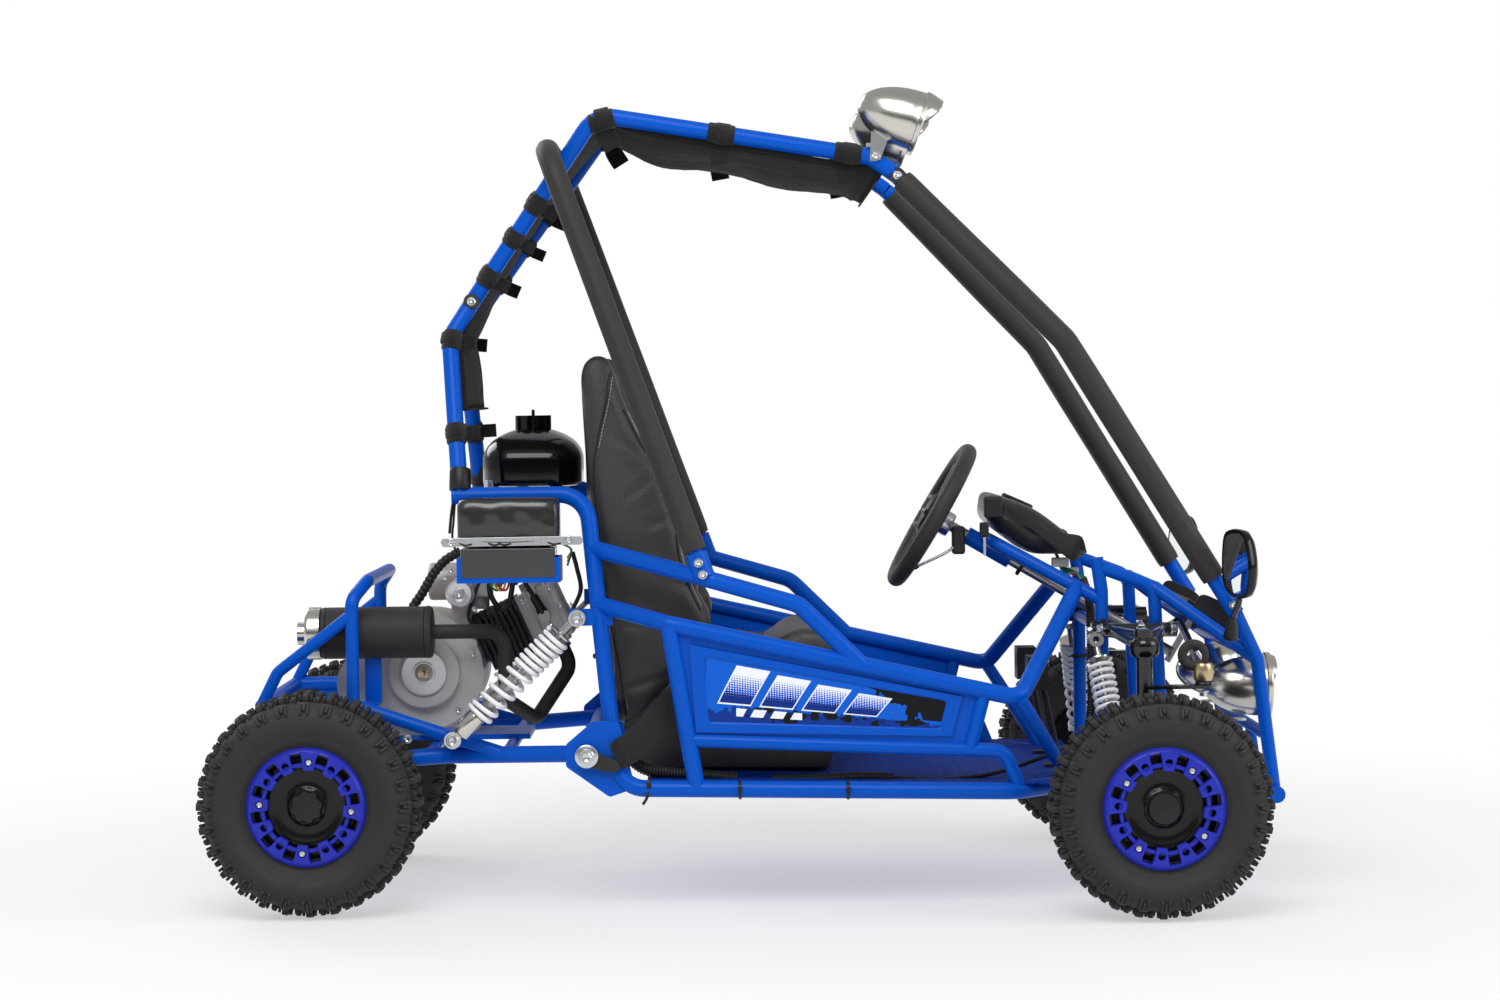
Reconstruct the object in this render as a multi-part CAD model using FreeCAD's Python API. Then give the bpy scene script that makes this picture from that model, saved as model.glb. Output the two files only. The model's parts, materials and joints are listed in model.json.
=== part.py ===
import FreeCAD, Part
import math
import os
from FreeCAD import Vector

# One seat dune buggy with a bent tube frame, a rear swing arm that carries the open engine and the
# live axle, and long kingpin struts in front. Millimetres, +X forward, +Y to the left, +Z up. The
# ground is at Z 0. Places along the length belong to the axle that they go with: what stands behind
# the driver's knees is measured forwards from the rear axle, and what stands in front of them from
# the front axle. A longer wheelbase stretches the rails, side tubes and floor between the two. The
# finished pieces are moved so that the middle of the whole length is at X 0.

# Running gear
wheelbase = 1227.0
front_track = 880.0
front_tyre_od = 323.0
rear_tyre_od = 330.0
front_tyre_width = 112.0
rear_tyre_width = 130.0
bead_od = 160.0
front_bead_width = 84.0
rear_bead_width = 96.0
lug_depth = 9.0
lug_count = 16
wall_share = 0.55
flank_share = 0.9
shoulder_share = 0.62
ring_od = 176.0
ring_bore = 118.0
ring_depth = 13.0
ring_web = 5.0
ring_rim = 7.0
ring_blocks = 12
block_root = 26.0
block_tip = 14.0
dish_od = 112.0
dish_wall = 4.0
dish_recess = 16.0
hub_od = 58.0
front_cap_od = 44.0
rear_cap_od = 50.0
cap_depth = 22.0
cap_lobes = 8
lobe_od = 13.0
front_axle_od = 17.0
rear_axle_od = 30.0
rim_wall = 4.0
rim_well = 12.0
stud_od = 9.0
stud_count = 4

# Tube sizes and clearances
main_od = 25.0
slim_od = 20.0
bar_od = 18.0
hoop_od = 22.0
bend_radius = 45.0
tight_radius = 26.0
hoop_bend = 70.0
setback_share = 0.48
sheet = 3.0
plate = 5.0
fit_gap = 0.3
run_gap = 6.0
bolt_od = 10.0

# Lower frame, rear group from the rear axle
rail_rear_lead = 450.5
rack_rear_lead = 205.5
rack_front_lead = 405.5
hoop_foot_lead = 581.5
panel_rear_lead = 527.5
panel_low_lead = 565.5
floor_rear_lead = 493.5
side_knee_lead = 717.5
side_end_lead = 808.5
rail_rear_z = 181.0
rail_front_z = 169.0
rail_half = 308.0
rack_z = 609.0
rack_half = 205.0
side_half = 330.0
side_rise_z = 529.0
hoop_foot_z = 488.0
side_knee_z = 448.0
panel_rear_z = 422.0
panel_low_z = 251.0

# Lower frame, front group from the front axle
rail_turn_back = 193.5
nose_start_back = 57.5
panel_front_back = 239.5
panel_foot_back = 261.5
valley_back = 188.5
step_back = 210.5
floor_front_back = 68.5
nose_half = 163.0
valley_z = 306.0
step_z = 229.0
bumper_ahead = 197.5
bumper_z = 151.0
bumper_half = 250.0
step_foot_share = 0.05
brace_foot_share = 0.66
panel_inset = 17.0
panel_press = 5.0

# Front frame and nose
column_back = 50.5
column_top_back = 57.5
column_top_z = 502.0
column_knee_z = 452.0
top_bar_z = 487.0
front_column_ahead = 41.5
front_corner_ahead = 28.5
front_corner_z = 457.0
dash_foot_z = 438.0
dash_nose_back = 209.5
dash_nose_z = 526.0
dash_nose_half = 88.0
dash_meet_share = 0.22
pillar_foot_ahead = 138.5
pillar_foot_z = 421.0
pillar_foot_half = 252.0
nose_knee_ahead = 170.5
nose_knee_z = 352.0
nose_knee_half = 244.0
bumper_bar_z = 238.0
bumper_post_half = 70.0
post_od = 16.0
hood_bar_shares = (0.36, 0.85)
hood_end_shares = (0.33, 0.92)
hood_half = 132.0
hood_depth = 9.0

# Cage
roof_front_back = 351.5
roof_front_z = 1078.0
roof_front_half = 176.0
roof_knee_back = 391.5
roof_knee_z = 1107.0
roof_rear_lead = 426.5
roof_rear_z = 1174.0
roof_rear_half = 186.0
back_joint_lead = 237.5
back_joint_z = 905.0
back_joint_half = 116.0
back_knee_lead = 200.5
back_knee_z = 846.0
back_knee_half = 134.0
pillar_bend_back = 108.5
pillar_bend_z = 828.0
pillar_bend_half = 232.0
pillar_foam_od = 36.0
foam_start_share = 0.03
foam_end_share = 0.13
hoop_top_lead = 353.5
hoop_top_z = 1123.0
hoop_top_half = 224.0
hoop_foam_od = 34.0
hoop_foam_share = 0.062
socket_share = 0.055
socket_od = 32.0
canopy_front_share = 0.8
canopy_drop_share = 0.62

# Lamps and mirrors
lamp_od = 93.0
lamp_depth = 90.0
lamp_rim_od = 98.0
lamp_rim_depth = 10.0
lamp_foot_share = 0.72
visor_od = 84.0
roof_visor_reach = 29.0
head_visor_reach = 18.0
roof_lamp_tilt = 20.0
roof_lamp_back = 323.0
roof_lamp_z = 1157.0
roof_bolt_back = 387.5
roof_bolt_z = 1110.0
head_lamp_ahead = 192.5
head_lamp_half = 151.0
head_lamp_z = 306.0
mirror_ahead = 131.5
mirror_z = 497.0
mirror_half = 312.0
mirror_width = 92.0
mirror_height = 104.0
mirror_depth = 14.0
mirror_edge = 5.0
mirror_foot_share = 0.35
mirror_stem_od = 9.0
boot_od = 24.0
boot_length = 30.0

# Dash, pedals, seat and floor
cowl_half = 118.0
cowl_rear_back = 218.5
cowl_rear_z = 553.0
cowl_lip_back = 216.5
cowl_lip_z = 602.0
cowl_top_back = 137.5
cowl_top_z = 573.0
cowl_front_back = 59.5
cowl_front_z = 503.0
cowl_low_back = 148.5
cowl_low_z = 503.0
cowl_round = 14.0
pedal_back = 108.5
pedal_half = 95.0
pedal_height = 120.0
seat_half = 195.0
seat_foot_lead = 449.5
seat_foot_z = 262.0
seat_waist_lead = 438.5
seat_waist_z = 357.0
seat_spine_lead = 407.5
seat_spine_z = 567.0
seat_top_lead = 395.5
seat_top_z = 794.0
seat_head_lead = 421.5
seat_head_z = 819.0
seat_back_depth = 46.0
head_depth = 24.0
bolster_width = 58.0
bolster_neck_lead = 457.5
bolster_neck_z = 763.0
bolster_lead = 523.5
bolster_z = 643.0
bolster_low_lead = 592.5
bolster_low_z = 440.0
cushion_join_lead = 601.5
cushion_join_z = 392.0
cushion_z = 330.0
cushion_front_lead = 799.5
cushion_front_z = 392.0
seat_base_z = 206.0
seat_round = 12.0
belt_width = 46.0
belt_wall = 3.0
belt_foot_lead = 520.5
belt_lap_lead = 640.5
belt_lap_z = 352.0
buckle_length = 62.0
buckle_depth = 16.0

# Steering and front suspension
column_tilt = 30.5
wheel_back = 294.5
wheel_z = 563.5
wheel_od = 250.0
grip_od = 26.0
spoke_turns = (90, 210, 330)
spoke_od = 14.0
boss_depth = 20.0
shaft_od = 16.0
shaft_length = 428.0
bush_od = 27.0
bush_start = 62.0
bush_length = 78.0
pitman_arm = 46.0
steer_arm = 85.0
kingpin_setback = 8.0
kingpin_half = 336.0
kingpin_od = 24.0
eye_od = 29.0
eye_depth = 12.0
steer_arm_z = 321.0
tie_z = 342.0
tie_od = 12.0
ball_od = 20.0
upper_arm_z = 394.0
lower_arm_z = 118.0
arm_od = 18.0
arm_sleeve_od = 22.0

# Engine, from the rear axle, and the width that it gives to the muffler, the swing arm and the track
crank_lead = 150.5
crank_z = 338.0
crank_od = 178.0
crank_half = 88.0
gear_lead = 68.5
gear_z = 318.0
gear_od = 110.0
gear_half = 68.0
cover_od = 108.0
cover_depth = 15.0
disc_cover_od = 70.0
disc_cover_depth = 5.0
nut_od = 18.0
boss_od = 11.0
boss_count = 6
cylinder_tilt = 24.0
bore_od = 64.0
fin_width = 92.0
cylinder_length = 78.0
fin_count = 9
fin_share = 0.42
head_length = 66.0
head_width = 83.0
head_height = 87.0
rib_depth = 4.0
rib_count = 3
valve_cap_od = 46.0
valve_cap_depth = 14.0
plug_od = 18.0
plug_length = 30.0
starter_od = 44.0
starter_lead = 205.5
starter_z = 457.0
cup_depth = 12.0
intake_od = 26.0
carb_width = 44.0
carb_height = 52.0
bowl_od = 34.0
bowl_depth = 22.0
filter_od = 58.0
filter_length = 54.0
pipe_od = 22.0
muffler_od = 74.0
muffler_gap = 8.0
arm_tyre_gap = 22.5
muffler_rear_lead = 1.5
muffler_front_lead = 149.5
muffler_z = 403.0
cone_length = 20.0
end_depth = 22.0
end_od = 79.0
slot_count = 8
slot_width = 5.0
tip_od = 34.0
tip_length = 13.0
pipe_drop = 42.0
pipe_dip_lead = 318.5
pipe_dip_z = 262.0
pipe_rise_lead = 277.5
pipe_rise_z = 300.0

# Swing arm and tail, from the rear axle
pivot_lead = 406.5
pivot_z = 230.0
pivot_od = 32.0
pivot_head_od = 18.0
arm_knee_lead = 188.5
arm_knee_z = 222.0
arm_end_lead = -34.5
arm_end_z = 207.0
upper_start_lead = 283.5
upper_knee_lead = 53.5
tail_z = 299.0
guard_lead = 53.5
guard_top_z = 456.0
guard_cross_lead = 73.5
guard_cross_z = 482.0
guard_cross_inset = 37.0
tail_lead = -83.5
tail_inset = 5.0
tail_rise = 50.0
tail_top_share = 0.86
bearing_od = 57.0
sprocket_gap = 40.0
pin_circle = 146.0
drive_circle = 56.0
chain_pitch = 15.875
chain_plate = 1.5
chain_height = 10.0
chain_pin_od = 4.0
chain_gap = 1.5
tooth_depth = 6.0
flank_foot_share = 0.25
tooth_tip_share = 0.42
sprocket_teeth = 32
drive_teeth = 12
sprocket_holes = 6
sprocket_hole_od = 22.0
sprocket_hub_od = 52.0
disc_od = 160.0
caliper_length = 62.0
caliper_width = 44.0

# Fuel tank, battery and shock absorbers
tank_lead = 316.5
tank_length = 145.0
tank_width = 250.0
tank_height = 78.0
tank_round = 32.0
tank_seam = 3.0
neck_od = 38.0
cap_od = 56.0
cap_height = 22.0
cap_grip_od = 12.0
vent_height = 9.0
vent_od = 5.0
battery_lead = 292.5
battery_y = -237.0
battery_length = 146.0
battery_width = 70.0
battery_low_z = 485.0
battery_top_z = 532.0
tray_height = 34.0
cover_round = 18.0
shock_top_lead = 392.5
shock_top_z = 429.0
shock_low_lead = 207.5
shock_low_z = 252.0
shock_half = 272.0
spring_od = 44.0
spring_wire = 7.0
rear_coils = 9
damper_od = 20.0
damper_rod_od = 11.0
cup_od = 34.0
spring_start_share = 0.15
barrel_share = 0.55
spring_end_share = 0.8
shock_eye_od = 24.0
front_spring_od = 40.0
front_coils = 8
lug_reach = 40.0

rear_x = -wheelbase / 2
front_x = wheelbase / 2
rear_z = rear_tyre_od / 2
axle_z = front_tyre_od / 2
pipe_y = -(crank_half + cover_depth + disc_cover_depth + muffler_od / 2 + plate)
arm_half = -pipe_y + muffler_od / 2 + muffler_gap + slim_od / 2
rear_track = 2 * (arm_half + main_od / 2 + arm_tyre_gap) + rear_tyre_width
nose_reach = front_x + bumper_ahead + main_od / 2
middle_x = (rear_x - rear_z + nose_reach) / 2
slant = (side_half - rail_half) / (panel_rear_z - rail_rear_z)


def aft(lead, y, z):
    """Point measured forwards from the rear axle."""
    return Vector(rear_x + lead, y, z)


def fore(ahead, y, z):
    """Point measured forwards from the front axle."""
    return Vector(front_x + ahead, y, z)


def between(start, end, share):
    return start + (end - start) * share


def at_height(start, end, height):
    return between(start, end, (height - start.z) / (end.z - start.z))


def at_length(start, end, x):
    return between(start, end, (x - start.x) / (end.x - start.x))


def across(spot, y):
    """The same place along and up, at another place across."""
    return Vector(spot.x, y, spot.z)


def side_y(height):
    """Half width of the slanted side at a height."""
    return side_half - slant * (panel_rear_z - height)


def route(points, radius):
    """Straight runs joined by tangent arcs at each inner point."""
    edges = []
    start = points[0]
    for before, corner, after in zip(points, points[1:], points[2:]):
        back = (before - corner).normalize()
        ahead = (after - corner).normalize()
        half_turn = (math.pi - back.getAngle(ahead)) / 2
        room = setback_share * min((before - corner).Length, (after - corner).Length)
        setback = min(radius * math.tan(half_turn), room)
        arc_start = corner + back * setback
        arc_end = corner + ahead * setback
        arc_radius = setback / math.tan(half_turn)
        reach = arc_radius / math.cos(half_turn) - arc_radius
        arc_middle = corner + (back + ahead).normalize() * reach
        edges.append(Part.makeLine(start, arc_start))
        edges.append(Part.Arc(arc_start, arc_middle, arc_end).toShape())
        start = arc_end
    edges.append(Part.makeLine(start, points[-1]))
    return Part.Wire(edges)


def tube(points, width, radius=bend_radius):
    """Round bar along a route of points."""
    path = route(points, radius)
    circle = Part.makeCircle(width / 2, points[0], points[1] - points[0])
    return path.makePipe(Part.Face(Part.Wire(circle)))


def rod(start, end, width):
    """Straight round bar between two points."""
    return Part.makeCylinder(width / 2, (end - start).Length, start, end - start)


def sleeve(start, end, outer, bore):
    """Straight round sleeve between two points."""
    return rod(start, end, outer).cut(rod(start, end, bore))


def block(low, high):
    size = high - low
    return Part.makeBox(size.x, size.y, size.z, low)


def outline(points):
    return Part.Face(Part.makePolygon(list(points) + [points[0]]))


def slab(points, depth):
    """Flat piece of an outline, thick in the direction of a vector."""
    return outline(points).extrude(depth)


def largest(shape):
    return max(shape.Solids, key=lambda solid: solid.Volume)


def seated(shape, *others):
    """The piece with its ends coped against the pieces it meets."""
    for other in others:
        shape = shape.cut(other)
    return largest(shape)


def flipped(shape):
    return shape.mirror(Vector(0, 0, 0), Vector(0, 1, 0))


def pair(*shapes):
    """Right hand solids with their mirror images."""
    return list(shapes) + [flipped(shape) for shape in shapes]


def both(*shapes):
    """Solids to cut away on both sides."""
    return pair(*shapes)


def turned(points):
    """Solid of revolution about the Y axis of an outline of places across and radii."""
    face = outline([Vector(0, y, radius) for y, radius in points])
    return face.revolve(Vector(0, 0, 0), Vector(0, 1, 0), 360)


def spun(shape, centre, axis, count):
    """Copies of a shape in a ring round an axis."""
    copies = []
    for place in range(count):
        copy = shape.copy()
        copy.rotate(centre, axis, 360 * place / count)
        copies.append(copy)
    return copies


def placed(shape, spot, tilt):
    """A shape drawn at the origin, tipped nose up and moved to its place."""
    shape.Placement = FreeCAD.Placement(spot, FreeCAD.Rotation(Vector(0, 1, 0), -tilt))
    return shape


def write(name, *shapes):
    solids = [solid for shape in shapes for solid in shape.Solids]
    for solid in solids:
        if not solid.isValid():
            print(name, "has a solid that is not valid")
    body = Part.makeCompound(solids) if len(solids) > 1 else solids[0]
    body = body.copy()
    body.translate(Vector(-middle_x, 0, 0))
    body.exportStep("parts/" + name + ".step")
    print(name, len(solids), "solids", round(body.Volume / 1000), "cm3")


os.makedirs("parts", exist_ok=True)

# Lower frame stations on the right hand side
rack_end = aft(rack_rear_lead, -rack_half, rack_z)
rack_corner = aft(rack_front_lead, -rack_half, rack_z)
rail_corner = aft(rail_rear_lead, -rail_half, rail_rear_z)
rail_turn = fore(-rail_turn_back, -rail_half, rail_front_z)
nose_start = fore(-nose_start_back, -nose_half, rail_front_z)
nose_end = fore(bumper_ahead, -nose_half, bumper_z)
side_start = at_height(rack_corner, rail_corner, side_rise_z)
hoop_foot = aft(hoop_foot_lead, -side_half, hoop_foot_z)
side_knee = aft(side_knee_lead, -side_half, side_knee_z)
panel_rear = aft(panel_rear_lead, -side_half, panel_rear_z)
valley = fore(-valley_back, -side_y(valley_z), valley_z)
panel_start = at_height(rack_corner, rail_corner, panel_rear_z + main_od)
side_end = at_length(panel_rear, valley, rear_x + side_end_lead)
dash_foot = fore(-column_back, -nose_half, dash_foot_z)
dash_nose = fore(-dash_nose_back, -dash_nose_half, dash_nose_z)
dash_meet = between(dash_foot, dash_nose, dash_meet_share)
panel_foot = at_length(rail_corner, rail_turn, rear_x + panel_low_lead)
panel_low = at_height(panel_rear, panel_foot, panel_low_z)
step = fore(-step_back, -side_y(step_z), step_z)
step_foot = between(rail_turn, nose_start, step_foot_share)
brace_foot = between(rail_turn, nose_start, brace_foot_share)
panel_front = at_length(panel_rear, valley, front_x - panel_front_back)
panel_front_foot = at_length(panel_low, step, front_x - panel_foot_back)

rail = tube([rack_end, rack_corner, rail_corner, rail_turn, nose_start, nose_end], main_od)
side_tube = seated(tube([side_start, hoop_foot, side_knee, side_end], main_od), rail)
panel_tube = seated(tube([panel_start, panel_rear, valley, dash_meet], main_od, tight_radius), rail)
side_tube = seated(side_tube, panel_tube)
panel_post = seated(rod(panel_rear, panel_foot, main_od), rail, panel_tube)
sill_tube = seated(tube([panel_low, step, step_foot], slim_od, tight_radius), rail, panel_post)
front_post = seated(rod(panel_front, panel_front_foot, slim_od), panel_tube, sill_tube)
brace = seated(rod(valley, brace_foot, slim_od), rail, panel_tube, sill_tube)

# Front frame
column_low = fore(-column_back, -nose_half, rail_front_z)
column_knee = fore(-column_back, -nose_half, column_knee_z)
column_top = fore(-column_top_back, -nose_half, column_top_z)
column = seated(tube([column_low, column_knee, column_top], slim_od), rail)
bar_start = fore(-column_back, -nose_half, top_bar_z)
corner = fore(front_corner_ahead, -nose_half, front_corner_z)
front_low = at_length(nose_start, nose_end, front_x + front_column_ahead)
front_bar = seated(tube([bar_start, corner, front_low], slim_od, tight_radius), rail, column)
dash_points = [dash_foot, dash_nose, across(dash_nose, dash_nose_half), across(dash_foot, nose_half)]
dash_hoop = seated(tube(dash_points, slim_od, tight_radius), *both(column))
panel_tube = seated(panel_tube, dash_hoop)

bumper_right = fore(bumper_ahead, -bumper_half, bumper_z)
bumper_low = rod(bumper_right, across(bumper_right, bumper_half), main_od)
rail = seated(rail, bumper_low)
pillar_foot = fore(pillar_foot_ahead, -pillar_foot_half, pillar_foot_z)
nose_knee = fore(nose_knee_ahead, -nose_knee_half, nose_knee_z)
nose_low = across(bumper_right, -bumper_half + main_od)
nose_tube = seated(tube([pillar_foot, nose_knee, nose_low], slim_od), bumper_low)
bar_spot = at_height(nose_knee, nose_low, bumper_bar_z)
bumper_bar = seated(rod(bar_spot, across(bar_spot, -bar_spot.y), bar_od), *both(nose_tube))
post_top = across(bar_spot, -bumper_post_half)
bumper_post = seated(rod(post_top, across(bumper_right, -bumper_post_half), post_od), bumper_bar, bumper_low)
nose_brace = seated(rod(corner, nose_knee, slim_od), front_bar, nose_tube)
hood_bars = []
for share in hood_bar_shares:
    spot = between(corner, nose_knee, share)
    hood_bars.append(seated(rod(spot, across(spot, -spot.y), bar_od), *both(nose_brace)))
brace_way = Vector(nose_knee.x - corner.x, 0, nose_knee.z - corner.z).normalize()
hood_up = Vector(-brace_way.z, 0, brace_way.x)
hood_rear, hood_front = [across(between(corner, nose_knee, share), -hood_half) for share in hood_end_shares]
hood_lift = hood_up * (bar_od / 2 + fit_gap)
hood_top = hood_lift + hood_up * hood_depth
hood = slab([hood_rear + hood_lift, hood_front + hood_lift, hood_front + hood_top, hood_rear + hood_top],
            Vector(0, 2 * hood_half, 0))
hood = hood.makeFillet(hood_depth / 3, [edge for edge in hood.Edges if edge.Length > hood_depth * 2])

write("lower_rails", *pair(rail))
write("side_tubes", *pair(side_tube))
write("panel_tubes", *pair(panel_tube))
write("panel_posts", *pair(panel_post.multiFuse([sill_tube, front_post]), brace))
write("front_columns", *pair(column.fuse(front_bar)))
write("hood_plate", hood)
write("bumper", bumper_low.multiFuse([bumper_bar] + pair(nose_tube, bumper_post, nose_brace) + hood_bars))

# Cage over the seat
rack_seat = at_length(rack_end, rack_corner, rack_end.x + main_od / 2)
roof_front = fore(-roof_front_back, -roof_front_half, roof_front_z)
roof_knee = fore(-roof_knee_back, -roof_front_half, roof_knee_z)
roof_rear = aft(roof_rear_lead, -roof_rear_half, roof_rear_z)
back_joint = aft(back_joint_lead, -back_joint_half, back_joint_z)
back_knee = aft(back_knee_lead, -back_knee_half, back_knee_z)
pillar_bend = fore(-pillar_bend_back, -pillar_bend_half, pillar_bend_z)

cage_route = [rack_seat, back_knee, back_joint, roof_rear, roof_knee, roof_front]
cage_tube = seated(tube(cage_route, main_od), rail)
roof_cross = []
for spot in (roof_knee, back_joint):
    roof_cross.append(seated(rod(spot, across(spot, -spot.y), slim_od), *both(cage_tube)))
pillar = seated(tube([roof_front, pillar_bend, pillar_foot], main_od), cage_tube, nose_tube)
foam_route = [between(roof_front, pillar_bend, foam_start_share), pillar_bend,
              between(pillar_foot, pillar_bend, foam_end_share)]
pillar_foam = tube(foam_route, pillar_foam_od).cut(tube(foam_route, main_od))

hoop_top = aft(hoop_top_lead, -hoop_top_half, hoop_top_z)
hoop_route = [hoop_foot, hoop_top, across(hoop_top, hoop_top_half), across(hoop_foot, side_half)]
hoop_bar = tube(hoop_route, hoop_od, hoop_bend)
foam_low = between(hoop_foot, hoop_top, hoop_foam_share)
hoop_foam_route = [foam_low, hoop_top, across(hoop_top, hoop_top_half), across(foam_low, -foam_low.y)]
hoop_foam = seated(tube(hoop_foam_route, hoop_foam_od, hoop_bend), hoop_bar)
hoop_tube = seated(hoop_bar, *both(side_tube))
socket_top = between(hoop_foot, hoop_top, socket_share)
hoop_socket = seated(sleeve(hoop_foot, socket_top, socket_od, hoop_od), side_tube)

write("cage_tubes", cage_tube.multiFuse([flipped(cage_tube)] + roof_cross))
write("cage_uprights", *pair(pillar), hoop_tube.multiFuse(pair(hoop_socket)))
write("cage_foam", hoop_foam, *pair(pillar_foam))

# Canopy between the cage tubes
canopy_end = between(back_knee, rack_seat, canopy_drop_share)
canopy_start = between(roof_knee, roof_front, canopy_front_share)
canopy_line = [canopy_start, roof_knee, roof_rear, back_joint, back_knee, canopy_end]
lower_line = []
upper_line = []
for place, spot in enumerate(canopy_line):
    before = canopy_line[max(place - 1, 0)]
    after = canopy_line[min(place + 1, len(canopy_line) - 1)]
    run = Vector(after.x - before.x, 0, after.z - before.z).normalize()
    lift = Vector(run.z, 0, -run.x) * (sheet / 2)
    lower_line.append(across(spot - lift, -side_half))
    upper_line.append(across(spot + lift, -side_half))
canopy = slab(lower_line + upper_line[::-1], Vector(0, 2 * side_half, 0))
for bar in both(cage_tube) + roof_cross:
    canopy = canopy.cut(bar)
write("canopy", *[solid for solid in canopy.Solids if abs(solid.CenterOfMass.y) < main_od])

# Pressed side panels
panel_corners = [panel_rear, panel_front, panel_front_foot, panel_low]
panel_skin = [across(spot, -side_y(spot.z)) for spot in panel_corners]
panel_centre = (panel_skin[0] + panel_skin[1] + panel_skin[2] + panel_skin[3]) / len(panel_skin)
skin = slab(panel_skin, Vector(0, sheet, 0))
press = [spot + (panel_centre - spot) * (main_od / 2 + panel_inset) * 2 / (panel_rear_z - panel_low_z)
         for spot in panel_skin]
press_back = slab(press, Vector(0, sheet + panel_press, 0))
press_back = press_back.makeFillet(panel_inset, [edge for edge in press_back.Edges
                                                 if edge.Length < 2 * (sheet + panel_press)])
pocket = slab([between(spot, panel_centre, sheet / panel_inset / 2) for spot in press],
              Vector(0, 2 * panel_press, 0))
pocket = pocket.makeFillet(panel_inset, [edge for edge in pocket.Edges if edge.Length < 3 * panel_press])
pocket = pocket.translated(Vector(0, -panel_press, 0))
skin = seated(skin.fuse(press_back).cut(pocket), panel_tube, panel_post, sill_tube, front_post)
write("side_panels", *pair(skin))

# Floor and cross tubes
floor_rise = Vector(0, 0, slim_od / 2)
floor_rear = at_length(rail_corner, rail_turn, rear_x + floor_rear_lead) + floor_rise
floor_front = at_length(rail_corner, rail_turn, front_x - floor_front_back) + floor_rise
floor = slab([floor_rear, floor_front, across(floor_front, rail_half), across(floor_rear, rail_half)],
             Vector(0, 0, sheet))
floor = seated(floor, *both(rail, panel_post, sill_tube, brace, column))
write("floor_pan", floor)

rack_bars = []
for bar_x in (rack_end.x + 2 * main_od, rack_corner.x - 2 * main_od):
    spot = at_length(rack_end, rack_corner, bar_x)
    rack_bars.append(seated(rod(spot, across(spot, rack_half), slim_od), *both(rail)))
seat_bar_spot = at_height(rack_corner, rail_corner, seat_foot_z + main_od)
seat_bar = seated(rod(seat_bar_spot, across(seat_bar_spot, -seat_bar_spot.y), slim_od), *both(rail))
under_bars = []
for under_x in (rail_corner.x + 2 * main_od, rear_x + side_end_lead):
    spot = at_length(rail_corner, rail_turn, under_x)
    under_bars.append(seated(rod(spot, across(spot, rail_half), slim_od), *both(rail)))
front_bars = []
for spot in (column_low, at_height(column_low, column_knee, upper_arm_z), across(corner, -nose_half)):
    bar = rod(spot, across(spot, nose_half), bar_od)
    front_bars.append(seated(bar, *both(rail, column, front_bar, nose_brace)))
write("cross_tubes", *rack_bars, seat_bar, *under_bars, *front_bars)

# Fuel tank on the rack
tank_low = aft(tank_lead - tank_length / 2, -tank_width / 2, rack_z + slim_od / 2)
tank_size = Vector(tank_length, tank_width, tank_height)
tank = block(tank_low, tank_low + tank_size)
tank_middle = tank_low.z + tank_height / 2
tank = tank.makeFillet(tank_round, [edge for edge in tank.Edges if edge.BoundBox.ZMax > tank_middle])
seam_low = tank_low + Vector(-sheet, -sheet, tank_height / 3)
seam = block(seam_low, seam_low + Vector(tank_length + 2 * sheet, tank_width + 2 * sheet, tank_seam))
seam = seam.makeFillet(tank_round, [edge for edge in seam.Edges if edge.Length < 2 * tank_seam])
tank_top = aft(tank_lead, 0, tank_low.z + tank_height)
neck_top = tank_top + Vector(0, 0, cap_height / 3)
cap_top = neck_top + Vector(0, 0, cap_height)
cap_edge = Vector(cap_od / 2, 0, 0)
cap_grip = rod(neck_top + cap_edge, cap_top + cap_edge, cap_grip_od)
cap_grips = Part.makeCompound(spun(cap_grip, neck_top, Vector(0, 0, 1), cap_lobes))
tank_cap = rod(neck_top, cap_top, cap_od).cut(cap_grips)
vent = rod(cap_top, cap_top + Vector(0, 0, vent_height), vent_od)
write("fuel_tank", tank.multiFuse([seam, rod(tank_top, neck_top, neck_od)]))
write("fuel_cap", tank_cap.fuse(vent))

# Battery with its tray and soft cover
battery_low = aft(battery_lead - battery_length / 2, battery_y - battery_width / 2, battery_low_z)
battery_high = battery_low + Vector(battery_length, battery_width, battery_top_z - battery_low_z)
margin = Vector(sheet, sheet, 0)
tray = block(battery_low - Vector(sheet, sheet, sheet), battery_high + margin - Vector(0, 0, battery_high.z)
             + Vector(0, 0, battery_low_z + tray_height))
tray = tray.cut(block(battery_low, battery_high))
cover = block(battery_low - margin + Vector(0, 0, battery_top_z - battery_low_z),
              battery_high + margin + Vector(0, 0, rack_z - battery_top_z))
cover = cover.makeFillet(cover_round, [edge for edge in cover.Edges if edge.BoundBox.ZMin > battery_top_z])
write("battery", block(battery_low, battery_high))
write("battery_tray", tray)
write("battery_cover", seated(cover, rail, *rack_bars))

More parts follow.
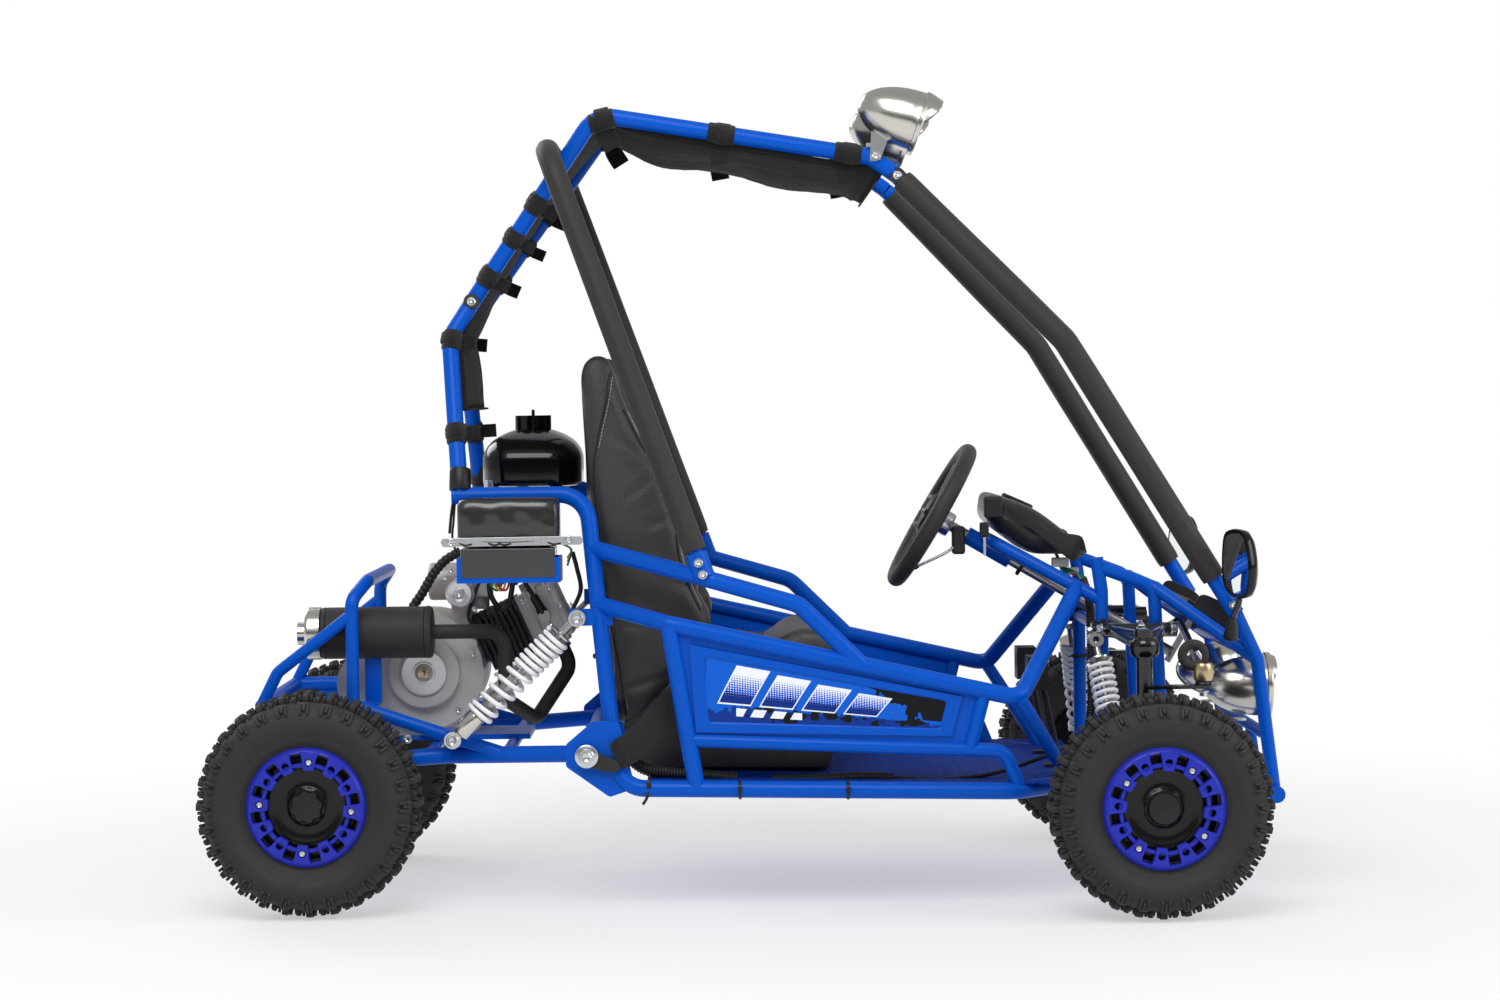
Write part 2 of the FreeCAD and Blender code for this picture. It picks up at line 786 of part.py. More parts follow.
# Seat with side bolsters, soft parts plain
seat_foot = aft(seat_foot_lead, -seat_half, seat_foot_z)
spine = [seat_foot, aft(seat_waist_lead, -seat_half, seat_waist_z),
         aft(seat_spine_lead, -seat_half, seat_spine_z), aft(seat_top_lead, -seat_half, seat_top_z),
         aft(seat_head_lead, -seat_half, seat_head_z)]
head_front = Vector(head_depth, 0, -head_depth)
pad_front = Vector(seat_back_depth, 0, 0)
pad_points = spine + [spine[-1] + head_front, spine[2] + pad_front, spine[0] + pad_front]
bolster_points = spine + [spine[-1] + head_front, aft(bolster_neck_lead, -seat_half, bolster_neck_z),
                          aft(bolster_lead, -seat_half, bolster_z),
                          aft(bolster_low_lead, -seat_half, bolster_low_z),
                          aft(cushion_join_lead, -seat_half, cushion_join_z),
                          seat_foot + Vector(bolster_width, 0, 0)]
seat_pad = slab(pad_points, Vector(0, 2 * seat_half, 0))
bolster = slab(bolster_points, Vector(0, bolster_width, 0))
seat_back = seat_pad.multiFuse(pair(bolster))
floor_top = Vector(0, 0, sheet)
base_rear = across(floor_rear + floor_top, -seat_half)
base_front = across(at_length(floor_rear, floor_front, rear_x + cushion_front_lead) + floor_top, -seat_half)
cushion_edge = aft(cushion_front_lead, -seat_half, cushion_front_z - main_od)
cushion_rear = aft(seat_foot_lead + seat_back_depth, -seat_half, cushion_z)
cushion_top = aft(cushion_front_lead - main_od, -seat_half, cushion_front_z)
cushion_points = [aft(seat_foot_lead + seat_round, -seat_half, seat_base_z), base_rear, base_front,
                  cushion_edge, cushion_top, cushion_rear, seat_foot]
seat_base = slab(cushion_points, Vector(0, 2 * seat_half, 0))
seat_base = seated(seat_base, seat_bar, floor)
seat_back = seated(seat_back, seat_base, seat_bar, *both(rail))
write("seat_back", seat_back)
write("seat_base", seat_base)

lap = aft(belt_lap_lead, -seat_half - fit_gap, belt_lap_z)
belt_foot = aft(belt_foot_lead, -seat_half - fit_gap, floor_rear.z + sheet)
belt_run = Vector(belt_width, 0, 0)
cushion_way = (cushion_top - cushion_rear).normalize()
lap_up = Vector(-cushion_way.z, 0, cushion_way.x)
lap_run = cushion_way * belt_width
lap_rise = lap_up * belt_wall
lap_low = across(at_length(cushion_rear, cushion_top, lap.x), lap.y) + lap_up * fit_gap
strap = slab([belt_foot, belt_foot + belt_run, lap_low + lap_run, lap_low], Vector(0, -belt_wall, 0))
lap_edge = lap_low - Vector(0, belt_wall, 0)
lap_belt = slab([lap_edge, lap_edge + lap_run, lap_edge + lap_run + lap_rise, lap_edge + lap_rise],
                Vector(0, -2 * lap_edge.y, 0))
buckle_foot = across(lap_edge, -buckle_length / 2) + lap_rise
buckle_rise = lap_up * buckle_depth
buckle = slab([buckle_foot, buckle_foot + lap_run, buckle_foot + lap_run + buckle_rise,
               buckle_foot + buckle_rise], Vector(0, buckle_length, 0))
belts = lap_belt.multiFuse(pair(strap) + [buckle])
write("seat_belts", seated(belts, seat_base, floor))

# Steering column, wheel and pitman
tilt = math.radians(column_tilt)
column_way = Vector(math.cos(tilt), 0, -math.sin(tilt))
column_up = Vector(math.sin(tilt), 0, math.cos(tilt))
hub = fore(-wheel_back, 0, wheel_z)
shaft_low = hub + column_way * shaft_length
bush_top = hub + column_way * bush_start
bush_low = bush_top + column_way * bush_length
grip_radius = (wheel_od - grip_od) / 2
spokes = []
for turn in spoke_turns:
    way = FreeCAD.Rotation(column_way, turn).multVec(column_up)
    spokes.append(rod(hub + way * hub_od / 4, hub + way * grip_radius, spoke_od))
boss_end = hub + column_way * boss_depth
steering_wheel = Part.makeTorus(grip_radius, grip_od / 2, hub, column_way).multiFuse(
    [rod(hub - column_way * plate, boss_end, hub_od)] + spokes)
write("steering_wheel", steering_wheel)
pitman_end = shaft_low + column_up * pitman_arm
pitman_plate = Part.makeBox(plate, 2 * shaft_od, pitman_arm + 2 * shaft_od, Vector(0, -shaft_od, -shaft_od))
pitman_plate = placed(pitman_plate, shaft_low, -column_tilt)
write("steering_shaft", rod(boss_end, shaft_low, shaft_od).fuse(pitman_plate))
bush_space = rod(bush_top, bush_low, bush_od)
dash_hoop = seated(dash_hoop, bush_space)
write("dash_hoop", dash_hoop.fuse(sleeve(bush_top, bush_low, bush_od, shaft_od + 2 * fit_gap)))

# Front suspension arms and knuckles
pin_low = fore(-kingpin_setback, -kingpin_half, lower_arm_z + eye_depth / 2)
pin_high = fore(-kingpin_setback, -kingpin_half, upper_arm_z - eye_depth / 2)
pin_space = rod(pin_low - Vector(0, 0, fit_gap), pin_high + Vector(0, 0, fit_gap), kingpin_od * 2)


def wishbone(outer, height):
    """Eye with two legs to the frame and their sleeves there."""
    parts = [rod(outer - Vector(0, 0, eye_depth), outer + Vector(0, 0, eye_depth), eye_od)]
    inner_y = -nose_half - slim_od / 2 - arm_sleeve_od / 2 - fit_gap
    for inner_x in (-column_back, front_column_ahead):
        inner = fore(inner_x, inner_y, height)
        half = Vector(arm_od, 0, 0)
        parts.append(rod(inner, outer, arm_od))
        parts.append(rod(inner - half, inner + half, arm_sleeve_od))
    arm = parts[0].multiFuse(parts[1:])
    return seated(arm, pin_space, rail, column, front_bar)


upper_arm = wishbone(fore(-kingpin_setback, -kingpin_half, upper_arm_z), upper_arm_z)
lower_arm = wishbone(fore(-kingpin_setback, -kingpin_half, lower_arm_z), rail_front_z - slim_od / 2)
write("suspension_arms", *pair(upper_arm, lower_arm))

kingpin = rod(pin_low, pin_high, kingpin_od)
wheel_centre = fore(0, -front_track / 2, axle_z)
stub_root = fore(0, -kingpin_half, axle_z)
stub_end = wheel_centre - Vector(0, front_bead_width / 2 - dish_recess, 0)
boss_half = Vector(kingpin_od / 2, 0, kingpin_od / 2)
stub_back = fore(-kingpin_setback, -kingpin_half - kingpin_od, axle_z)
stub_boss = block(stub_back - boss_half, stub_root + boss_half)
arm_ball = fore(steer_arm - kingpin_setback, -kingpin_half, steer_arm_z)
arm_half_width = Vector(0, tie_od, plate / 2)
steering_arm = block(fore(-kingpin_setback, -kingpin_half, steer_arm_z) - arm_half_width,
                     arm_ball + arm_half_width + Vector(tie_od, 0, 0))
arm_corners = [edge for edge in steering_arm.Edges
               if edge.Length < tie_od and edge.BoundBox.XMax > arm_ball.x]
steering_arm = steering_arm.makeFillet(tie_od / 2, arm_corners)
collar = rod(fore(-kingpin_setback, -kingpin_half, axle_z - kingpin_od),
             fore(-kingpin_setback, -kingpin_half, axle_z + kingpin_od), eye_od)
stub = rod(stub_root, stub_end, front_axle_od)
knuckle = kingpin.multiFuse([stub_boss, stub, steering_arm, collar])
write("knuckle_right", knuckle)
write("knuckle_left", flipped(knuckle))

rod_inner = pitman_end - column_way * (tie_od / 2 + run_gap) + Vector(0, -ball_od, 0)
rod_outer = across(arm_ball, arm_ball.y) + Vector(0, 0, tie_z - steer_arm_z)
ball_low = arm_ball + Vector(0, 0, plate / 2 + fit_gap)
ball_top = rod_outer + Vector(0, 0, tie_od / 2)
tie_rod = rod(rod_outer, rod_inner, tie_od).multiFuse([rod(ball_low, ball_top, ball_od),
                                                       Part.makeSphere(ball_od / 2, ball_top)])
write("tie_rod_right", tie_rod)
write("tie_rod_left", flipped(tie_rod))

# Rear swing arm, tail loop and guard hoop
arm_pivot = aft(pivot_lead, -rail_half + main_od, pivot_z)
pivot_end = aft(pivot_lead, -rail_half + plate / 2, pivot_z)
arm_knee = aft(arm_knee_lead, -arm_half, arm_knee_z)
arm_end = aft(arm_end_lead, -arm_half, arm_end_z)
upper_start = at_length(arm_pivot, arm_knee, rear_x + upper_start_lead)
upper_knee = aft(upper_knee_lead, -arm_half, tail_z)
tail_corner = aft(tail_lead, -arm_half + tail_inset, tail_z)
guard_low = aft(guard_lead, -arm_half, tail_z)
guard_corner = aft(guard_lead, -arm_half, guard_top_z)
guard_top = aft(guard_cross_lead, -arm_half + guard_cross_inset, guard_cross_z)
tail_top = between(guard_low, guard_corner, tail_top_share)
tail_high = tail_corner + Vector(main_od, 0, tail_rise)

pivot_bar = rod(pivot_end, across(pivot_end, -pivot_end.y), pivot_od)
swing_tube = seated(tube([arm_pivot, arm_knee, arm_end], main_od), pivot_bar)
upper_tube = seated(tube([upper_start, upper_knee, tail_corner], slim_od), swing_tube)
guard_right = [guard_low, guard_corner, guard_top]
guard_left = [across(spot, -spot.y) for spot in reversed(guard_right)]
guard = seated(tube(guard_right + guard_left, slim_od, tight_radius), *both(upper_tube))
tail_tube = seated(tube([tail_top, tail_high, tail_corner], bar_od, tight_radius), guard, upper_tube)
tail_bar = rod(tail_corner, across(tail_corner, -tail_corner.y), slim_od)
tail_bar = seated(tail_bar, *both(upper_tube, tail_tube))
swing_bars = []
swing_bar_share = main_od / (arm_knee.x - arm_end.x)
for spot in (between(arm_knee, arm_end, swing_bar_share), upper_start):
    bar = rod(spot, across(spot, -spot.y), bar_od)
    swing_bars.append(seated(bar, *both(swing_tube, upper_tube)))
axle_spot = aft(0, -arm_half, rear_z)
carrier_half = Vector(2 * main_od, plate / 2, 0)
carrier = block(axle_spot - carrier_half - Vector(0, 0, main_od),
                axle_spot + carrier_half + Vector(0, 0, tail_z - slim_od / 4 - rear_z))
carrier = carrier.makeFillet(main_od / 2, [edge for edge in carrier.Edges
                                           if edge.Length < 2 * plate and edge.BoundBox.ZMax < rear_z])
carrier = seated(carrier, swing_tube, upper_tube)
bearing_half = Vector(0, main_od / 2, 0)
bearing = seated(rod(axle_spot - bearing_half, axle_spot + bearing_half, bearing_od), swing_tube)
axle_space = rod(across(axle_spot, -rail_half), across(axle_spot, 0), rear_axle_od + 2 * fit_gap)
carrier = seated(carrier.fuse(bearing), axle_space)
swing_arm = swing_tube.multiFuse([flipped(swing_tube), pivot_bar] + pair(carrier) + swing_bars)
write("swing_arm", swing_arm)
write("tail_frame", upper_tube.multiFuse([flipped(upper_tube), tail_bar, guard] + pair(tail_tube)))

# Gusset plates that hold the swing arm pivot to the posts
gusset_y = -rail_half - plate / 2
gusset_top = across(at_height(rack_corner, rail_corner, pivot_z + 2 * main_od), gusset_y)
gusset_low = across(rail_corner, gusset_y)
gusset_eye = aft(pivot_lead - pivot_od, gusset_y, pivot_z)
gusset = slab([gusset_top - Vector(main_od, 0, 0), gusset_top + Vector(main_od / 2, 0, 0),
               gusset_low + Vector(main_od, 0, 0), gusset_low - Vector(main_od / 2, 0, main_od / 2),
               gusset_eye - Vector(0, 0, pivot_od / 2), gusset_eye + Vector(0, 0, pivot_od / 2)],
              Vector(0, plate, 0))
gusset = gusset.makeFillet(pivot_od / 4, [edge for edge in gusset.Edges if edge.Length < 2 * plate])
gusset = seated(gusset, rail)
pivot_head = seated(rod(pivot_end, across(pivot_end, -rail_half - 2 * plate), pivot_head_od), pivot_bar)
gusset = gusset.fuse(pivot_head)


def sprocket(spot, circle, teeth, hub_width, gap):
    """Toothed disc inside the chain's pin circle."""
    outer = circle / 2 - chain_height / 2 - gap
    ring = []
    for tooth in range(teeth):
        for share, depth in ((0, tooth_depth), (flank_foot_share, tooth_depth), (tooth_tip_share, 0),
                             (1 - tooth_tip_share, 0), (1 - flank_foot_share, tooth_depth)):
            angle = 2 * math.pi * (tooth + share) / teeth
            ring.append(spot + Vector(math.cos(angle), 0, math.sin(angle)) * (outer - depth))
    half = Vector(0, sheet / 2, 0)
    hub_half = Vector(0, plate, 0)
    hub = rod(spot - hub_half, spot + hub_half, hub_width)
    return slab([corner_spot - half for corner_spot in ring], half * 2).fuse(hub)


# Engine on the swing arm
crank = aft(crank_lead, 0, crank_z)
gear = aft(gear_lead, 0, gear_z)
case = rod(across(crank, -crank_half), across(crank, crank_half), crank_od)
gear_case = rod(across(gear, -gear_half), across(gear, gear_half), gear_od)
flank = Vector(crank.z - gear.z, 0, gear.x - crank.x).normalize()
crank_flank = flank * (crank_od / 2 - plate)
gear_flank = flank * (gear_od / 2 - plate)
web = slab([across(crank, -gear_half) + crank_flank, across(gear, -gear_half) + gear_flank,
            across(gear, -gear_half) - gear_flank, across(crank, -gear_half) - crank_flank],
           Vector(0, 2 * gear_half, 0))
cover_face = across(crank, -crank_half - cover_depth)
disc_face = across(crank, -crank_half - cover_depth - disc_cover_depth)
nut_face = across(crank, disc_face.y - plate)
covers = [rod(cover_face, across(crank, 0), cover_od), rod(disc_face, cover_face, disc_cover_od),
          rod(nut_face, disc_face, nut_od)]
covers.append(rod(across(crank, 0), across(crank, crank_half + cover_depth), cover_od))
boss_spot = across(crank, -crank_half - plate) + Vector(0, 0, crank_od / 2 - boss_od / 4)
covers += spun(rod(boss_spot, across(boss_spot, -gear_half), boss_od), crank, Vector(0, 1, 0), boss_count)
sprocket_y = crank_half + sprocket_gap
drive_spot = across(gear, sprocket_y)
output = rod(across(gear, 0), drive_spot, nut_od).fuse(
    sprocket(drive_spot, drive_circle, drive_teeth, nut_od + plate, 0))
plate_low = arm_knee_z + bar_od / 2
plate_high = plate_low + sheet + plate
engine_plate = block(Vector(arm_knee.x - 2 * main_od, -gear_half, plate_low),
                     Vector(upper_start.x + main_od, gear_half, plate_high))
engine_plate = seated(engine_plate, *swing_bars)
foot_half = Vector(gear_od / 2, gear_half, 0)
engine_foot = block(aft(crank_lead, 0, plate_high) - foot_half, crank + foot_half)
starter = aft(starter_lead, 0, starter_z)
starter_right = across(starter, -crank_half)
starter_case = rod(starter_right, across(starter, gear_half), starter_od)
starter_cup = rod(starter_right - Vector(0, cup_depth, 0), starter_right, starter_od - 2 * plate)
starter_foot = block(Vector(starter.x - starter_od / 3, -gear_half, crank_z),
                     Vector(starter.x + starter_od / 3, gear_half, starter_z))
engine = case.multiFuse([gear_case, web, engine_foot, output] + covers)
engine = engine.multiFuse([starter_case, starter_cup, starter_foot])
write("engine_case", engine)

lift = math.radians(cylinder_tilt)
bore_way = Vector(math.cos(lift), 0, math.sin(lift))
bore_up = Vector(-math.sin(lift), 0, math.cos(lift))
cylinder_foot = crank + bore_way * (crank_od / 2)
head_foot = cylinder_foot + bore_way * cylinder_length
cylinder = rod(crank, head_foot, bore_od)
fin_pitch = cylinder_length / fin_count
fin_depth = fin_pitch * fin_share
fins = []
for fin in range(fin_count):
    shape = Part.makeBox(fin_depth, fin_width, fin_width, Vector(0, -fin_width / 2, -fin_width / 2))
    shape = shape.makeFillet(fin_pitch, [edge for edge in shape.Edges if edge.Length < fin_pitch])
    fins.append(placed(shape, cylinder_foot + bore_way * (fin_pitch * (fin + 1) - fin_depth), cylinder_tilt))
cylinder = seated(cylinder.multiFuse(fins), engine)
write("engine_cylinder", cylinder)

head = Part.makeBox(head_length, head_width, head_height, Vector(0, -head_width / 2, -head_height / 2))
head = head.makeFillet(rib_depth * 2, [edge for edge in head.Edges if edge.BoundBox.XMin > head_length / 2])
ribs = []
for rib in range(rib_count):
    rib_half = Vector(rib_depth / 2, head_width / 2 + rib_depth, head_height / 2 + rib_depth)
    rib_spot = Vector(head_length * (rib + 1) / (rib_count + 1), 0, 0)
    ribs.append(block(rib_spot - rib_half, rib_spot + rib_half))
cap_start = Vector(head_length / 2, 0, head_height / 2)
valve_cap = rod(cap_start, cap_start + Vector(0, 0, valve_cap_depth), valve_cap_od)
plug_start = Vector(head_length / 2, -head_width / 2, 0)
plug = rod(plug_start, plug_start + Vector(0, -plug_length, 0), plug_od)
head = placed(head.multiFuse(ribs + [valve_cap, plug]), head_foot, cylinder_tilt)
write("engine_head", head)

# Intake over the cylinder
intake_start = head_foot + bore_way * head_length / 2 + bore_up * (head_height / 2 + valve_cap_depth)
carb_front = intake_start - bore_way * head_length + Vector(0, 0, intake_od)
intake_turn = intake_start + bore_up * intake_od
intake = seated(tube([intake_start - bore_up * plate, intake_turn, carb_front], intake_od, intake_od), head)
carb_half = Vector(carb_width / 2, carb_width / 2, carb_height / 2)
carb_middle = carb_front - Vector(carb_width / 2, 0, 0)
carb = block(carb_middle - carb_half, carb_middle + carb_half)
carb = carb.makeFillet(plate, carb.Edges)
bowl_top = carb_middle - Vector(0, 0, carb_height / 2 - plate)
bowl = rod(bowl_top - Vector(0, 0, bowl_depth), bowl_top, bowl_od)
filter_front = carb_middle - Vector(carb_width / 2, 0, 0)
air_filter = rod(filter_front - Vector(filter_length, 0, 0), filter_front, filter_od)
air_filter = air_filter.makeFillet(plate, air_filter.Edges)
carburettor = carb.multiFuse([intake, bowl, air_filter])
write("carburettor", seated(carburettor, engine, cylinder, head))

# Exhaust and muffler
port = head_foot + bore_way * head_length / 2 - bore_up * (head_height / 2 + rib_depth)
muffler_front = aft(muffler_front_lead, pipe_y, muffler_z)
muffler_rear = aft(muffler_rear_lead, pipe_y, muffler_z)
rise = aft(pipe_rise_lead, pipe_y, pipe_rise_z)
pipe_points = [port, port - bore_up * pipe_drop, aft(pipe_dip_lead, pipe_y / 2, pipe_dip_z), rise,
               rise + Vector(0, 0, muffler_z - pipe_rise_z), muffler_front]
muffler_nose = Part.makeCone(muffler_od / 2, pipe_od, cone_length, muffler_front, Vector(1, 0, 0))
muffler = rod(muffler_rear, muffler_front, muffler_od)
seam_ring = Vector(plate, 0, 0)
muffler = muffler.multiFuse([muffler_nose, rod(muffler_front - seam_ring, muffler_front, muffler_od + plate)])
end_rear = muffler_rear - Vector(end_depth, 0, 0)
end_cap = rod(end_rear, muffler_rear, end_od)
end_rim = [edge for edge in end_cap.Edges if edge.BoundBox.XMax < end_rear.x + plate]
end_cap = end_cap.makeFillet(plate, end_rim)
slot_low = end_rear + Vector(0, -slot_width / 2, tip_od / 2 + slot_width)
slot = block(slot_low - Vector(plate, 0, 0), slot_low + Vector(plate, slot_width, (end_od - tip_od) / 4))
end_cap = end_cap.cut(Part.makeCompound(spun(slot, end_rear, Vector(1, 0, 0), slot_count)))
tip_rear = end_rear - Vector(tip_length, 0, 0)
tip = sleeve(tip_rear, end_rear, tip_od, tip_od - 2 * sheet)
pipe = seated(tube(pipe_points, pipe_od, tight_radius), head, muffler)
write("exhaust_pipe", pipe)
write("muffler", muffler)
write("muffler_cap", end_cap.fuse(tip))


# Shock absorbers
def shock(top, low, width, coils):
    """Damper with its rod, spring cups, eyes and a coil spring."""
    way = (low - top).normalize()
    span = (low - top).Length
    start = top + way * span * spring_start_share
    end = top + way * span * spring_end_share
    middle = between(start, end, barrel_share)
    eye_half = Vector(0, shock_eye_od / 2, 0)
    parts = [rod(top, middle, damper_od), rod(middle, low, damper_rod_od)]
    parts += [rod(spot - eye_half, spot + eye_half, shock_eye_od) for spot in (top, low)]
    parts += [rod(start - way * plate, start, width + sheet), rod(end, end + way * plate, width + sheet),
              rod(end, end + way * cup_depth, cup_od)]
    height = (end - start).Length
    coil_radius = (width - spring_wire) / 2
    helix = Part.makeHelix(height / coils, height, coil_radius)
    circle = Part.makeCircle(spring_wire / 2, Vector(coil_radius, 0, 0), Vector(0, 1, 0))
    spring = Part.Wire(helix).makePipeShell([Part.Wire(circle)], True, True)
    spring.Placement = FreeCAD.Placement(start, FreeCAD.Rotation(Vector(0, 0, 1), way))
    return parts[0].multiFuse(parts[1:] + [spring])


shock_top = aft(shock_top_lead, -shock_half, shock_top_z)
shock_low = aft(shock_low_lead, -shock_half, shock_low_z)
rear_shock = seated(shock(shock_top, shock_low, spring_od, rear_coils), rail, swing_tube, panel_tube)
front_shock_top = fore(-column_back - main_od / 2, -nose_half - main_od, upper_arm_z - main_od / 2)
front_shock_low = fore(-kingpin_setback - main_od, -kingpin_half + 2 * main_od, lower_arm_z + 2 * arm_od)
front_shock = seated(shock(front_shock_top, front_shock_low, front_spring_od, front_coils),
                     column, upper_arm, lower_arm, front_bars[0], rail)
lug_y = -shock_half + shock_eye_od / 2 + fit_gap
lug_half = Vector(main_od / 2, 0, main_od / 2)
top_lug = block(across(shock_top, lug_y) - lug_half,
                across(shock_top, lug_y + plate) + lug_half + Vector(lug_reach, 0, 0))
top_lug = seated(top_lug, rail, panel_tube)
low_lug = block(across(shock_low, lug_y) - lug_half, across(shock_low, -arm_half) + lug_half)
low_lug = seated(low_lug, swing_tube, upper_tube)
hanger_spot = guard_low + Vector(main_od / 2, 0, 0)
hanger_depth = Vector(0, 0, sheet / 2)
hanger = block(across(hanger_spot, -arm_half + slim_od / 4) - hanger_depth,
               across(hanger_spot, pipe_y) + hanger_depth + Vector(main_od, 0, 0))
hanger = hanger.fuse(block(across(hanger_spot, pipe_y) - hanger_depth,
                           across(hanger_spot, pipe_y + sheet) + Vector(main_od, 0, muffler_z - tail_z)))
hanger = seated(hanger, upper_tube, muffler)
disc_y = -sprocket_y
caliper_spot = aft(disc_od / 2, disc_y, rear_z)
caliper_half = Vector(caliper_width / 2, caliper_width / 2, caliper_length / 2)
caliper = block(caliper_spot - caliper_half, caliper_spot + caliper_half)
caliper = caliper.makeFillet(plate, caliper.Edges)
disc_spot = aft(0, disc_y, rear_z)
disc_half = Vector(0, plate / 2, 0)
disc_room = Vector(0, run_gap, 0)
caliper = caliper.cut(rod(disc_spot - disc_room, disc_spot + disc_room, disc_od + 2 * run_gap))
caliper_arm = rod(caliper_spot + Vector(caliper_width / 3, 0, caliper_length / 3),
                  across(between(arm_knee, arm_end, swing_bar_share), disc_y), bar_od)
caliper = seated(caliper.fuse(caliper_arm), swing_bars[0])
write("frame_brackets", *pair(top_lug, low_lug, gusset), hanger, engine_plate, caliper)
write("shocks", *pair(rear_shock, front_shock))

# Chain drive on the left
axle_hub = aft(0, sprocket_y, rear_z)
chain_reach = Vector(drive_spot.x - axle_hub.x, 0, drive_spot.z - axle_hub.z)
chain_span = chain_reach.Length
base_angle = math.atan2(chain_reach.z, chain_reach.x)
sag_turn = math.asin((pin_circle - drive_circle) / 2 / chain_span)
large_start = base_angle + math.pi / 2 - sag_turn
large_wrap = math.pi + 2 * sag_turn
small_start = base_angle - math.pi / 2 + sag_turn
small_wrap = math.pi - 2 * sag_turn


def on_circle(hub_spot, circle, angle):
    return hub_spot + Vector(math.cos(angle), 0, math.sin(angle)) * (circle / 2)


def along_arc(hub_spot, circle, start, wrap):
    """Chain pins along the part of a sprocket that the chain lies on."""
    count = round(wrap * circle / 2 / chain_pitch)
    return [on_circle(hub_spot, circle, start + wrap * place / count) for place in range(count + 1)]


def along_run(start, end):
    """Chain pins inside a straight run."""
    count = round((end - start).Length / chain_pitch)
    return [between(start, end, place / count) for place in range(1, count)]


large_arc = along_arc(axle_hub, pin_circle, large_start, large_wrap)
small_arc = along_arc(drive_spot, drive_circle, small_start, small_wrap)
pins = large_arc + along_run(large_arc[-1], small_arc[0]) + small_arc + along_run(small_arc[-1], large_arc[0])
links = []
for place, start in enumerate(pins):
    way = (pins[(place + 1) % len(pins)] - start).normalize()
    end = pins[(place + 1) % len(pins)] + way * (chain_pin_od / 2)
    start = start - way * (chain_pin_od / 2)
    rise = Vector(-way.z, 0, way.x) * (chain_height / 2 if place % 2 else chain_height / 2 - chain_plate)
    half = Vector(0, sheet if place % 2 else sheet + chain_plate, 0)
    corners = [start - rise, end - rise, end + rise, start + rise]
    links.append(slab([corner_spot - half for corner_spot in corners], half * 2))
write("chain", seated(links[0].multiFuse(links[1:]), engine))

# Wheels, built on the right hand side about their own centre
def facet_point(place, y, radius):
    """Corner of the tyre's facets at a number of facets round the Y axis."""
    turn = 2 * math.pi * place / (2 * lug_count)
    return Vector(math.cos(turn) * radius, y, math.sin(turn) * radius)


def faceted(rings, ends):
    """Flat faced solid between rings of points, with end faces or closed from the last to the first."""
    faces = [outline(rings[0]), outline(rings[-1])] if ends else []
    followers = rings[1:] if ends else rings[1:] + rings[:1]
    for ring, following in zip(rings, followers):
        for place in range(len(ring)):
            after = (place + 1) % len(ring)
            faces.append(outline([ring[place], ring[after], following[after], following[place]]))
    shell = Part.makeShell(faces)
    shell.sewShape()
    solid = Part.makeSolid(shell)
    if solid.Volume < 0:
        solid.reverse()
    return solid


def tyre_body(centre, od, width, bead):
    """Closed tyre with two rows of tread blocks that take turns, each on one facet of the casing."""
    half = width / 2
    radius = od / 2
    shoulder = half * shoulder_share
    tread = radius - lug_depth
    wall = bead_od / 2 + (tread - bead_od / 2) * wall_share
    flank = bead_od / 2 + (wall - bead_od / 2) * wall_share
    facet_rise = 1 / math.cos(math.pi / (2 * lug_count))
    sections = [(lug_depth, tread), (shoulder, tread), (half, wall), (half * flank_share, flank),
                (bead / 2, ring_od / 2 * facet_rise), (bead / 2, bead_od / 2 * facet_rise)]
    sections += [(-y, section_radius) for y, section_radius in reversed(sections)]
    facets = range(2 * lug_count)
    body = faceted([[facet_point(place, y, section_radius) for place in facets]
                    for y, section_radius in sections], False)
    profile = [(-lug_depth, tread), (shoulder, tread), (half, wall), (half, wall + lug_depth),
               (shoulder, radius), (-lug_depth, radius)]
    blocks = []
    for place in facets:
        side = 1 if place % 2 else -1
        ends = [[facet_point(edge, side * y, lug_radius) for y, lug_radius in profile]
                for edge in (place, place + 1)]
        blocks.append(faceted(ends, True))
    return body.multiFuse(blocks).translated(centre)


def rim_body(centre, bead, hub_bore, cap_width):
    """Barrel with lips and a well, dished disc, nuts and hub cap of a right hand wheel."""
    outer = bead_od / 2
    inner = outer - rim_wall
    well = bead_od / 2 - rim_well
    face = -bead / 2
    right = [(face, outer), (face / 2, outer), (face / 3, well)]
    inside = [(face / 3, well - rim_wall), (face / 2, inner - rim_wall), (face, inner)]
    left = [(-y, radius) for y, radius in reversed(right)]
    left_inside = [(-y, radius) for y, radius in reversed(inside)]
    barrel = turned(right + left + left_inside + inside)
    dish = face + dish_recess
    disc = turned([(dish, hub_bore / 2), (dish, dish_od / 2), (face / 2 - rim_wall, inner), (face / 2, inner),
                   (face / 2 + dish_wall, inner - rim_wall), (dish + dish_wall, dish_od / 2),
                   (dish + dish_wall, hub_od / 2), (dish + hub_od / 2, hub_od / 2),
                   (dish + hub_od / 2, hub_bore / 2)])
    collar = turned([(dish, cap_width / 2), (dish - plate, cap_width / 2), (dish - plate, 0), (dish, 0)])
    stud = rod(Vector(0, dish - stud_od, dish_od / 3), Vector(0, dish, dish_od / 3), stud_od)
    studs = spun(stud, Vector(0, 0, 0), Vector(0, 1, 0), stud_count)
    cap = rod(Vector(0, dish - cap_depth, 0), Vector(0, dish - plate, 0), cap_width)
    return barrel.multiFuse([disc, collar, cap] + studs).translated(centre)


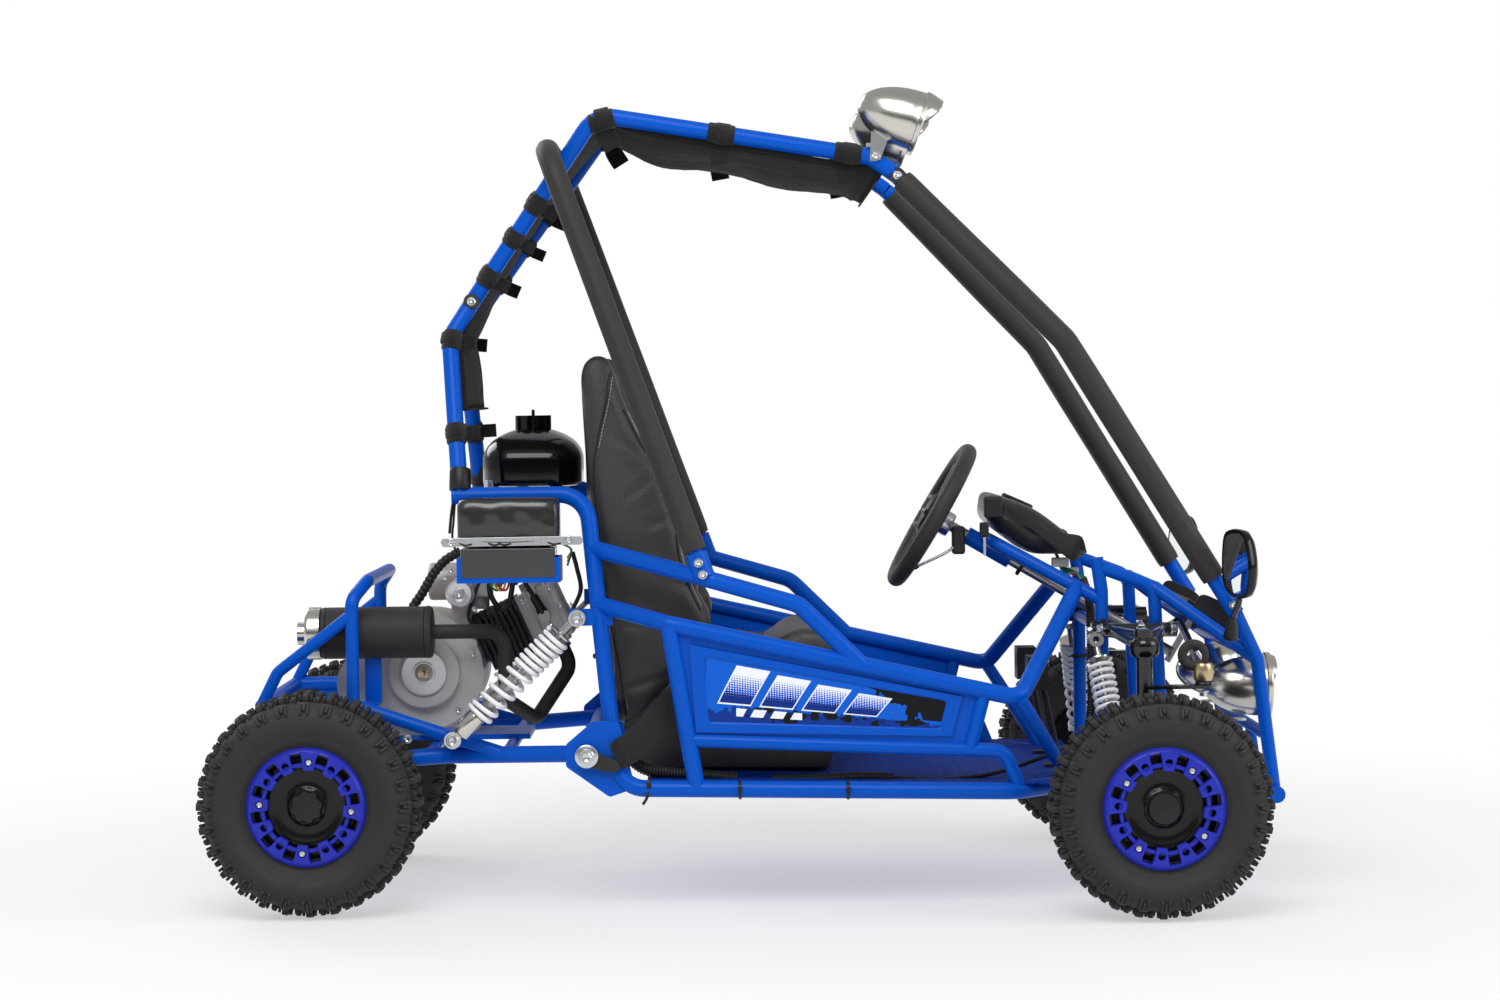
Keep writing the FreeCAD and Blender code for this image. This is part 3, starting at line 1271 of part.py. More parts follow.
def ring_body(centre, bead):
    """Bolt on ring over the outer bead, with windows between its blocks."""
    face = -bead / 2
    outer = ring_od / 2
    inner = ring_bore / 2
    rim = turned([(face, outer), (face - ring_depth, outer), (face - ring_depth, outer - ring_rim),
                  (face, outer - ring_rim)])
    bar = turned([(face - ring_web, inner), (face - ring_depth + ring_web / 2, inner),
                  (face - ring_depth + ring_web / 2, inner + ring_rim), (face - ring_web, inner + ring_rim)])
    span = outer - ring_rim / 2
    tip = inner - ring_rim
    spoke = slab([Vector(-block_tip / 2, face, tip), Vector(block_tip / 2, face, tip),
                  Vector(block_root / 2, face, span), Vector(-block_root / 2, face, span)],
                 Vector(0, -ring_depth, 0))
    spokes = spun(spoke, Vector(0, 0, 0), Vector(0, 1, 0), ring_blocks)
    return rim.multiFuse([bar] + spokes).translated(centre)


rear_centre = aft(0, -rear_track / 2, rear_z)
for side in ("right", "left"):
    turn = flipped if side == "left" else largest
    tyre = tyre_body(wheel_centre, front_tyre_od, front_tyre_width, front_bead_width)
    write("front_tyre_" + side, turn(tyre))
    rim = rim_body(wheel_centre, front_bead_width, front_axle_od + 2 * fit_gap, front_cap_od)
    rim = rim.cut(rod(stub_root, stub_end - Vector(0, fit_gap, 0), front_axle_od + 2 * fit_gap))
    write("front_rim_" + side, turn(largest(rim)))
    write("front_ring_" + side, turn(ring_body(wheel_centre, front_bead_width)))
axle_end = rear_centre + Vector(0, -rear_bead_width / 2 + dish_recess, 0)
rear_axle = rod(axle_end, across(axle_end, -axle_end.y), rear_axle_od)
rear_rim = rim_body(rear_centre, rear_bead_width, rear_axle_od, rear_cap_od)
grip_end = rear_centre + Vector(0, dish_recess - rear_bead_width / 2 - plate, rear_cap_od / 2)
grip = rod(grip_end - Vector(0, cap_depth, 0), grip_end, lobe_od)
grips = Part.makeCompound(spun(grip, rear_centre, Vector(0, 1, 0), cap_lobes))
rear_rim = seated(rear_rim, rear_axle, grips)
write("rear_tyres", *pair(tyre_body(rear_centre, rear_tyre_od, rear_tyre_width, rear_bead_width)))
write("rear_rims", *pair(rear_rim))
write("rear_rings", *pair(ring_body(rear_centre, rear_bead_width)))
write("rear_axle", rear_axle)
axle_sprocket = sprocket(axle_hub, pin_circle, sprocket_teeth, sprocket_hub_od, chain_gap)
hole_spot = axle_hub + Vector(0, -plate, (pin_circle + sprocket_hub_od) / 4)
hole = rod(hole_spot, hole_spot + Vector(0, 2 * plate, 0), sprocket_hole_od)
holes = Part.makeCompound(spun(hole, axle_hub, Vector(0, 1, 0), sprocket_holes))
write("axle_sprocket", seated(axle_sprocket, holes, rear_axle))
disc_hub = rod(disc_spot - bearing_half, disc_spot + bearing_half, sprocket_hub_od)
brake_disc = rod(disc_spot - disc_half, disc_spot + disc_half, disc_od).fuse(disc_hub)
write("brake_disc", seated(brake_disc, rear_axle))


def lamp(spot, tilt, reach):
    """Deep rounded bowl with a rim ring and a visor over its upper half, facing +X from its rim."""
    origin = Vector(0, 0, 0)
    rim_foot = Vector(0, lamp_od / 2, 0)
    curve = Part.ArcOfEllipse(Part.Ellipse(origin, lamp_depth, lamp_od / 2), math.pi / 2, math.pi).toShape()
    lines = [Part.makeLine(Vector(-lamp_depth, 0, 0), origin), Part.makeLine(origin, rim_foot)]
    bowl = Part.Face(Part.Wire([curve] + lines)).revolve(origin, Vector(1, 0, 0), 360)
    rim = rod(Vector(-lamp_rim_depth / 2, 0, 0), Vector(lamp_rim_depth / 2, 0, 0), lamp_rim_od)
    ahead = Vector(1, 0, 0)
    visor = Part.makeCone(lamp_rim_od / 2, visor_od / 2, reach, origin, ahead).cut(
        Part.makeCone(lamp_rim_od / 2 - sheet, visor_od / 2 - sheet, reach, origin, ahead))
    keep = slab([Vector(0, -lamp_rim_od, 0), Vector(0, -lamp_rim_od, lamp_rim_od),
                 Vector(reach, -lamp_rim_od, lamp_rim_od), Vector(reach, -lamp_rim_od, lamp_od / 2 - sheet),
                 Vector(reach / 3, -lamp_rim_od, 0)], Vector(0, 2 * lamp_rim_od, 0))
    return placed(bowl.multiFuse([rim, visor.common(keep)]), spot, tilt)


roof_lamp_spot = fore(-roof_lamp_back, -roof_front_half, roof_lamp_z)
roof_lamp = lamp(roof_lamp_spot, -roof_lamp_tilt, roof_visor_reach)
roof_bolt = fore(-roof_bolt_back, -roof_front_half, roof_bolt_z)
bracket = rod(roof_bolt, between(roof_bolt, roof_lamp_spot, lamp_foot_share), bar_od)
bracket = seated(bracket, roof_lamp, cage_tube, *roof_cross)
head_lamp_spot = fore(head_lamp_ahead, -head_lamp_half, head_lamp_z)
head_lamp = lamp(head_lamp_spot, 0, head_visor_reach)
head_foot_spot = across(bar_spot, -head_lamp_half)
head_post = rod(head_foot_spot, Vector(head_foot_spot.x, -head_lamp_half, head_lamp_z), post_od)
head_post = seated(head_post, head_lamp, bumper_bar)
write("lamps", *pair(roof_lamp.fuse(bracket), head_lamp.fuse(head_post)))

# Mirrors on the nose tubes
mirror_spot = fore(mirror_ahead, -mirror_half, mirror_z)
stretch = FreeCAD.Matrix()
stretch.scale(1, 1, mirror_height / mirror_width)
mirror_head = rod(mirror_spot - mirror_spot, Vector(mirror_depth, 0, 0), mirror_width)
mirror_head = mirror_head.transformGeometry(stretch)
mirror_head = mirror_head.makeFillet(mirror_edge, [edge for edge in mirror_head.Edges
                                                   if edge.BoundBox.XMin > mirror_depth / 2])
mirror_head.translate(mirror_spot)
mirror_foot = between(pillar_foot, nose_knee, mirror_foot_share)
mirror_turn = Vector(mirror_spot.x + 2 * mirror_depth, -mirror_half, mirror_foot.z - bolt_od)
mirror_back = mirror_spot + Vector(mirror_depth / 2, 0, 0)
stem_top = Vector(mirror_turn.x, -mirror_half, mirror_z - mirror_height / 4)
mirror_stem = tube([mirror_foot, mirror_turn, stem_top, mirror_back], mirror_stem_od, tight_radius)
boot = rod(mirror_turn - Vector(0, 0, boot_length / 3), mirror_turn + Vector(0, 0, boot_length), boot_od)
mirror_stem = seated(mirror_stem.fuse(boot), mirror_head, nose_tube, pillar)
write("mirrors", *pair(mirror_head.fuse(mirror_stem)))

# Cover over the dash hoop
cowl_points = [(cowl_rear_back, cowl_rear_z), (cowl_lip_back, cowl_lip_z), (cowl_top_back, cowl_top_z),
               (cowl_front_back, cowl_front_z), (cowl_low_back, cowl_low_z)]
cowl = slab([fore(-back, -cowl_half, height) for back, height in cowl_points], Vector(0, 2 * cowl_half, 0))
cowl = cowl.makeFillet(cowl_round, [edge for edge in cowl.Edges if edge.BoundBox.ZMin > cowl_low_z + main_od
                                    and edge.BoundBox.XMin > front_x - cowl_rear_back + main_od
                                    or edge.BoundBox.ZMin > cowl_top_z])
cowl = seated(cowl, dash_hoop, *both(column, panel_tube, front_bar), bush_space,
              rod(bush_low, shaft_low, shaft_od + run_gap))
write("dash_cover", cowl)

# Pedals on the floor
pedal_parts = []
for pedal_y in (-pedal_half, pedal_half):
    floor_spot = at_length(floor_rear, floor_front, front_x - pedal_back)
    low = across(floor_spot + floor_top, pedal_y)
    high = low + Vector(-main_od, 0, pedal_height)
    pad = block(high - Vector(main_od, main_od, 0), high + Vector(plate, main_od, 2 * main_od))
    foot = block(low - Vector(main_od, main_od / 2, 0), low + Vector(main_od, main_od / 2, plate))
    pedal = rod(low, high, bolt_od).multiFuse([pad, foot])
    pedal_parts.append(seated(pedal, floor))
write("pedals", *pedal_parts)
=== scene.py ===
"""Looks of a one seat dune buggy, dressed around its packed construction.

Shapes are written in millimetres from the middle of the wheelbase on the ground, +X forward, +Y to the
left and +Z up, and are moved into the frame in metres when a piece is made.
"""

import json
import logging
import math
from dataclasses import dataclass, field
from enum import Enum
from functools import partial

import bmesh
import bpy
import numpy as np
from bpy.types import Material, Mesh, Node, NodeSocket, NodeTree, Object
from mathutils import Matrix, Vector
from mathutils.bvhtree import BVHTree

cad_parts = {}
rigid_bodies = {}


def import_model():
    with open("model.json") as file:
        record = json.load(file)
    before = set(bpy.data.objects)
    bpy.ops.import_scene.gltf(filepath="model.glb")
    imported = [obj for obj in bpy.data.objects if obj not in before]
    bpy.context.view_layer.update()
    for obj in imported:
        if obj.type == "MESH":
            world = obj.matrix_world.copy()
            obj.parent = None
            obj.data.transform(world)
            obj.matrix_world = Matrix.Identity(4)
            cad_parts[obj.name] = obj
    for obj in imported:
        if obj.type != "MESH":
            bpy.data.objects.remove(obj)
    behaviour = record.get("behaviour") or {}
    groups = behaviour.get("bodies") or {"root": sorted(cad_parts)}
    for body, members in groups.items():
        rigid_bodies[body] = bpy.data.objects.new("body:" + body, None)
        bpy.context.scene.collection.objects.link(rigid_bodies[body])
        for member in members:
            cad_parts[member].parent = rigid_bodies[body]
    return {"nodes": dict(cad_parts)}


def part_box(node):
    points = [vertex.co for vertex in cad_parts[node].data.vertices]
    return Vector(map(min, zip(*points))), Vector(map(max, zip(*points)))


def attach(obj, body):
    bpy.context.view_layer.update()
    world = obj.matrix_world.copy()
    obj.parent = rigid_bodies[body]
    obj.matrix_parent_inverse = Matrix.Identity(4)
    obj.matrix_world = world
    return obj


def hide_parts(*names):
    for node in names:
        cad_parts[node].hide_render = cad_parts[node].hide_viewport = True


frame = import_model()
for spare in [o for o in bpy.data.objects if o.name in ("Cube", "Light", "Camera")]:
    bpy.data.objects.remove(spare)
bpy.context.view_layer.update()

Array = np.ndarray
Outline = tuple[tuple[float, float], ...]
Places = tuple[tuple[float, float, float], ...]
MM = 0.001
SIDES = ((-1.0, "right"), (1.0, "left"))
FULL_WAVE = 6.283
LAY_START = 120
LAY_REACH = 260
log = logging.getLogger("buggy")


def middle_of(node: str) -> Vector:
    """Middle of a construction node's box, in metres."""
    low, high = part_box(node)
    return (low + high) / 2


WHEELBASE_MIDDLE = (middle_of("front_tyre_right").x + middle_of("rear_tyres").x) / 2


def box_mm(node: str) -> tuple[Array, Array]:
    """Lowest and highest corner of a construction node in the script's millimetres."""
    low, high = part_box(node)
    return to_script(low), to_script(high)


def to_script(points: Array) -> Array:
    """Metres in the frame as the script's millimetres."""
    return (np.array(points) - np.array([WHEELBASE_MIDDLE, 0.0, 0.0])) / MM


def to_frame(points: Array) -> Array:
    """The script's millimetres as metres in the frame."""
    return np.asarray(points, float) * MM + np.array([WHEELBASE_MIDDLE, 0.0, 0.0])


# Surfaces as whole arrays


@dataclass
class Surface:
    """Points with four sided and three sided faces, before they become a mesh."""

    points: Array
    quads: Array = field(default_factory=lambda: np.zeros((0, 4), int))
    tris: Array = field(default_factory=lambda: np.zeros((0, 3), int))

    def moved(self, shift: Array) -> "Surface":
        """The same surface shifted by a vector."""
        return Surface(self.points + np.asarray(shift, float), self.quads, self.tris)

    def flipped(self) -> "Surface":
        """Mirror image in the middle plane, with its faces turned the right way again."""
        return Surface(self.points * [1, -1, 1], self.quads[:, ::-1], self.tris[:, ::-1])


def vec(x: float, y: float, z: float) -> Array:
    """A point or direction."""
    return np.array([x, y, z], float)


AHEAD, LEFT, RIGHT, UP = vec(1, 0, 0), vec(0, 1, 0), vec(0, -1, 0), vec(0, 0, 1)


def full_turn(steps: int) -> Array:
    """Angles in even steps round a full turn."""
    return np.linspace(0, 2 * np.pi, steps, endpoint=False)


def lengths(path: Array) -> Array:
    """Length along a path at each of its stations."""
    return np.concatenate([[0], np.cumsum(np.linalg.norm(np.diff(path, axis=0), axis=1))])


def at_lengths(path: Array, at: Array) -> Array:
    """Points of a path at lengths along it."""
    return np.stack([np.interp(at, lengths(path), column) for column in path.T], -1)


def resampled(path: Array, count: int) -> Array:
    """Stations at even lengths along a path."""
    return at_lengths(path, np.linspace(0, lengths(path)[-1], count))


def unit(v: Array) -> Array:
    """Vectors at length one."""
    return v / np.maximum(np.linalg.norm(v, axis=-1, keepdims=True), 1e-9)


def mix(a: Array, b: Array, share: float) -> Array:
    """Point a share of the way from a to b."""
    return np.asarray(a) + (np.asarray(b) - np.asarray(a)) * share


def joined(*surfaces: Surface) -> Surface:
    """Several surfaces as one, each keeping its own points."""
    starts = np.cumsum([0] + [len(s.points) for s in surfaces])
    return Surface(np.vstack([s.points for s in surfaces]),
                   np.vstack([s.quads + at for s, at in zip(surfaces, starts)]),
                   np.vstack([s.tris + at for s, at in zip(surfaces, starts)]))


def both(surface: Surface) -> Surface:
    """A right hand surface with its mirror image."""
    return joined(surface, surface.flipped())


def grid(points: Array, around: bool = False, along: bool = False) -> Surface:
    """Faces between neighbours of a table of points.

    Args:
        points: rows by columns by 3.
        around: each row closes on itself.
        along: the last row joins the first.

    Returns:
        The four sided surface.
    """
    rows, columns = points.shape[:2]
    index = np.arange(rows * columns).reshape(rows, columns)
    if along:
        index = np.vstack([index, index[:1]])
    if around:
        index = np.hstack([index, index[:, :1]])
    quads = np.stack([index[:-1, :-1], index[:-1, 1:], index[1:, 1:], index[1:, :-1]], -1)
    return Surface(points.reshape(-1, 3), quads.reshape(-1, 4))


def closed_ends(points: Array) -> Surface:
    """A tube of closed rows with a fan of faces from each end's centre."""
    body = grid(points, around=True)
    rows, columns = points.shape[:2]
    first = np.arange(columns)
    last = first + (rows - 1) * columns
    count = rows * columns
    fans = [np.stack([np.roll(first, -1), first, np.full(columns, count)], -1),
            np.stack([last, np.roll(last, -1), np.full(columns, count + 1)], -1)]
    middles = np.stack([points[0].mean(0), points[-1].mean(0)])
    return Surface(np.vstack([body.points, middles]), body.quads, np.vstack(fans))


def ring_profile(radius: float, sides: int = 16) -> Array:
    """Circle as rows of (across, up)."""
    angle = full_turn(sides)
    return radius * np.stack([np.cos(angle), np.sin(angle)], -1)


def flat_profile(width: float, height: float, power: float = 6.0, sides: int = 28) -> Array:
    """Flat band with rounded edges: a superellipse of a given power."""
    angle = full_turn(sides)
    c, s = np.cos(angle), np.sin(angle)
    return np.stack([width / 2 * np.sign(c) * np.abs(c) ** (2 / power),
                     height / 2 * np.sign(s) * np.abs(s) ** (2 / power)], -1)


def carried(path: Array, profile: Array, closed: bool = False, across: Array | None = None,
            scale: Array | None = None) -> Surface:
    """A profile carried along a path.

    At each station the tangent is the path's slope; the second axis is the tangent crossed with a fixed
    reference, which is the direction that the path's tangents follow least, and the third is square to
    both. Each profile point is station + first * second axis + second * third axis.

    Args:
        path: stations, n by 3.
        profile: closed outline, m by 2.
        closed: the path joins its own start.
        across: direction that the profile's first axis follows, one or one per station.
        scale: size of the profile at each station.

    Returns:
        The closed surface.
    """
    path = np.asarray(path, float)
    slope = np.roll(path, -1, 0) - np.roll(path, 1, 0) if closed else np.gradient(path, axis=0)
    tangent = unit(slope)
    if across is None:
        reference = np.linalg.svd(tangent, full_matrices=True)[2][-1]
        side = unit(np.cross(tangent, reference))
        lift = unit(np.cross(side, tangent))
    else:
        side = np.broadcast_to(across, path.shape)
        side = unit(side - (side * tangent).sum(1, keepdims=True) * tangent)
        lift = unit(np.cross(tangent, side))
    size = np.ones(len(path)) if scale is None else np.asarray(scale, float)
    flat = profile[None] * size[:, None, None]
    points = path[:, None] + flat[..., :1] * side[:, None] + flat[..., 1:] * lift[:, None]
    return grid(points, around=True, along=True) if closed else closed_ends(points)


def revolved(profile: list[tuple[float, float]], start: Array, way: Array, sides: int = 48,
             lobes: Array | None = None) -> Surface:
    """A profile turned about an axis: start + way * distance + radius * (cos, sin) of each angle.

    Args:
        profile: rows of (distance along the axis, radius).
        start: point of the axis at distance zero.
        way: direction of the axis.
        sides: steps round the axis.
        lobes: factor on the radius at each step, for scalloped or hexagonal shapes.

    Returns:
        The surface, open at its ends unless the profile starts and ends on the axis.
    """
    way = unit(np.asarray(way, float))
    side = unit(np.cross(way, UP if abs(way[2]) < 0.9 else AHEAD))
    lift = np.cross(way, side)
    angle = full_turn(sides)
    turn = np.cos(angle)[:, None] * side + np.sin(angle)[:, None] * lift
    if lobes is not None:
        turn = turn * lobes[:, None]
    table = np.asarray(profile, float)
    points = start + table[:, None, :1] * way + table[:, None, 1:] * turn[None]
    return grid(points, around=True)


def turn_to(way: Array, twist: float = 0.0) -> Array:
    """Turning matrix that carries +Z to a direction."""
    way = unit(np.asarray(way, float))
    side = unit(np.cross(LEFT if abs(way[1]) < 0.9 else AHEAD, way))
    lift = np.cross(way, side)
    c, s = math.cos(twist), math.sin(twist)
    return np.stack([side * c + lift * s, lift * c - side * s, way], -1)


def copies(surface: Surface, places: Array, turns: Array | None = None) -> Surface:
    """Copies of a surface, each turned and put at its place."""
    places = np.asarray(places, float).reshape(-1, 3)
    turns = np.broadcast_to(np.eye(3), (len(places), 3, 3)) if turns is None else np.asarray(turns)
    points = np.einsum("kij,nj->kni", turns, surface.points) + places[:, None]
    starts = np.arange(len(places))[:, None, None] * len(surface.points)
    return Surface(points.reshape(-1, 3), (surface.quads[None] + starts).reshape(-1, 4),
                   (surface.tris[None] + starts).reshape(-1, 3))


def block(low: Array, high: Array) -> Surface:
    """Box between two corners, for pieces that get a bevel."""
    low, high = np.asarray(low, float), np.asarray(high, float)
    pick = np.array([[0, 0, 0], [1, 0, 0], [1, 1, 0], [0, 1, 0], [0, 0, 1], [1, 0, 1], [1, 1, 1], [0, 1, 1]])
    faces = np.array([[3, 2, 1, 0], [4, 5, 6, 7], [0, 1, 5, 4], [1, 2, 6, 5], [2, 3, 7, 6], [3, 0, 4, 7]])
    return Surface(low + (high - low) * pick, faces)


def slab(outline: Array, depth: Array) -> Surface:
    """A flat outline given a thickness along a vector."""
    outline = np.asarray(outline, float)
    return closed_ends(np.stack([outline, outline + np.asarray(depth, float)]))


def route(points: list[Array], radius: float, step: float = 4.0) -> Array:
    """Stations along straight runs joined by tangent arcs, as the construction's tubes run.

    Args:
        points: corners of the route.
        radius: radius of the arcs, cut down where a run is short.
        step: distance between stations on an arc.

    Returns:
        Stations, n by 3.
    """
    corners = [np.asarray(p, float) for p in points]
    stations = [corners[0][None]]
    for before, corner, after in zip(corners, corners[1:], corners[2:]):
        back, ahead = unit(before - corner), unit(after - corner)
        half = (math.pi - math.acos(float(np.clip(back @ ahead, -1, 1)))) / 2
        room = 0.48 * min(np.linalg.norm(before - corner), np.linalg.norm(after - corner))
        setback = min(radius * math.tan(half), room)
        bend = setback / math.tan(half)
        centre = corner + unit(back + ahead) * bend / math.cos(half)
        start, end = corner + back * setback - centre, corner + ahead * setback - centre
        count = max(4, int(2 * half * bend / step))
        share = np.linspace(0, 1, count)[:, None]
        full = 2 * half
        arc = (np.sin((1 - share) * full) * start + np.sin(share * full) * end) / math.sin(full)
        stations.append(centre + arc)
    stations.append(corners[-1][None])
    return np.vstack(stations)


def cubic(a: Array, b: Array, c: Array, d: Array, t: Array) -> Array:
    """Smooth line from b at t = 0 to c at t = 1, with slopes (c - a) / 2 and (d - b) / 2 at its ends."""
    return 0.5 * (2 * b + (c - a) * t + (2 * a - 5 * b + 4 * c - d) * t ** 2
                  + (3 * b - 3 * c + d - a) * t ** 3)


def flowing(points: list[Array], count: int = 60) -> Array:
    """Smooth line through points: a cubic between neighbours with slopes from the points beside them."""
    p = np.asarray(points, float)
    p = np.vstack([2 * p[0] - p[1], p, 2 * p[-1] - p[-2]])
    at = np.linspace(0, len(p) - 3 - 1e-6, count)
    i = at.astype(int)
    return cubic(*(p[i + k] for k in range(4)), (at - i)[:, None])


def looped(points: Array, count: int) -> Array:
    """Closed smooth line through points, for sections that have no corner."""
    p = np.asarray(points, float)
    at = np.linspace(0, len(p), count, endpoint=False)
    i = at.astype(int)
    return cubic(*(p[(i + k) % len(p)] for k in (-1, 0, 1, 2)), (at - i)[:, None])


def ripple(points: Array, size: float, seed: int = 1, waves: int = 7) -> Array:
    """Soft uneven value from -1 to 1 at each point: a mean of sine waves in fixed scattered directions."""
    draw = np.random.default_rng(seed)
    ways = unit(draw.normal(size=(waves, 3))) * draw.uniform(0.6, 1.7, (waves, 1)) * 2 * np.pi / size
    shift = draw.uniform(0, 2 * np.pi, waves)
    return np.sin(points @ ways.T + shift).mean(-1) * 1.6


def bolts(places: list[Array], ways: list[Array] | Array, head: float = 6.5) -> Surface:
    """Flanged hexagon bolt heads, each square to the surface that it holds.

    Args:
        places: points under the heads.
        ways: direction that the heads face, one or one for each head.
        head: radius of the flange.

    Returns:
        All the heads as one surface.
    """
    flange = revolved([(0, 0), (0, head), (0.22 * head, head), (0.34 * head, 0.86 * head),
                       (0.34 * head, 0)], vec(0, 0, 0), UP, 24)
    hexagon = revolved([(0.3 * head, 0.74 * head), (0.92 * head, 0.74 * head), (1.04 * head, 0.6 * head),
                        (0.9 * head, 0.38 * head), (0.86 * head, 0)], vec(0, 0, 0), UP, 6)
    facing = np.broadcast_to(ways, (len(places), 3))
    turns = np.stack([turn_to(w, 0.4 * k) for k, w in enumerate(facing)])
    return copies(joined(flange, hexagon), np.stack(places), turns)


def bands(path: Array, radius: float, places: list[float], width: float, wall: float) -> Surface:
    """Rings round a bar, such as cable ties and straps.

    Args:
        path: the bar's middle line.
        radius: the bar's radius.
        places: shares of the path at the rings' middles.
        width: length of a ring along the bar.
        wall: thickness of a ring.

    Returns:
        All the rings as one surface.
    """
    total, made = lengths(path)[-1], []
    for share in places:
        ends = at_lengths(path, np.clip(share * total + np.array([-width / 2, width / 2]), 0, total))
        way, span = unit(ends[1] - ends[0]), float(np.linalg.norm(ends[1] - ends[0]))
        edge = min(wall, 0.2 * span)
        made.append(revolved([(0, radius), (0, radius + wall - edge * 0.5), (edge, radius + wall),
                              (span - edge, radius + wall), (span, radius + wall - edge * 0.5),
                              (span, radius)], ends[0], way, 32))
    return joined(*made)


# Shader node groups shared by the finishes


class Effect(Enum):
    """Effects that more than one finish uses."""

    TONE = "Tone"
    SMUDGE = "Smudge"
    GRAIN = "Grain"
    WEAVE = "Weave"


def new_group(name: str, inputs: list[tuple[str, str, float]], outputs: list[tuple[str, str]]):
    """An empty shader group with its sockets.

    Args:
        name: name of the group.
        inputs: name, socket type and default of each input.
        outputs: name and socket type of each output.

    Returns:
        The group with its input node and output node.
    """
    group = bpy.data.node_groups.new(name, "ShaderNodeTree")
    for label, kind, default in inputs:
        socket = group.interface.new_socket(name=label, in_out="INPUT", socket_type=kind)
        if kind == "NodeSocketFloat":
            socket.default_value = default
    for label, kind in outputs:
        group.interface.new_socket(name=label, in_out="OUTPUT", socket_type=kind)
    return group, group.nodes.new("NodeGroupInput"), group.nodes.new("NodeGroupOutput")


def math_node(tree: NodeTree, kind: str, *values: object) -> NodeSocket:
    """A Math node whose inputs are sockets or numbers, and its result."""
    node = tree.nodes.new("ShaderNodeMath")
    node.operation = kind
    for place, value in enumerate(values):
        if isinstance(value, (int, float)):
            node.inputs[place].default_value = value
        else:
            tree.links.new(value, node.inputs[place])
    return node.outputs[0]


def calculators(tree: NodeTree, *kinds: str) -> list[partial]:
    """A function for each kind of Math node, which takes sockets or numbers."""
    return [partial(math_node, tree, kind) for kind in kinds]


def noise_node(tree: NodeTree, vector: NodeSocket, scale: object, detail: float) -> NodeSocket:
    """A Noise texture's value at a scale that is a number or a socket."""
    node = tree.nodes.new("ShaderNodeTexNoise")
    node.inputs["Detail"].default_value = detail
    tree.links.new(vector, node.inputs["Vector"])
    if isinstance(scale, (int, float)):
        node.inputs["Scale"].default_value = scale
    else:
        tree.links.new(scale, node.inputs["Scale"])
    return node.outputs["Fac"]


def tone_group() -> NodeTree:
    """Colour that drifts a little over the surface and greys where dust lies on upward faces."""
    group, given, made = new_group(
        Effect.TONE.value,
        [("Vector", "NodeSocketVector", 0), ("Color", "NodeSocketColor", 0),
         ("Drift", "NodeSocketFloat", 0.1), ("Scale", "NodeSocketFloat", 8),
         ("Dust", "NodeSocketFloat", 0.05)],
        [("Color", "NodeSocketColor")])
    links = group.links
    times, plus, less, most = calculators(group, "MULTIPLY", "ADD", "SUBTRACT", "MAXIMUM")
    slow = noise_node(group, given.outputs["Vector"], given.outputs["Scale"], 4.0)
    value = plus(times(times(less(slow, 0.5), given.outputs["Drift"]), 2.0), 1.0)
    shade = group.nodes.new("ShaderNodeHueSaturation")
    links.new(given.outputs["Color"], shade.inputs["Color"])
    links.new(value, shade.inputs["Value"])
    shape = group.nodes.new("ShaderNodeNewGeometry")
    split = group.nodes.new("ShaderNodeSeparateXYZ")
    links.new(shape.outputs["Normal"], split.inputs[0])
    upward = most(split.outputs["Z"], 0.0)
    fine = noise_node(group, given.outputs["Vector"], 60.0, 6.0)
    dust = times(times(upward, fine), given.outputs["Dust"])
    blend = group.nodes.new("ShaderNodeMix")
    blend.data_type = "RGBA"
    links.new(dust, blend.inputs["Factor"])
    links.new(shade.outputs["Color"], blend.inputs["A"])
    blend.inputs["B"].default_value = (0.36, 0.35, 0.34, 1)
    links.new(blend.outputs["Result"], made.inputs["Color"])
    return group


def smudge_group() -> NodeTree:
    """Roughness that changes in soft patches and fine wipes."""
    group, given, made = new_group(
        Effect.SMUDGE.value,
        [("Vector", "NodeSocketVector", 0), ("Roughness", "NodeSocketFloat", 0.4),
         ("Amount", "NodeSocketFloat", 0.1), ("Scale", "NodeSocketFloat", 20)],
        [("Roughness", "NodeSocketFloat")])
    times, plus, less, most, least = calculators(group, "MULTIPLY", "ADD", "SUBTRACT", "MAXIMUM", "MINIMUM")
    patch = noise_node(group, given.outputs["Vector"], given.outputs["Scale"], 5.0)
    swing = times(less(patch, 0.45), given.outputs["Amount"])
    value = plus(given.outputs["Roughness"], times(swing, 2.0))
    group.links.new(least(most(value, 0.02), 1.0), made.inputs["Roughness"])
    return group


def grain_group() -> NodeTree:
    """Height of a fine moulded, cast or leather grain: cells broken up by noise."""
    group, given, made = new_group(
        Effect.GRAIN.value,
        [("Vector", "NodeSocketVector", 0), ("Scale", "NodeSocketFloat", 400),
         ("Cells", "NodeSocketFloat", 0.5)],
        [("Height", "NodeSocketFloat")])
    fine = noise_node(group, given.outputs["Vector"], given.outputs["Scale"], 8.0)
    cells = group.nodes.new("ShaderNodeTexVoronoi")
    cells.feature = "DISTANCE_TO_EDGE"
    group.links.new(given.outputs["Vector"], cells.inputs["Vector"])
    group.links.new(given.outputs["Scale"], cells.inputs["Scale"])
    times, plus = calculators(group, "MULTIPLY", "ADD")
    edge = times(cells.outputs["Distance"], given.outputs["Cells"])
    group.links.new(plus(fine, edge), made.inputs["Height"])
    return group


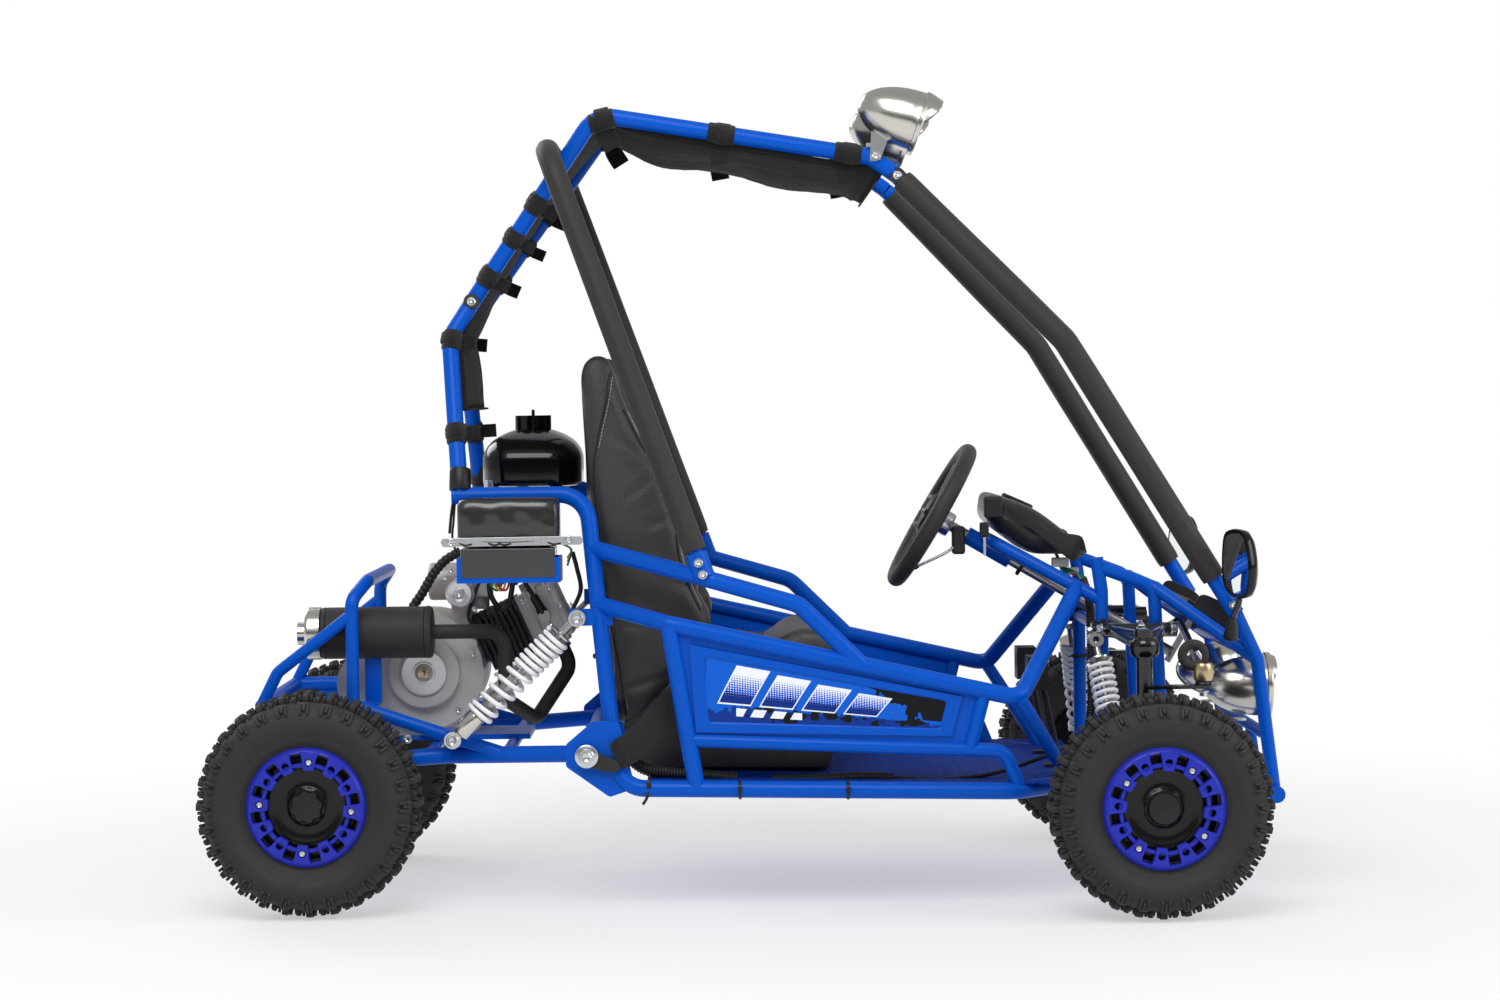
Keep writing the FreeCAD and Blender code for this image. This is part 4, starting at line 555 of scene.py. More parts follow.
def weave_group() -> NodeTree:
    """Height of a plain weave: two crossed sets of waves, each over the other in turn."""
    group, given, made = new_group(
        Effect.WEAVE.value,
        [("Vector", "NodeSocketVector", 0), ("Scale", "NodeSocketFloat", 300)],
        [("Height", "NodeSocketFloat")])
    scaled = group.nodes.new("ShaderNodeVectorMath")
    scaled.operation = "SCALE"
    group.links.new(given.outputs["Vector"], scaled.inputs[0])
    group.links.new(given.outputs["Scale"], scaled.inputs["Scale"])
    split = group.nodes.new("ShaderNodeSeparateXYZ")
    group.links.new(scaled.outputs[0], split.inputs[0])
    times, plus, sine = calculators(group, "MULTIPLY", "ADD", "SINE")
    along = sine(times(split.outputs["X"], FULL_WAVE))
    across = sine(times(plus(split.outputs["Y"], split.outputs["Z"]), FULL_WAVE))
    group.links.new(plus(times(along, across), 1.0), made.inputs["Height"])
    return group


GROUPS = {Effect.TONE: tone_group(), Effect.SMUDGE: smudge_group(), Effect.GRAIN: grain_group(),
          Effect.WEAVE: weave_group()}


def linear(rgb: tuple[float, float, float]) -> tuple[float, float, float, float]:
    """Colour of 0 to 255 as seen on a screen, in the renderer's own scale."""
    part = [c / 255 for c in rgb]
    return tuple(c / 12.92 if c <= 0.04045 else ((c + 0.055) / 1.055) ** 2.4 for c in part) + (1.0,)


@dataclass(frozen=True)
class Finish:
    """A surface finish and what its material needs."""

    name: str
    rgb: tuple[float, float, float]
    roughness: float
    slot: str
    metallic: float = 0.0
    coat: float = 0.0
    coat_roughness: float = 0.08
    sheen: float = 0.0
    specular: float = 0.5
    drift: float = 0.06
    drift_scale: float = 9.0
    dust: float = 0.03
    smudge: float = 0.06
    smudge_scale: float = 22.0
    grain: float = 0.0
    grain_scale: float = 700.0
    cells: float = 0.6
    weave: float = 0.0
    weave_scale: float = 350.0
    transmission: float = 0.0

    def material(self) -> Material:
        """The material of this finish, made once."""
        known = bpy.data.materials.get(self.name)
        if known:
            return known
        made = bpy.data.materials.new(self.name)
        made.use_nodes = True
        tree = made.node_tree
        shader = tree.nodes["Principled BSDF"]
        shader.inputs["Metallic"].default_value = self.metallic
        shader.inputs["Coat Weight"].default_value = self.coat
        shader.inputs["Coat Roughness"].default_value = self.coat_roughness
        shader.inputs["Sheen Weight"].default_value = self.sheen
        shader.inputs["Specular IOR Level"].default_value = self.specular
        shader.inputs["Transmission Weight"].default_value = self.transmission
        coords = tree.nodes.new("ShaderNodeTexCoord").outputs["Object"]
        tone = self.placed(tree, Effect.TONE, coords, Drift=self.drift, Scale=self.drift_scale,
                           Dust=self.dust)
        self.colour_into(tree, tone.inputs["Color"], coords)
        tree.links.new(tone.outputs["Color"], shader.inputs["Base Color"])
        smudge = self.placed(tree, Effect.SMUDGE, coords, Roughness=self.roughness, Amount=self.smudge,
                             Scale=self.smudge_scale)
        tree.links.new(smudge.outputs["Roughness"], shader.inputs["Roughness"])
        height = None
        if self.grain:
            height = self.placed(tree, Effect.GRAIN, coords, Scale=self.grain_scale, Cells=self.cells)
        if self.weave:
            height = self.placed(tree, Effect.WEAVE, coords, Scale=self.weave_scale)
        if height:
            bump = tree.nodes.new("ShaderNodeBump")
            bump.inputs["Strength"].default_value = max(self.grain, self.weave)
            scale = self.grain_scale if self.grain else self.weave_scale
            bump.inputs["Distance"].default_value = 0.35 / max(scale, 1)
            tree.links.new(height.outputs["Height"], bump.inputs["Height"])
            tree.links.new(bump.outputs["Normal"], shader.inputs["Normal"])
        return made

    def placed(self, tree: NodeTree, effect: Effect, coords: NodeSocket, **values: float) -> Node:
        """A shared effect put into this material with its own values."""
        node = tree.nodes.new("ShaderNodeGroup")
        node.node_tree = GROUPS[effect]
        tree.links.new(coords, node.inputs["Vector"])
        for label, value in values.items():
            node.inputs[label].default_value = value
        return node

    def colour_into(self, tree: NodeTree, socket: NodeSocket, coords: NodeSocket) -> None:
        """Gives the tone group its colour; finishes with a pattern link it instead."""
        socket.default_value = linear(self.rgb)


BLUE_PAINT = Finish("blue_powder_coat", (0, 82, 192), 0.34, "frame_paint", coat=0.1, coat_roughness=0.16,
                    specular=0.07, drift=0.05, smudge=0.05, grain=0.06, grain_scale=260, cells=0.2)
BLUE_PLASTIC = Finish("blue_moulded_plastic", (30, 42, 168), 0.36, "blue_plastic", specular=0.3, drift=0.04,
                      grain=0.15, grain_scale=900)
BLACK_FOAM = Finish("black_pipe_foam", (45, 42, 40), 0.55, "foam", sheen=0.1, specular=0.3, drift=0.12,
                    grain=0.3, grain_scale=1500, dust=0.03)
BLACK_VINYL = Finish("black_vinyl", (52, 49, 49), 0.38, "vinyl", specular=0.45, drift=0.1, grain=0.55,
                     grain_scale=620, cells=1.4, smudge=0.1)
CANOPY_CLOTH = Finish("black_woven_canopy", (22, 21, 22), 0.8, "webbing", sheen=0.08, specular=0.16,
                      drift=0.14, weave=0.5, weave_scale=420)
WEBBING = Finish("black_webbing", (24, 24, 25), 0.6, "webbing", sheen=0.12, specular=0.25, weave=0.9,
                 weave_scale=260)
RUBBER = Finish("tyre_rubber", (44, 42, 41), 0.7, "tyre", specular=0.32, drift=0.14, drift_scale=14,
                grain=0.35, grain_scale=900, dust=0.1, smudge=0.12)
BLACK_STEEL = Finish("black_gloss_steel", (10, 10, 12), 0.2, "black_steel", coat=0.7, specular=0.3,
                     drift=0.05)
DISC_BLACK = Finish("black_disc_paint", (8, 8, 9), 0.3, "black_steel", coat=0.25, specular=0.22, drift=0.08)
STITCH = Finish("grey_stitching", (158, 152, 148), 0.6, "vinyl", drift=0.1)
BLACK_SATIN = Finish("heat_proof_black", (45, 41, 39), 0.62, "black_steel", specular=0.35, drift=0.09,
                     grain=0.2, grain_scale=1100)
BLACK_CAST = Finish("black_cast", (24, 24, 25), 0.5, "black_steel", grain=0.5, grain_scale=800, drift=0.1)
BLACK_PLASTIC = Finish("black_moulded_plastic", (26, 26, 27), 0.4, "black_plastic", specular=0.35, grain=0.3,
                       grain_scale=1000, drift=0.05)
BLACK_GLOSS = Finish("black_gloss_plastic", (7, 7, 8), 0.12, "black_plastic", specular=0.3, coat=0.1,
                     drift=0.03, smudge=0.04)
CHROME = Finish("chrome_plate", (208, 206, 198), 0.22, "chrome", metallic=1.0, drift=0.02, dust=0.0,
                smudge=0.03)
POLISHED = Finish("polished_aluminium", (208, 208, 210), 0.3, "engine_metal", metallic=0.75, drift=0.04)
CAST_ALLOY = Finish("cast_aluminium", (190, 186, 182), 0.46, "engine_metal", metallic=0.3, drift=0.14,
                    drift_scale=26, grain=0.5, grain_scale=700, dust=0.06)
ZINC = Finish("zinc_plate", (206, 209, 212), 0.28, "bright_steel", metallic=1.0, drift=0.08, drift_scale=60)
BRASS = Finish("brass", (200, 180, 142), 0.3, "bright_steel", metallic=1.0, drift=0.1, drift_scale=60)
BARE_STEEL = Finish("bare_steel_tube", (172, 170, 168), 0.34, "bright_steel", metallic=1.0, drift=0.12,
                    drift_scale=30)
WHITE_PAINT = Finish("white_spring_paint", (238, 238, 240), 0.3, "shock_white", coat=0.3, drift=0.03)
MIRROR = Finish("mirror_glass", (236, 240, 242), 0.02, "chrome", metallic=1.0, drift=0.0, dust=0.0,
                smudge=0.0)
LENS = Finish("lamp_glass", (236, 240, 244), 0.04, "chrome", transmission=0.85, drift=0.0, dust=0.0,
              smudge=0.02)
WIRE_GREEN = Finish("green_wire", (20, 120, 90), 0.4, "black_plastic")
WIRE_RED = Finish("red_wire", (176, 28, 30), 0.4, "black_plastic")
WIRE_YELLOW = Finish("yellow_wire", (214, 176, 40), 0.4, "black_plastic")
BATTERY_CASE = Finish("grey_battery_case", (46, 47, 51), 0.16, "black_plastic", specular=0.5, coat=0.4,
                      drift=0.06, smudge=0.08)
COVER_VINYL = Finish("glossy_cover_vinyl", (40, 38, 38), 0.2, "vinyl", specular=0.5, coat=0.35, drift=0.08,
                     grain=0.25, grain_scale=520, smudge=0.1)
COWL_PLASTIC = Finish("satin_cowl_plastic", (36, 35, 35), 0.26, "black_plastic", specular=0.32, drift=0.06,
                      grain=0.2, grain_scale=900, smudge=0.06)
RED_BUTTON = Finish("red_button", (170, 24, 22), 0.35, "black_plastic")
CREAM_PLASTIC = Finish("cream_connector", (206, 206, 200), 0.45, "black_plastic")


# Pieces


def linked(name: str, data: bpy.types.ID) -> Object:
    """A new object of the scene that holds some data."""
    made = bpy.data.objects.new(name, data)
    bpy.context.scene.collection.objects.link(made)
    return made


def clean(mesh: Mesh, weld: float) -> None:
    """Merges doubled points, drops empty faces and points every face outwards."""
    shape = bmesh.new()
    shape.from_mesh(mesh)
    bmesh.ops.remove_doubles(shape, verts=shape.verts, dist=weld)
    bmesh.ops.dissolve_degenerate(shape, edges=shape.edges, dist=weld * 0.1)
    bmesh.ops.recalc_face_normals(shape, faces=shape.faces)
    shape.to_mesh(mesh)
    shape.free()


def piece(name: str, surface: Surface, finish: Finish, body: str = "root", replaces: tuple[str, ...] = (),
          sharp: float = 38.0, bevel: float = 0.0, weld: float = 1e-5) -> Object:
    """A finished piece of the object.

    Args:
        name: name of the piece.
        surface: its shape in the script's millimetres.
        finish: its finish.
        body: construction body that it rides on.
        replaces: construction nodes that it stands for.
        sharp: angle in degrees over which an edge stays sharp.
        bevel: width in millimetres of a rounding on sharp edges.
        weld: distance in metres at which points merge.

    Returns:
        The object.
    """
    mesh = bpy.data.meshes.new(name)
    mesh.from_pydata(to_frame(surface.points).tolist(), [], surface.quads.tolist() + surface.tris.tolist())
    clean(mesh, weld)
    mesh.shade_smooth()
    mesh.set_sharp_from_angle(angle=math.radians(sharp))
    mesh.materials.append(finish.material())
    made = linked(name, mesh)
    if bevel:
        edge = made.modifiers.new("edge", "BEVEL")
        edge.width = bevel * MM
        edge.segments = 2
        edge.limit_method = "ANGLE"
        edge.angle_limit = math.radians(sharp)
        edge.harden_normals = True
    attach(made, body)
    if replaces:
        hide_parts(*replaces)
    log.info("piece %s on %s, %d faces", name, body, len(mesh.polygons))
    return made


def dress(node: str, finish: Finish) -> None:
    """Gives a construction node its finish."""
    mesh = frame["nodes"][node].data
    mesh.materials.clear()
    mesh.materials.append(finish.material())
    log.info("node %s in %s", node, finish.name)


@dataclass
class Running:
    """Wheels: knobbly tyres, bolt on rings and dished discs."""

    front_bead: float = 84.0
    rear_bead: float = 96.0
    rear_width: float = 130.0
    bead_radius: float = 80.0
    lug_rows: int = 28
    lug_height: float = 10.6
    blocks: int = 12
    hole_circle: float = 66.4
    hole_radius: float = 5.4
    ring_turn: float = 5.0
    section_share: Outline = (
        (0.0, 0.0), (0.02, 0.1), (0.08, 0.3), (0.0, 0.55), (0.06, 0.78), (0.28, 0.92), (0.62, 0.985),
        (1.0, 1.0))
    # share of the way to the crown, turn in steps, half width round, half length along, height
    side_lugs: tuple[tuple[float, ...], ...] = (
        (0.60, 0.0, 7.4, 3.6, 5.4), (0.525, -0.17, 2.5, 8.5, 5.0), (0.525, 0.17, 2.5, 8.5, 5.0),
        (0.555, 0.0, 2.7, 7.0, 5.6), (0.745, 0.0, 4.6, 8.0, 10.4), (0.76, -0.24, 2.1, 4.6, 8.4),
        (0.76, 0.24, 2.1, 4.6, 8.4), (0.75, 0.5, 3.8, 5.6, 6.4), (0.885, 0.0, 5.4, 6.0, 10.6),
        (0.90, 0.5, 4.0, 5.6, 9.4))
    crown_lug: tuple[float, ...] = (1.0, 0.0, 4.4, 6.0, 10.6)

    def section(self, half: float, bead: float, radius: float) -> Array:
        """Section of the casing from its outer bead over the crown to the inner bead.

        The shares are the narrowing of the wall and the height above the bead; a smooth line runs through
        them on one side and back down on the other.

        Args:
            half: half the tyre's width.
            bead: distance between the beads.
            radius: the tyre's radius over its lugs.

        Returns:
            Rows of (across, radius).
        """
        inner = self.bead_radius
        wide = np.array([half * 0.985 - s[0] * half * 0.97 if s[1] > 0.5 else
                         bead / 2 + (half * 0.985 - bead / 2) * min(1.0, s[1] * 2.1)
                         for s in self.section_share])
        high = np.array([inner + (radius - self.lug_height - inner) * s[1] for s in self.section_share])
        outer = np.stack([-wide, high], -1)
        outer[-1, 0] = 0.0
        line = np.vstack([outer, outer[-2::-1] * [-1, 1]])
        return flowing([vec(a, b, 0) for a, b in line], 90)[:, :2]

    def tyre(self, centre: Array, od: float, width: float, bead: float) -> Surface:
        """Casing with its lugs: the section turned about the axle, with two ridges on each wall.

        Args:
            centre: middle of the tyre.
            od: outer diameter over the lugs.
            width: the tyre's width.
            bead: distance between the beads.

        Returns:
            The tyre.
        """
        inner = self.bead_radius
        line = self.section(width / 2, bead, od / 2)
        ridges = 0.9 * np.exp(-((line[:, 1] - inner - 16) / 1.6) ** 2) + 0.7 * np.exp(
            -((line[:, 1] - inner - 34) / 1.2) ** 2)
        slope = unit(np.gradient(line, axis=0))
        normal = np.stack([-slope[:, 1], slope[:, 0]], -1)
        normal *= np.sign((normal * (line - [0, inner + 30])).sum(1, keepdims=True) + 1e-9)
        shell = line + normal * ridges[:, None]
        angle = full_turn(168)
        casing = self.around(shell[:, 0], shell[:, 1], angle)
        return joined(grid(casing, around=True), self.lugs(line, normal)).moved(centre)

    def around(self, across: Array, radius: Array, angle: Array) -> Array:
        """Points of a section turned through angles, rows along the section."""
        return np.stack([radius[:, None] * np.sin(angle),
                         np.broadcast_to(across[:, None], (len(across), len(angle))),
                         radius[:, None] * np.cos(angle)], -1)

    def lugs(self, line: Array, normal: Array) -> Surface:
        """All lugs of a tyre: sidewall crowns, shoulder knobs and crown blocks.

        A lug's point lies at an arc length along the section, an angle and a height along the section's own
        normal, and rings of eight points stepped inwards make each lug.

        Args:
            line: the casing's section, rows of (across, radius).
            normal: outward direction at each row.

        Returns:
            The lugs as one surface.
        """
        arc = lengths(line)
        total = arc[-1]
        top = total / 2
        step = 2 * np.pi / self.lug_rows
        turns = np.arange(self.lug_rows) * step
        near = np.array(self.side_lugs) * [top, 1, 1, 1, 1]
        table = np.vstack([near, near * [-1, 1, 1, 1, 1] + [total, 0, 0, 0, 0],
                           np.array(self.crown_lug) * [top, 1, 1, 1, 1]])
        at = np.repeat(table[:, 0], self.lug_rows)
        angle = (table[:, 1][:, None] * step + turns).ravel()
        wide, long, height = (np.repeat(table[:, k], self.lug_rows) for k in (2, 3, 4))
        corner = np.array([[1, 0.7], [0.7, 1], [-0.7, 1], [-1, 0.7], [-1, -0.7], [-0.7, -1], [0.7, -1],
                           [1, -0.7]])
        levels = np.array([[-0.35, 1.12], [0.3, 1.0], [0.9, 0.88], [1.0, 0.74]])
        ring = corner[None, None] * levels[None, :, None, 1:]
        rise = np.broadcast_to(levels[None, :, None, 0], (len(at), 4, 8)) * height[:, None, None]
        along = at[:, None, None] + ring[..., 1] * long[:, None, None]
        across = np.interp(along, arc, line[:, 0]) + np.interp(along, arc, normal[:, 0]) * rise
        radius = np.interp(along, arc, line[:, 1]) + np.interp(along, arc, normal[:, 1]) * rise
        round_to = angle[:, None, None] + ring[..., 0] * wide[:, None, None] / radius
        points = np.stack([radius * np.sin(round_to), across, radius * np.cos(round_to)], -1)
        return joined(*[closed_ends(p) for p in points])

    def ring(self, face: Array, side: float) -> Surface:
        """Ring bolted over the outer bead: sloped flange, thin inner hoop and drilled blocks.

        A block's face runs from its six cornered outline to its round hole, both as 36 points round.

        Args:
            face: middle of the wheel's outer face.
            side: -1 on the right and 1 on the left.

        Returns:
            The ring.
        """
        way = vec(0, side, 0)
        flange = revolved([(0, 88), (2.5, 88), (8, 86), (12, 82), (12.6, 80.5), (11.5, 79.6), (5, 79),
                           (0, 79)],
                          face, way, 120)
        hoop = revolved([(3, 59.6), (8.2, 59.6), (9.6, 60.8), (9.6, 64.4), (8.2, 65.6), (3, 65.6), (3, 59.6)],
                        face, way, 120)
        corners = np.array([(14.6, 81.5), (-14.6, 81.5), (-11.0, 73.5), (-7.6, 54.5), (7.6, 54.5),
                            (11.0, 73.5)], float)
        edge = resampled(np.vstack([corners, corners[:1]]), 37)[:-1]
        middle = np.array([0, self.hole_circle])
        turn = np.arctan2(edge[:, 1] - middle[1], edge[:, 0])
        hole = middle + self.hole_radius * np.stack([np.cos(turn), np.sin(turn)], -1)
        rings = [(edge, 0.5), (edge, 12.2), (middle + (edge - middle) * 0.94, 13.2),
                 (middle + (hole - middle) * 1.12, 13.2), (hole, 12.4), (hole, 0.5)]
        table = np.stack([np.stack([r[:, 0], np.full(len(r), side * depth), r[:, 1]], -1)
                          for r, depth in rings])
        angle = np.radians(np.arange(self.blocks) * 360.0 / self.blocks + self.ring_turn)
        c, s, none = np.cos(angle), np.sin(angle), 0 * angle
        turns = np.array([[c, none, s], [none, none + 1, none], [-s, none, c]]).transpose(2, 0, 1)
        places = np.tile(face, (self.blocks, 1))
        return joined(flange, hoop, copies(grid(table, around=True, along=True), places, turns))

    def rim(self, face: Array, side: float, bead: float, rear: bool) -> tuple[Surface, Surface]:
        """Barrel with its dished disc, and the hub cap: lobed on the rear wheels, a smooth dome in front.

        Args:
            face: middle of the wheel's outer face.
            side: -1 on the right and 1 on the left.
            bead: distance between the beads.
            rear: whether it is a rear wheel.

        Returns:
            The rim and its cap.
        """
        way = vec(0, side, 0)
        dish = revolved([(-bead + 6, 76), (-bead, 77), (-bead, 80), (-bead + 5, 80.5), (-bead + 12, 78),
                         (-12, 78), (-2, 80), (1, 79), (1, 76.5), (-6, 74), (-11, 70), (-11.5, 62),
                         (-7, 58.5), (-6, 55), (-8, 50), (-9.6, 42), (-9.6, 31), (-8.2, 27.5), (-5.8, 25.5),
                         (-5.4, 22), (-5.4, 0)], face, way, 120)
        back = revolved([(-12, 0), (-12, 56), (-13, 73), (-bead + 8, 73), (-bead + 2, 77)], face, way, 96)
        hub = revolved([(-12, 24), (-bead / 2 - 4, 22), (-bead / 2 - 4, 13)], face, way, 40)
        wave = np.sin(8 * full_turn(96))
        lobes = 1 + 0.07 * np.sign(wave) * np.abs(wave) ** 0.6 if rear else None
        high = 3.0 if rear else 5.4
        cap = revolved([(-6, 24.5), (high - 4, 23.6), (high - 1, 21.5), (high, 18), (high - 0.6, 12.5),
                        (high - 0.2, 11.6), (high, 0)], face, way, 96, lobes)
        return joined(dish, back, hub), cap

    def build(self) -> None:
        """Makes tyres, rims and rings with their bolts and dresses the other nodes of the wheels."""
        for side, label in SIDES:
            low, high = box_mm(f"front_tyre_{label}")
            centre, size = (low + high) / 2, high - low
            body = f"front_wheel_{label}"
            tyre = self.tyre(centre, size[2], size[1], self.front_bead)
            piece(f"front_tread_{label}", tyre, RUBBER, body, (f"front_tyre_{label}",), sharp=50)
            face = centre + vec(0, side * self.front_bead / 2, 0)
            rim, cap = self.rim(face, side, self.front_bead, False)
            piece(f"front_disc_{label}", rim, DISC_BLACK, body, (f"front_rim_{label}",), sharp=45)
            piece(f"front_cap_{label}", cap, BLACK_PLASTIC, body, sharp=35)
            piece(f"front_bead_ring_{label}", self.ring(face, side), BLUE_PLASTIC, body,
                  (f"front_ring_{label}",), sharp=28)
            self.bolted(f"front_ring_bolts_{label}", side, face, body, 30)
        low, high = box_mm("rear_tyres")
        radius, width = (high[2] - low[2]) / 2, self.rear_width
        tyres, rims, caps, rings = [], [], [], []
        for side, label in SIDES:
            centre = vec((low[0] + high[0]) / 2, side * (high[1] - width / 2), radius)
            tyres.append(self.tyre(centre, radius * 2, width, self.rear_bead))
            face = centre + vec(0, side * self.rear_bead / 2, 0)
            rim, cap = self.rim(face, side, self.rear_bead, True)
            rims.append(rim)
            caps.append(cap)
            rings.append(self.ring(face, side))
            self.bolted(f"rear_ring_bolts_{label}", side, face, "rear_wheels", 0)
        piece("rear_treads", joined(*tyres), RUBBER, "rear_wheels", ("rear_tyres",), sharp=50)
        piece("rear_discs", joined(*rims), DISC_BLACK, "rear_wheels", ("rear_rims",), sharp=45)
        piece("rear_caps", joined(*caps), BLACK_PLASTIC, "rear_wheels", sharp=35)
        piece("rear_bead_rings", joined(*rings), BLUE_PLASTIC, "rear_wheels", ("rear_rings",), sharp=28)
        dress("rear_axle", BARE_STEEL)
        dress("axle_sprocket", BARE_STEEL)
        dress("brake_disc", POLISHED)

    def bolted(self, name: str, side: float, face: Array, body: str, first: float) -> None:
        """Four small bolts in every third block of a ring."""
        angle = np.radians(np.arange(4) * 90.0 + first + self.ring_turn)
        places = [face + vec(self.hole_circle * math.sin(a), side * 10.5, self.hole_circle * math.cos(a))
                  for a in angle]
        piece(name, bolts(places, vec(0, side, 0), 4.6), ZINC, body)


def share_near(path: Array, x: float, z: float) -> float:
    """Share of a path's length at its station nearest to a place in side view."""
    length = lengths(path)
    nearest = np.argmin(np.hypot(path[:, 0] - x, path[:, 2] - z))
    return float(length[nearest] / length[-1])


def smooth_row(values: Array, half: int) -> Array:
    """Mean of each value with its neighbours up to half places away."""
    padded = np.pad(values, half, mode="edge")
    return np.convolve(padded, np.ones(2 * half + 1) / (2 * half + 1), mode="valid")


def tube(points: list[Array], radius: float, bend: float = 30.0, sides: int = 20) -> Surface:
    """Round bar along a bent route."""
    return carried(route(points, bend), ring_profile(radius, sides))


def cable(points: list[Array], radius: float, sides: int = 10, count: int = 60) -> Surface:
    """Thin fixed wire that flows through points."""
    return carried(flowing(points, count), ring_profile(radius, sides))


def corrugated(points: list[Array], radius: float, depth: float, ribs: int) -> Surface:
    """Ribbed conduit: the radius swells by depth * |sin| once in each rib along the line."""
    path = resampled(flowing(points, 160), ribs * 6)
    wave = 1 + depth / radius * np.abs(np.sin(np.pi * np.arange(len(path)) / 6))
    return carried(path, ring_profile(radius, 16), scale=wave)


def coil(start: Array, end: Array, radius: float, wire: float, turns: Array, sides: int = 10) -> Surface:
    """Spring wire: a circle's point that climbs the axis as it turns, with closed end turns.

    Args:
        start: middle of one end.
        end: middle of the other end.
        radius: radius of the wire's middle line.
        wire: radius of the wire.
        turns: heights from 0 to 1 at whole turns.
        sides: sides of the wire.

    Returns:
        The wire's surface.
    """
    steps = (len(turns) - 1) * 26 + 1
    angle = np.linspace(0, 2 * np.pi * (len(turns) - 1), steps)
    height = np.interp(angle / (2 * np.pi), np.arange(len(turns)), turns)
    frame_turn = turn_to(end - start)
    span = np.linalg.norm(end - start)
    local = np.stack([radius * np.cos(angle), radius * np.sin(angle), height * span], -1)
    outward = np.stack([np.cos(angle), np.sin(angle), np.zeros_like(angle)], -1) @ frame_turn.T
    return carried(start + local @ frame_turn.T, ring_profile(wire, sides), across=outward)


def rounded_loop(points: list[tuple[float, float]], count: int = 120) -> Array:
    """Closed outline through side view places, as rows of (x, z), smooth at each place."""
    loop = looped(np.array([[x, 0.0, z] for x, z in points]), count)
    return loop[:, [0, 2]]


def inset(loop: Array, distance: float) -> Array:
    """An outline moved inwards along its own normals."""
    slope = unit(np.roll(loop, -1, 0) - np.roll(loop, 1, 0))
    normal = np.stack([slope[:, 1], -slope[:, 0]], -1)
    area = np.sum(loop[:, 0] * np.roll(loop[:, 1], -1) - np.roll(loop[:, 0], -1) * loop[:, 1])
    return loop - normal * distance * np.sign(area)


def pillow(loop: Array, low: float, high: float, edge: float, crown: float, rows: int = 9) -> Surface:
    """Padded form of a side view outline between two planes across.

    Rings near each face draw in along a quarter circle of the edge's radius, and the faces rise to a crown
    towards their middle: the ring at share s lies at centre + (outline - centre) * s and stands out by
    crown * (1 - s squared).

    Args:
        loop: outline, rows of (x, z).
        low: plane of the right face.
        high: plane of the left face.
        edge: radius of the rounding.
        crown: height of each face's middle over its edge.
        rows: rings in each face.

    Returns:
        The closed surface.
    """
    turn = np.linspace(0, np.pi / 2, 7)
    shrink = edge * (1 - np.sin(turn))
    rise = edge * (1 - np.cos(turn))
    rings = [(inset(loop, s), low + r) for s, r in zip(shrink, rise)]
    rings += [(loop, y) for y in np.linspace(low + edge, high - edge, 6)[1:-1]]
    rings += [(inset(loop, s), high - r) for s, r in zip(shrink[::-1], rise[::-1])]
    centre = loop.mean(0)
    inner = inset(loop, edge)
    shares = np.linspace(1, 0.04, rows)[1:]
    faces = [(centre + (inner - centre) * s, low - crown * (1 - s * s)) for s in shares[::-1]]
    faces_high = [(centre + (inner - centre) * s, high + crown * (1 - s * s)) for s in shares]
    table = [np.stack([ring[:, 0], np.full(len(ring), y), ring[:, 1]], -1)
             for ring, y in faces + rings + faces_high]
    return closed_ends(np.stack(table))


def puffed(made: Object, voxel: float = 5.0, pressure: float = 4.0, cap: float = 8.0) -> None:
    """Swells a padded piece as cloth: even mesh, pressure from inside, each point's move capped.

    Args:
        made: the piece, replaced by its swollen mesh.
        voxel: size of the even mesh's cells in millimetres.
        pressure: pressure of the cloth.
        cap: longest move of a point in millimetres.
    """
    even = made.modifiers.new("even", "REMESH")
    even.mode = "VOXEL"
    even.voxel_size = voxel * MM
    even.use_smooth_shade = True
    made.data = applied(made)
    start = points_of(made.data)
    cloth = made.modifiers.new("cloth", "CLOTH")
    cloth.settings.quality = 4
    cloth.settings.mass = 0.15
    cloth.settings.tension_stiffness = 12
    cloth.settings.bending_stiffness = 0.4
    cloth.settings.use_pressure = True
    cloth.settings.uniform_pressure_force = pressure
    cloth.settings.effector_weights.gravity = 0
    cloth.collision_settings.use_collision = False
    scene = bpy.context.scene
    for step in range(1, 21):
        scene.frame_set(step)
        bpy.context.view_layer.update()
    swollen = points_of(made.evaluated_get(bpy.context.evaluated_depsgraph_get()).data)
    made.modifiers.remove(cloth)
    scene.frame_set(1)
    move = swollen - start
    size = np.linalg.norm(move, axis=1, keepdims=True)
    move *= np.minimum(1.0, cap * MM / np.maximum(size, 1e-9))
    reshape(made.data, start + move)
    log.info("%s swelled by up to %.1f mm", made.name, float(np.linalg.norm(move, axis=1).max()) / MM)


def reshape(mesh: Mesh, points: Array) -> None:
    """Gives a mesh new places for its points."""
    mesh.vertices.foreach_set("co", points.ravel())
    mesh.update()


def points_of(mesh: Mesh) -> Array:
    """A mesh's points."""
    flat = np.empty(len(mesh.vertices) * 3)
    mesh.vertices.foreach_get("co", flat)
    return flat.reshape(-1, 3)


def applied(made: Object) -> Mesh:
    """The piece's mesh with its modifiers applied, which are then removed."""
    graph = bpy.context.evaluated_depsgraph_get()
    graph.update()
    mesh = bpy.data.meshes.new_from_object(made.evaluated_get(graph))
    made.modifiers.clear()
    mesh.shade_smooth()
    return mesh


def smoothed(made: Object, factor: float = 0.5, times: int = 4) -> None:
    """Softens a padded piece's folds, then applies the softening."""
    soft = made.modifiers.new("soft", "SMOOTH")
    soft.factor = factor
    soft.iterations = times
    made.data = applied(made)


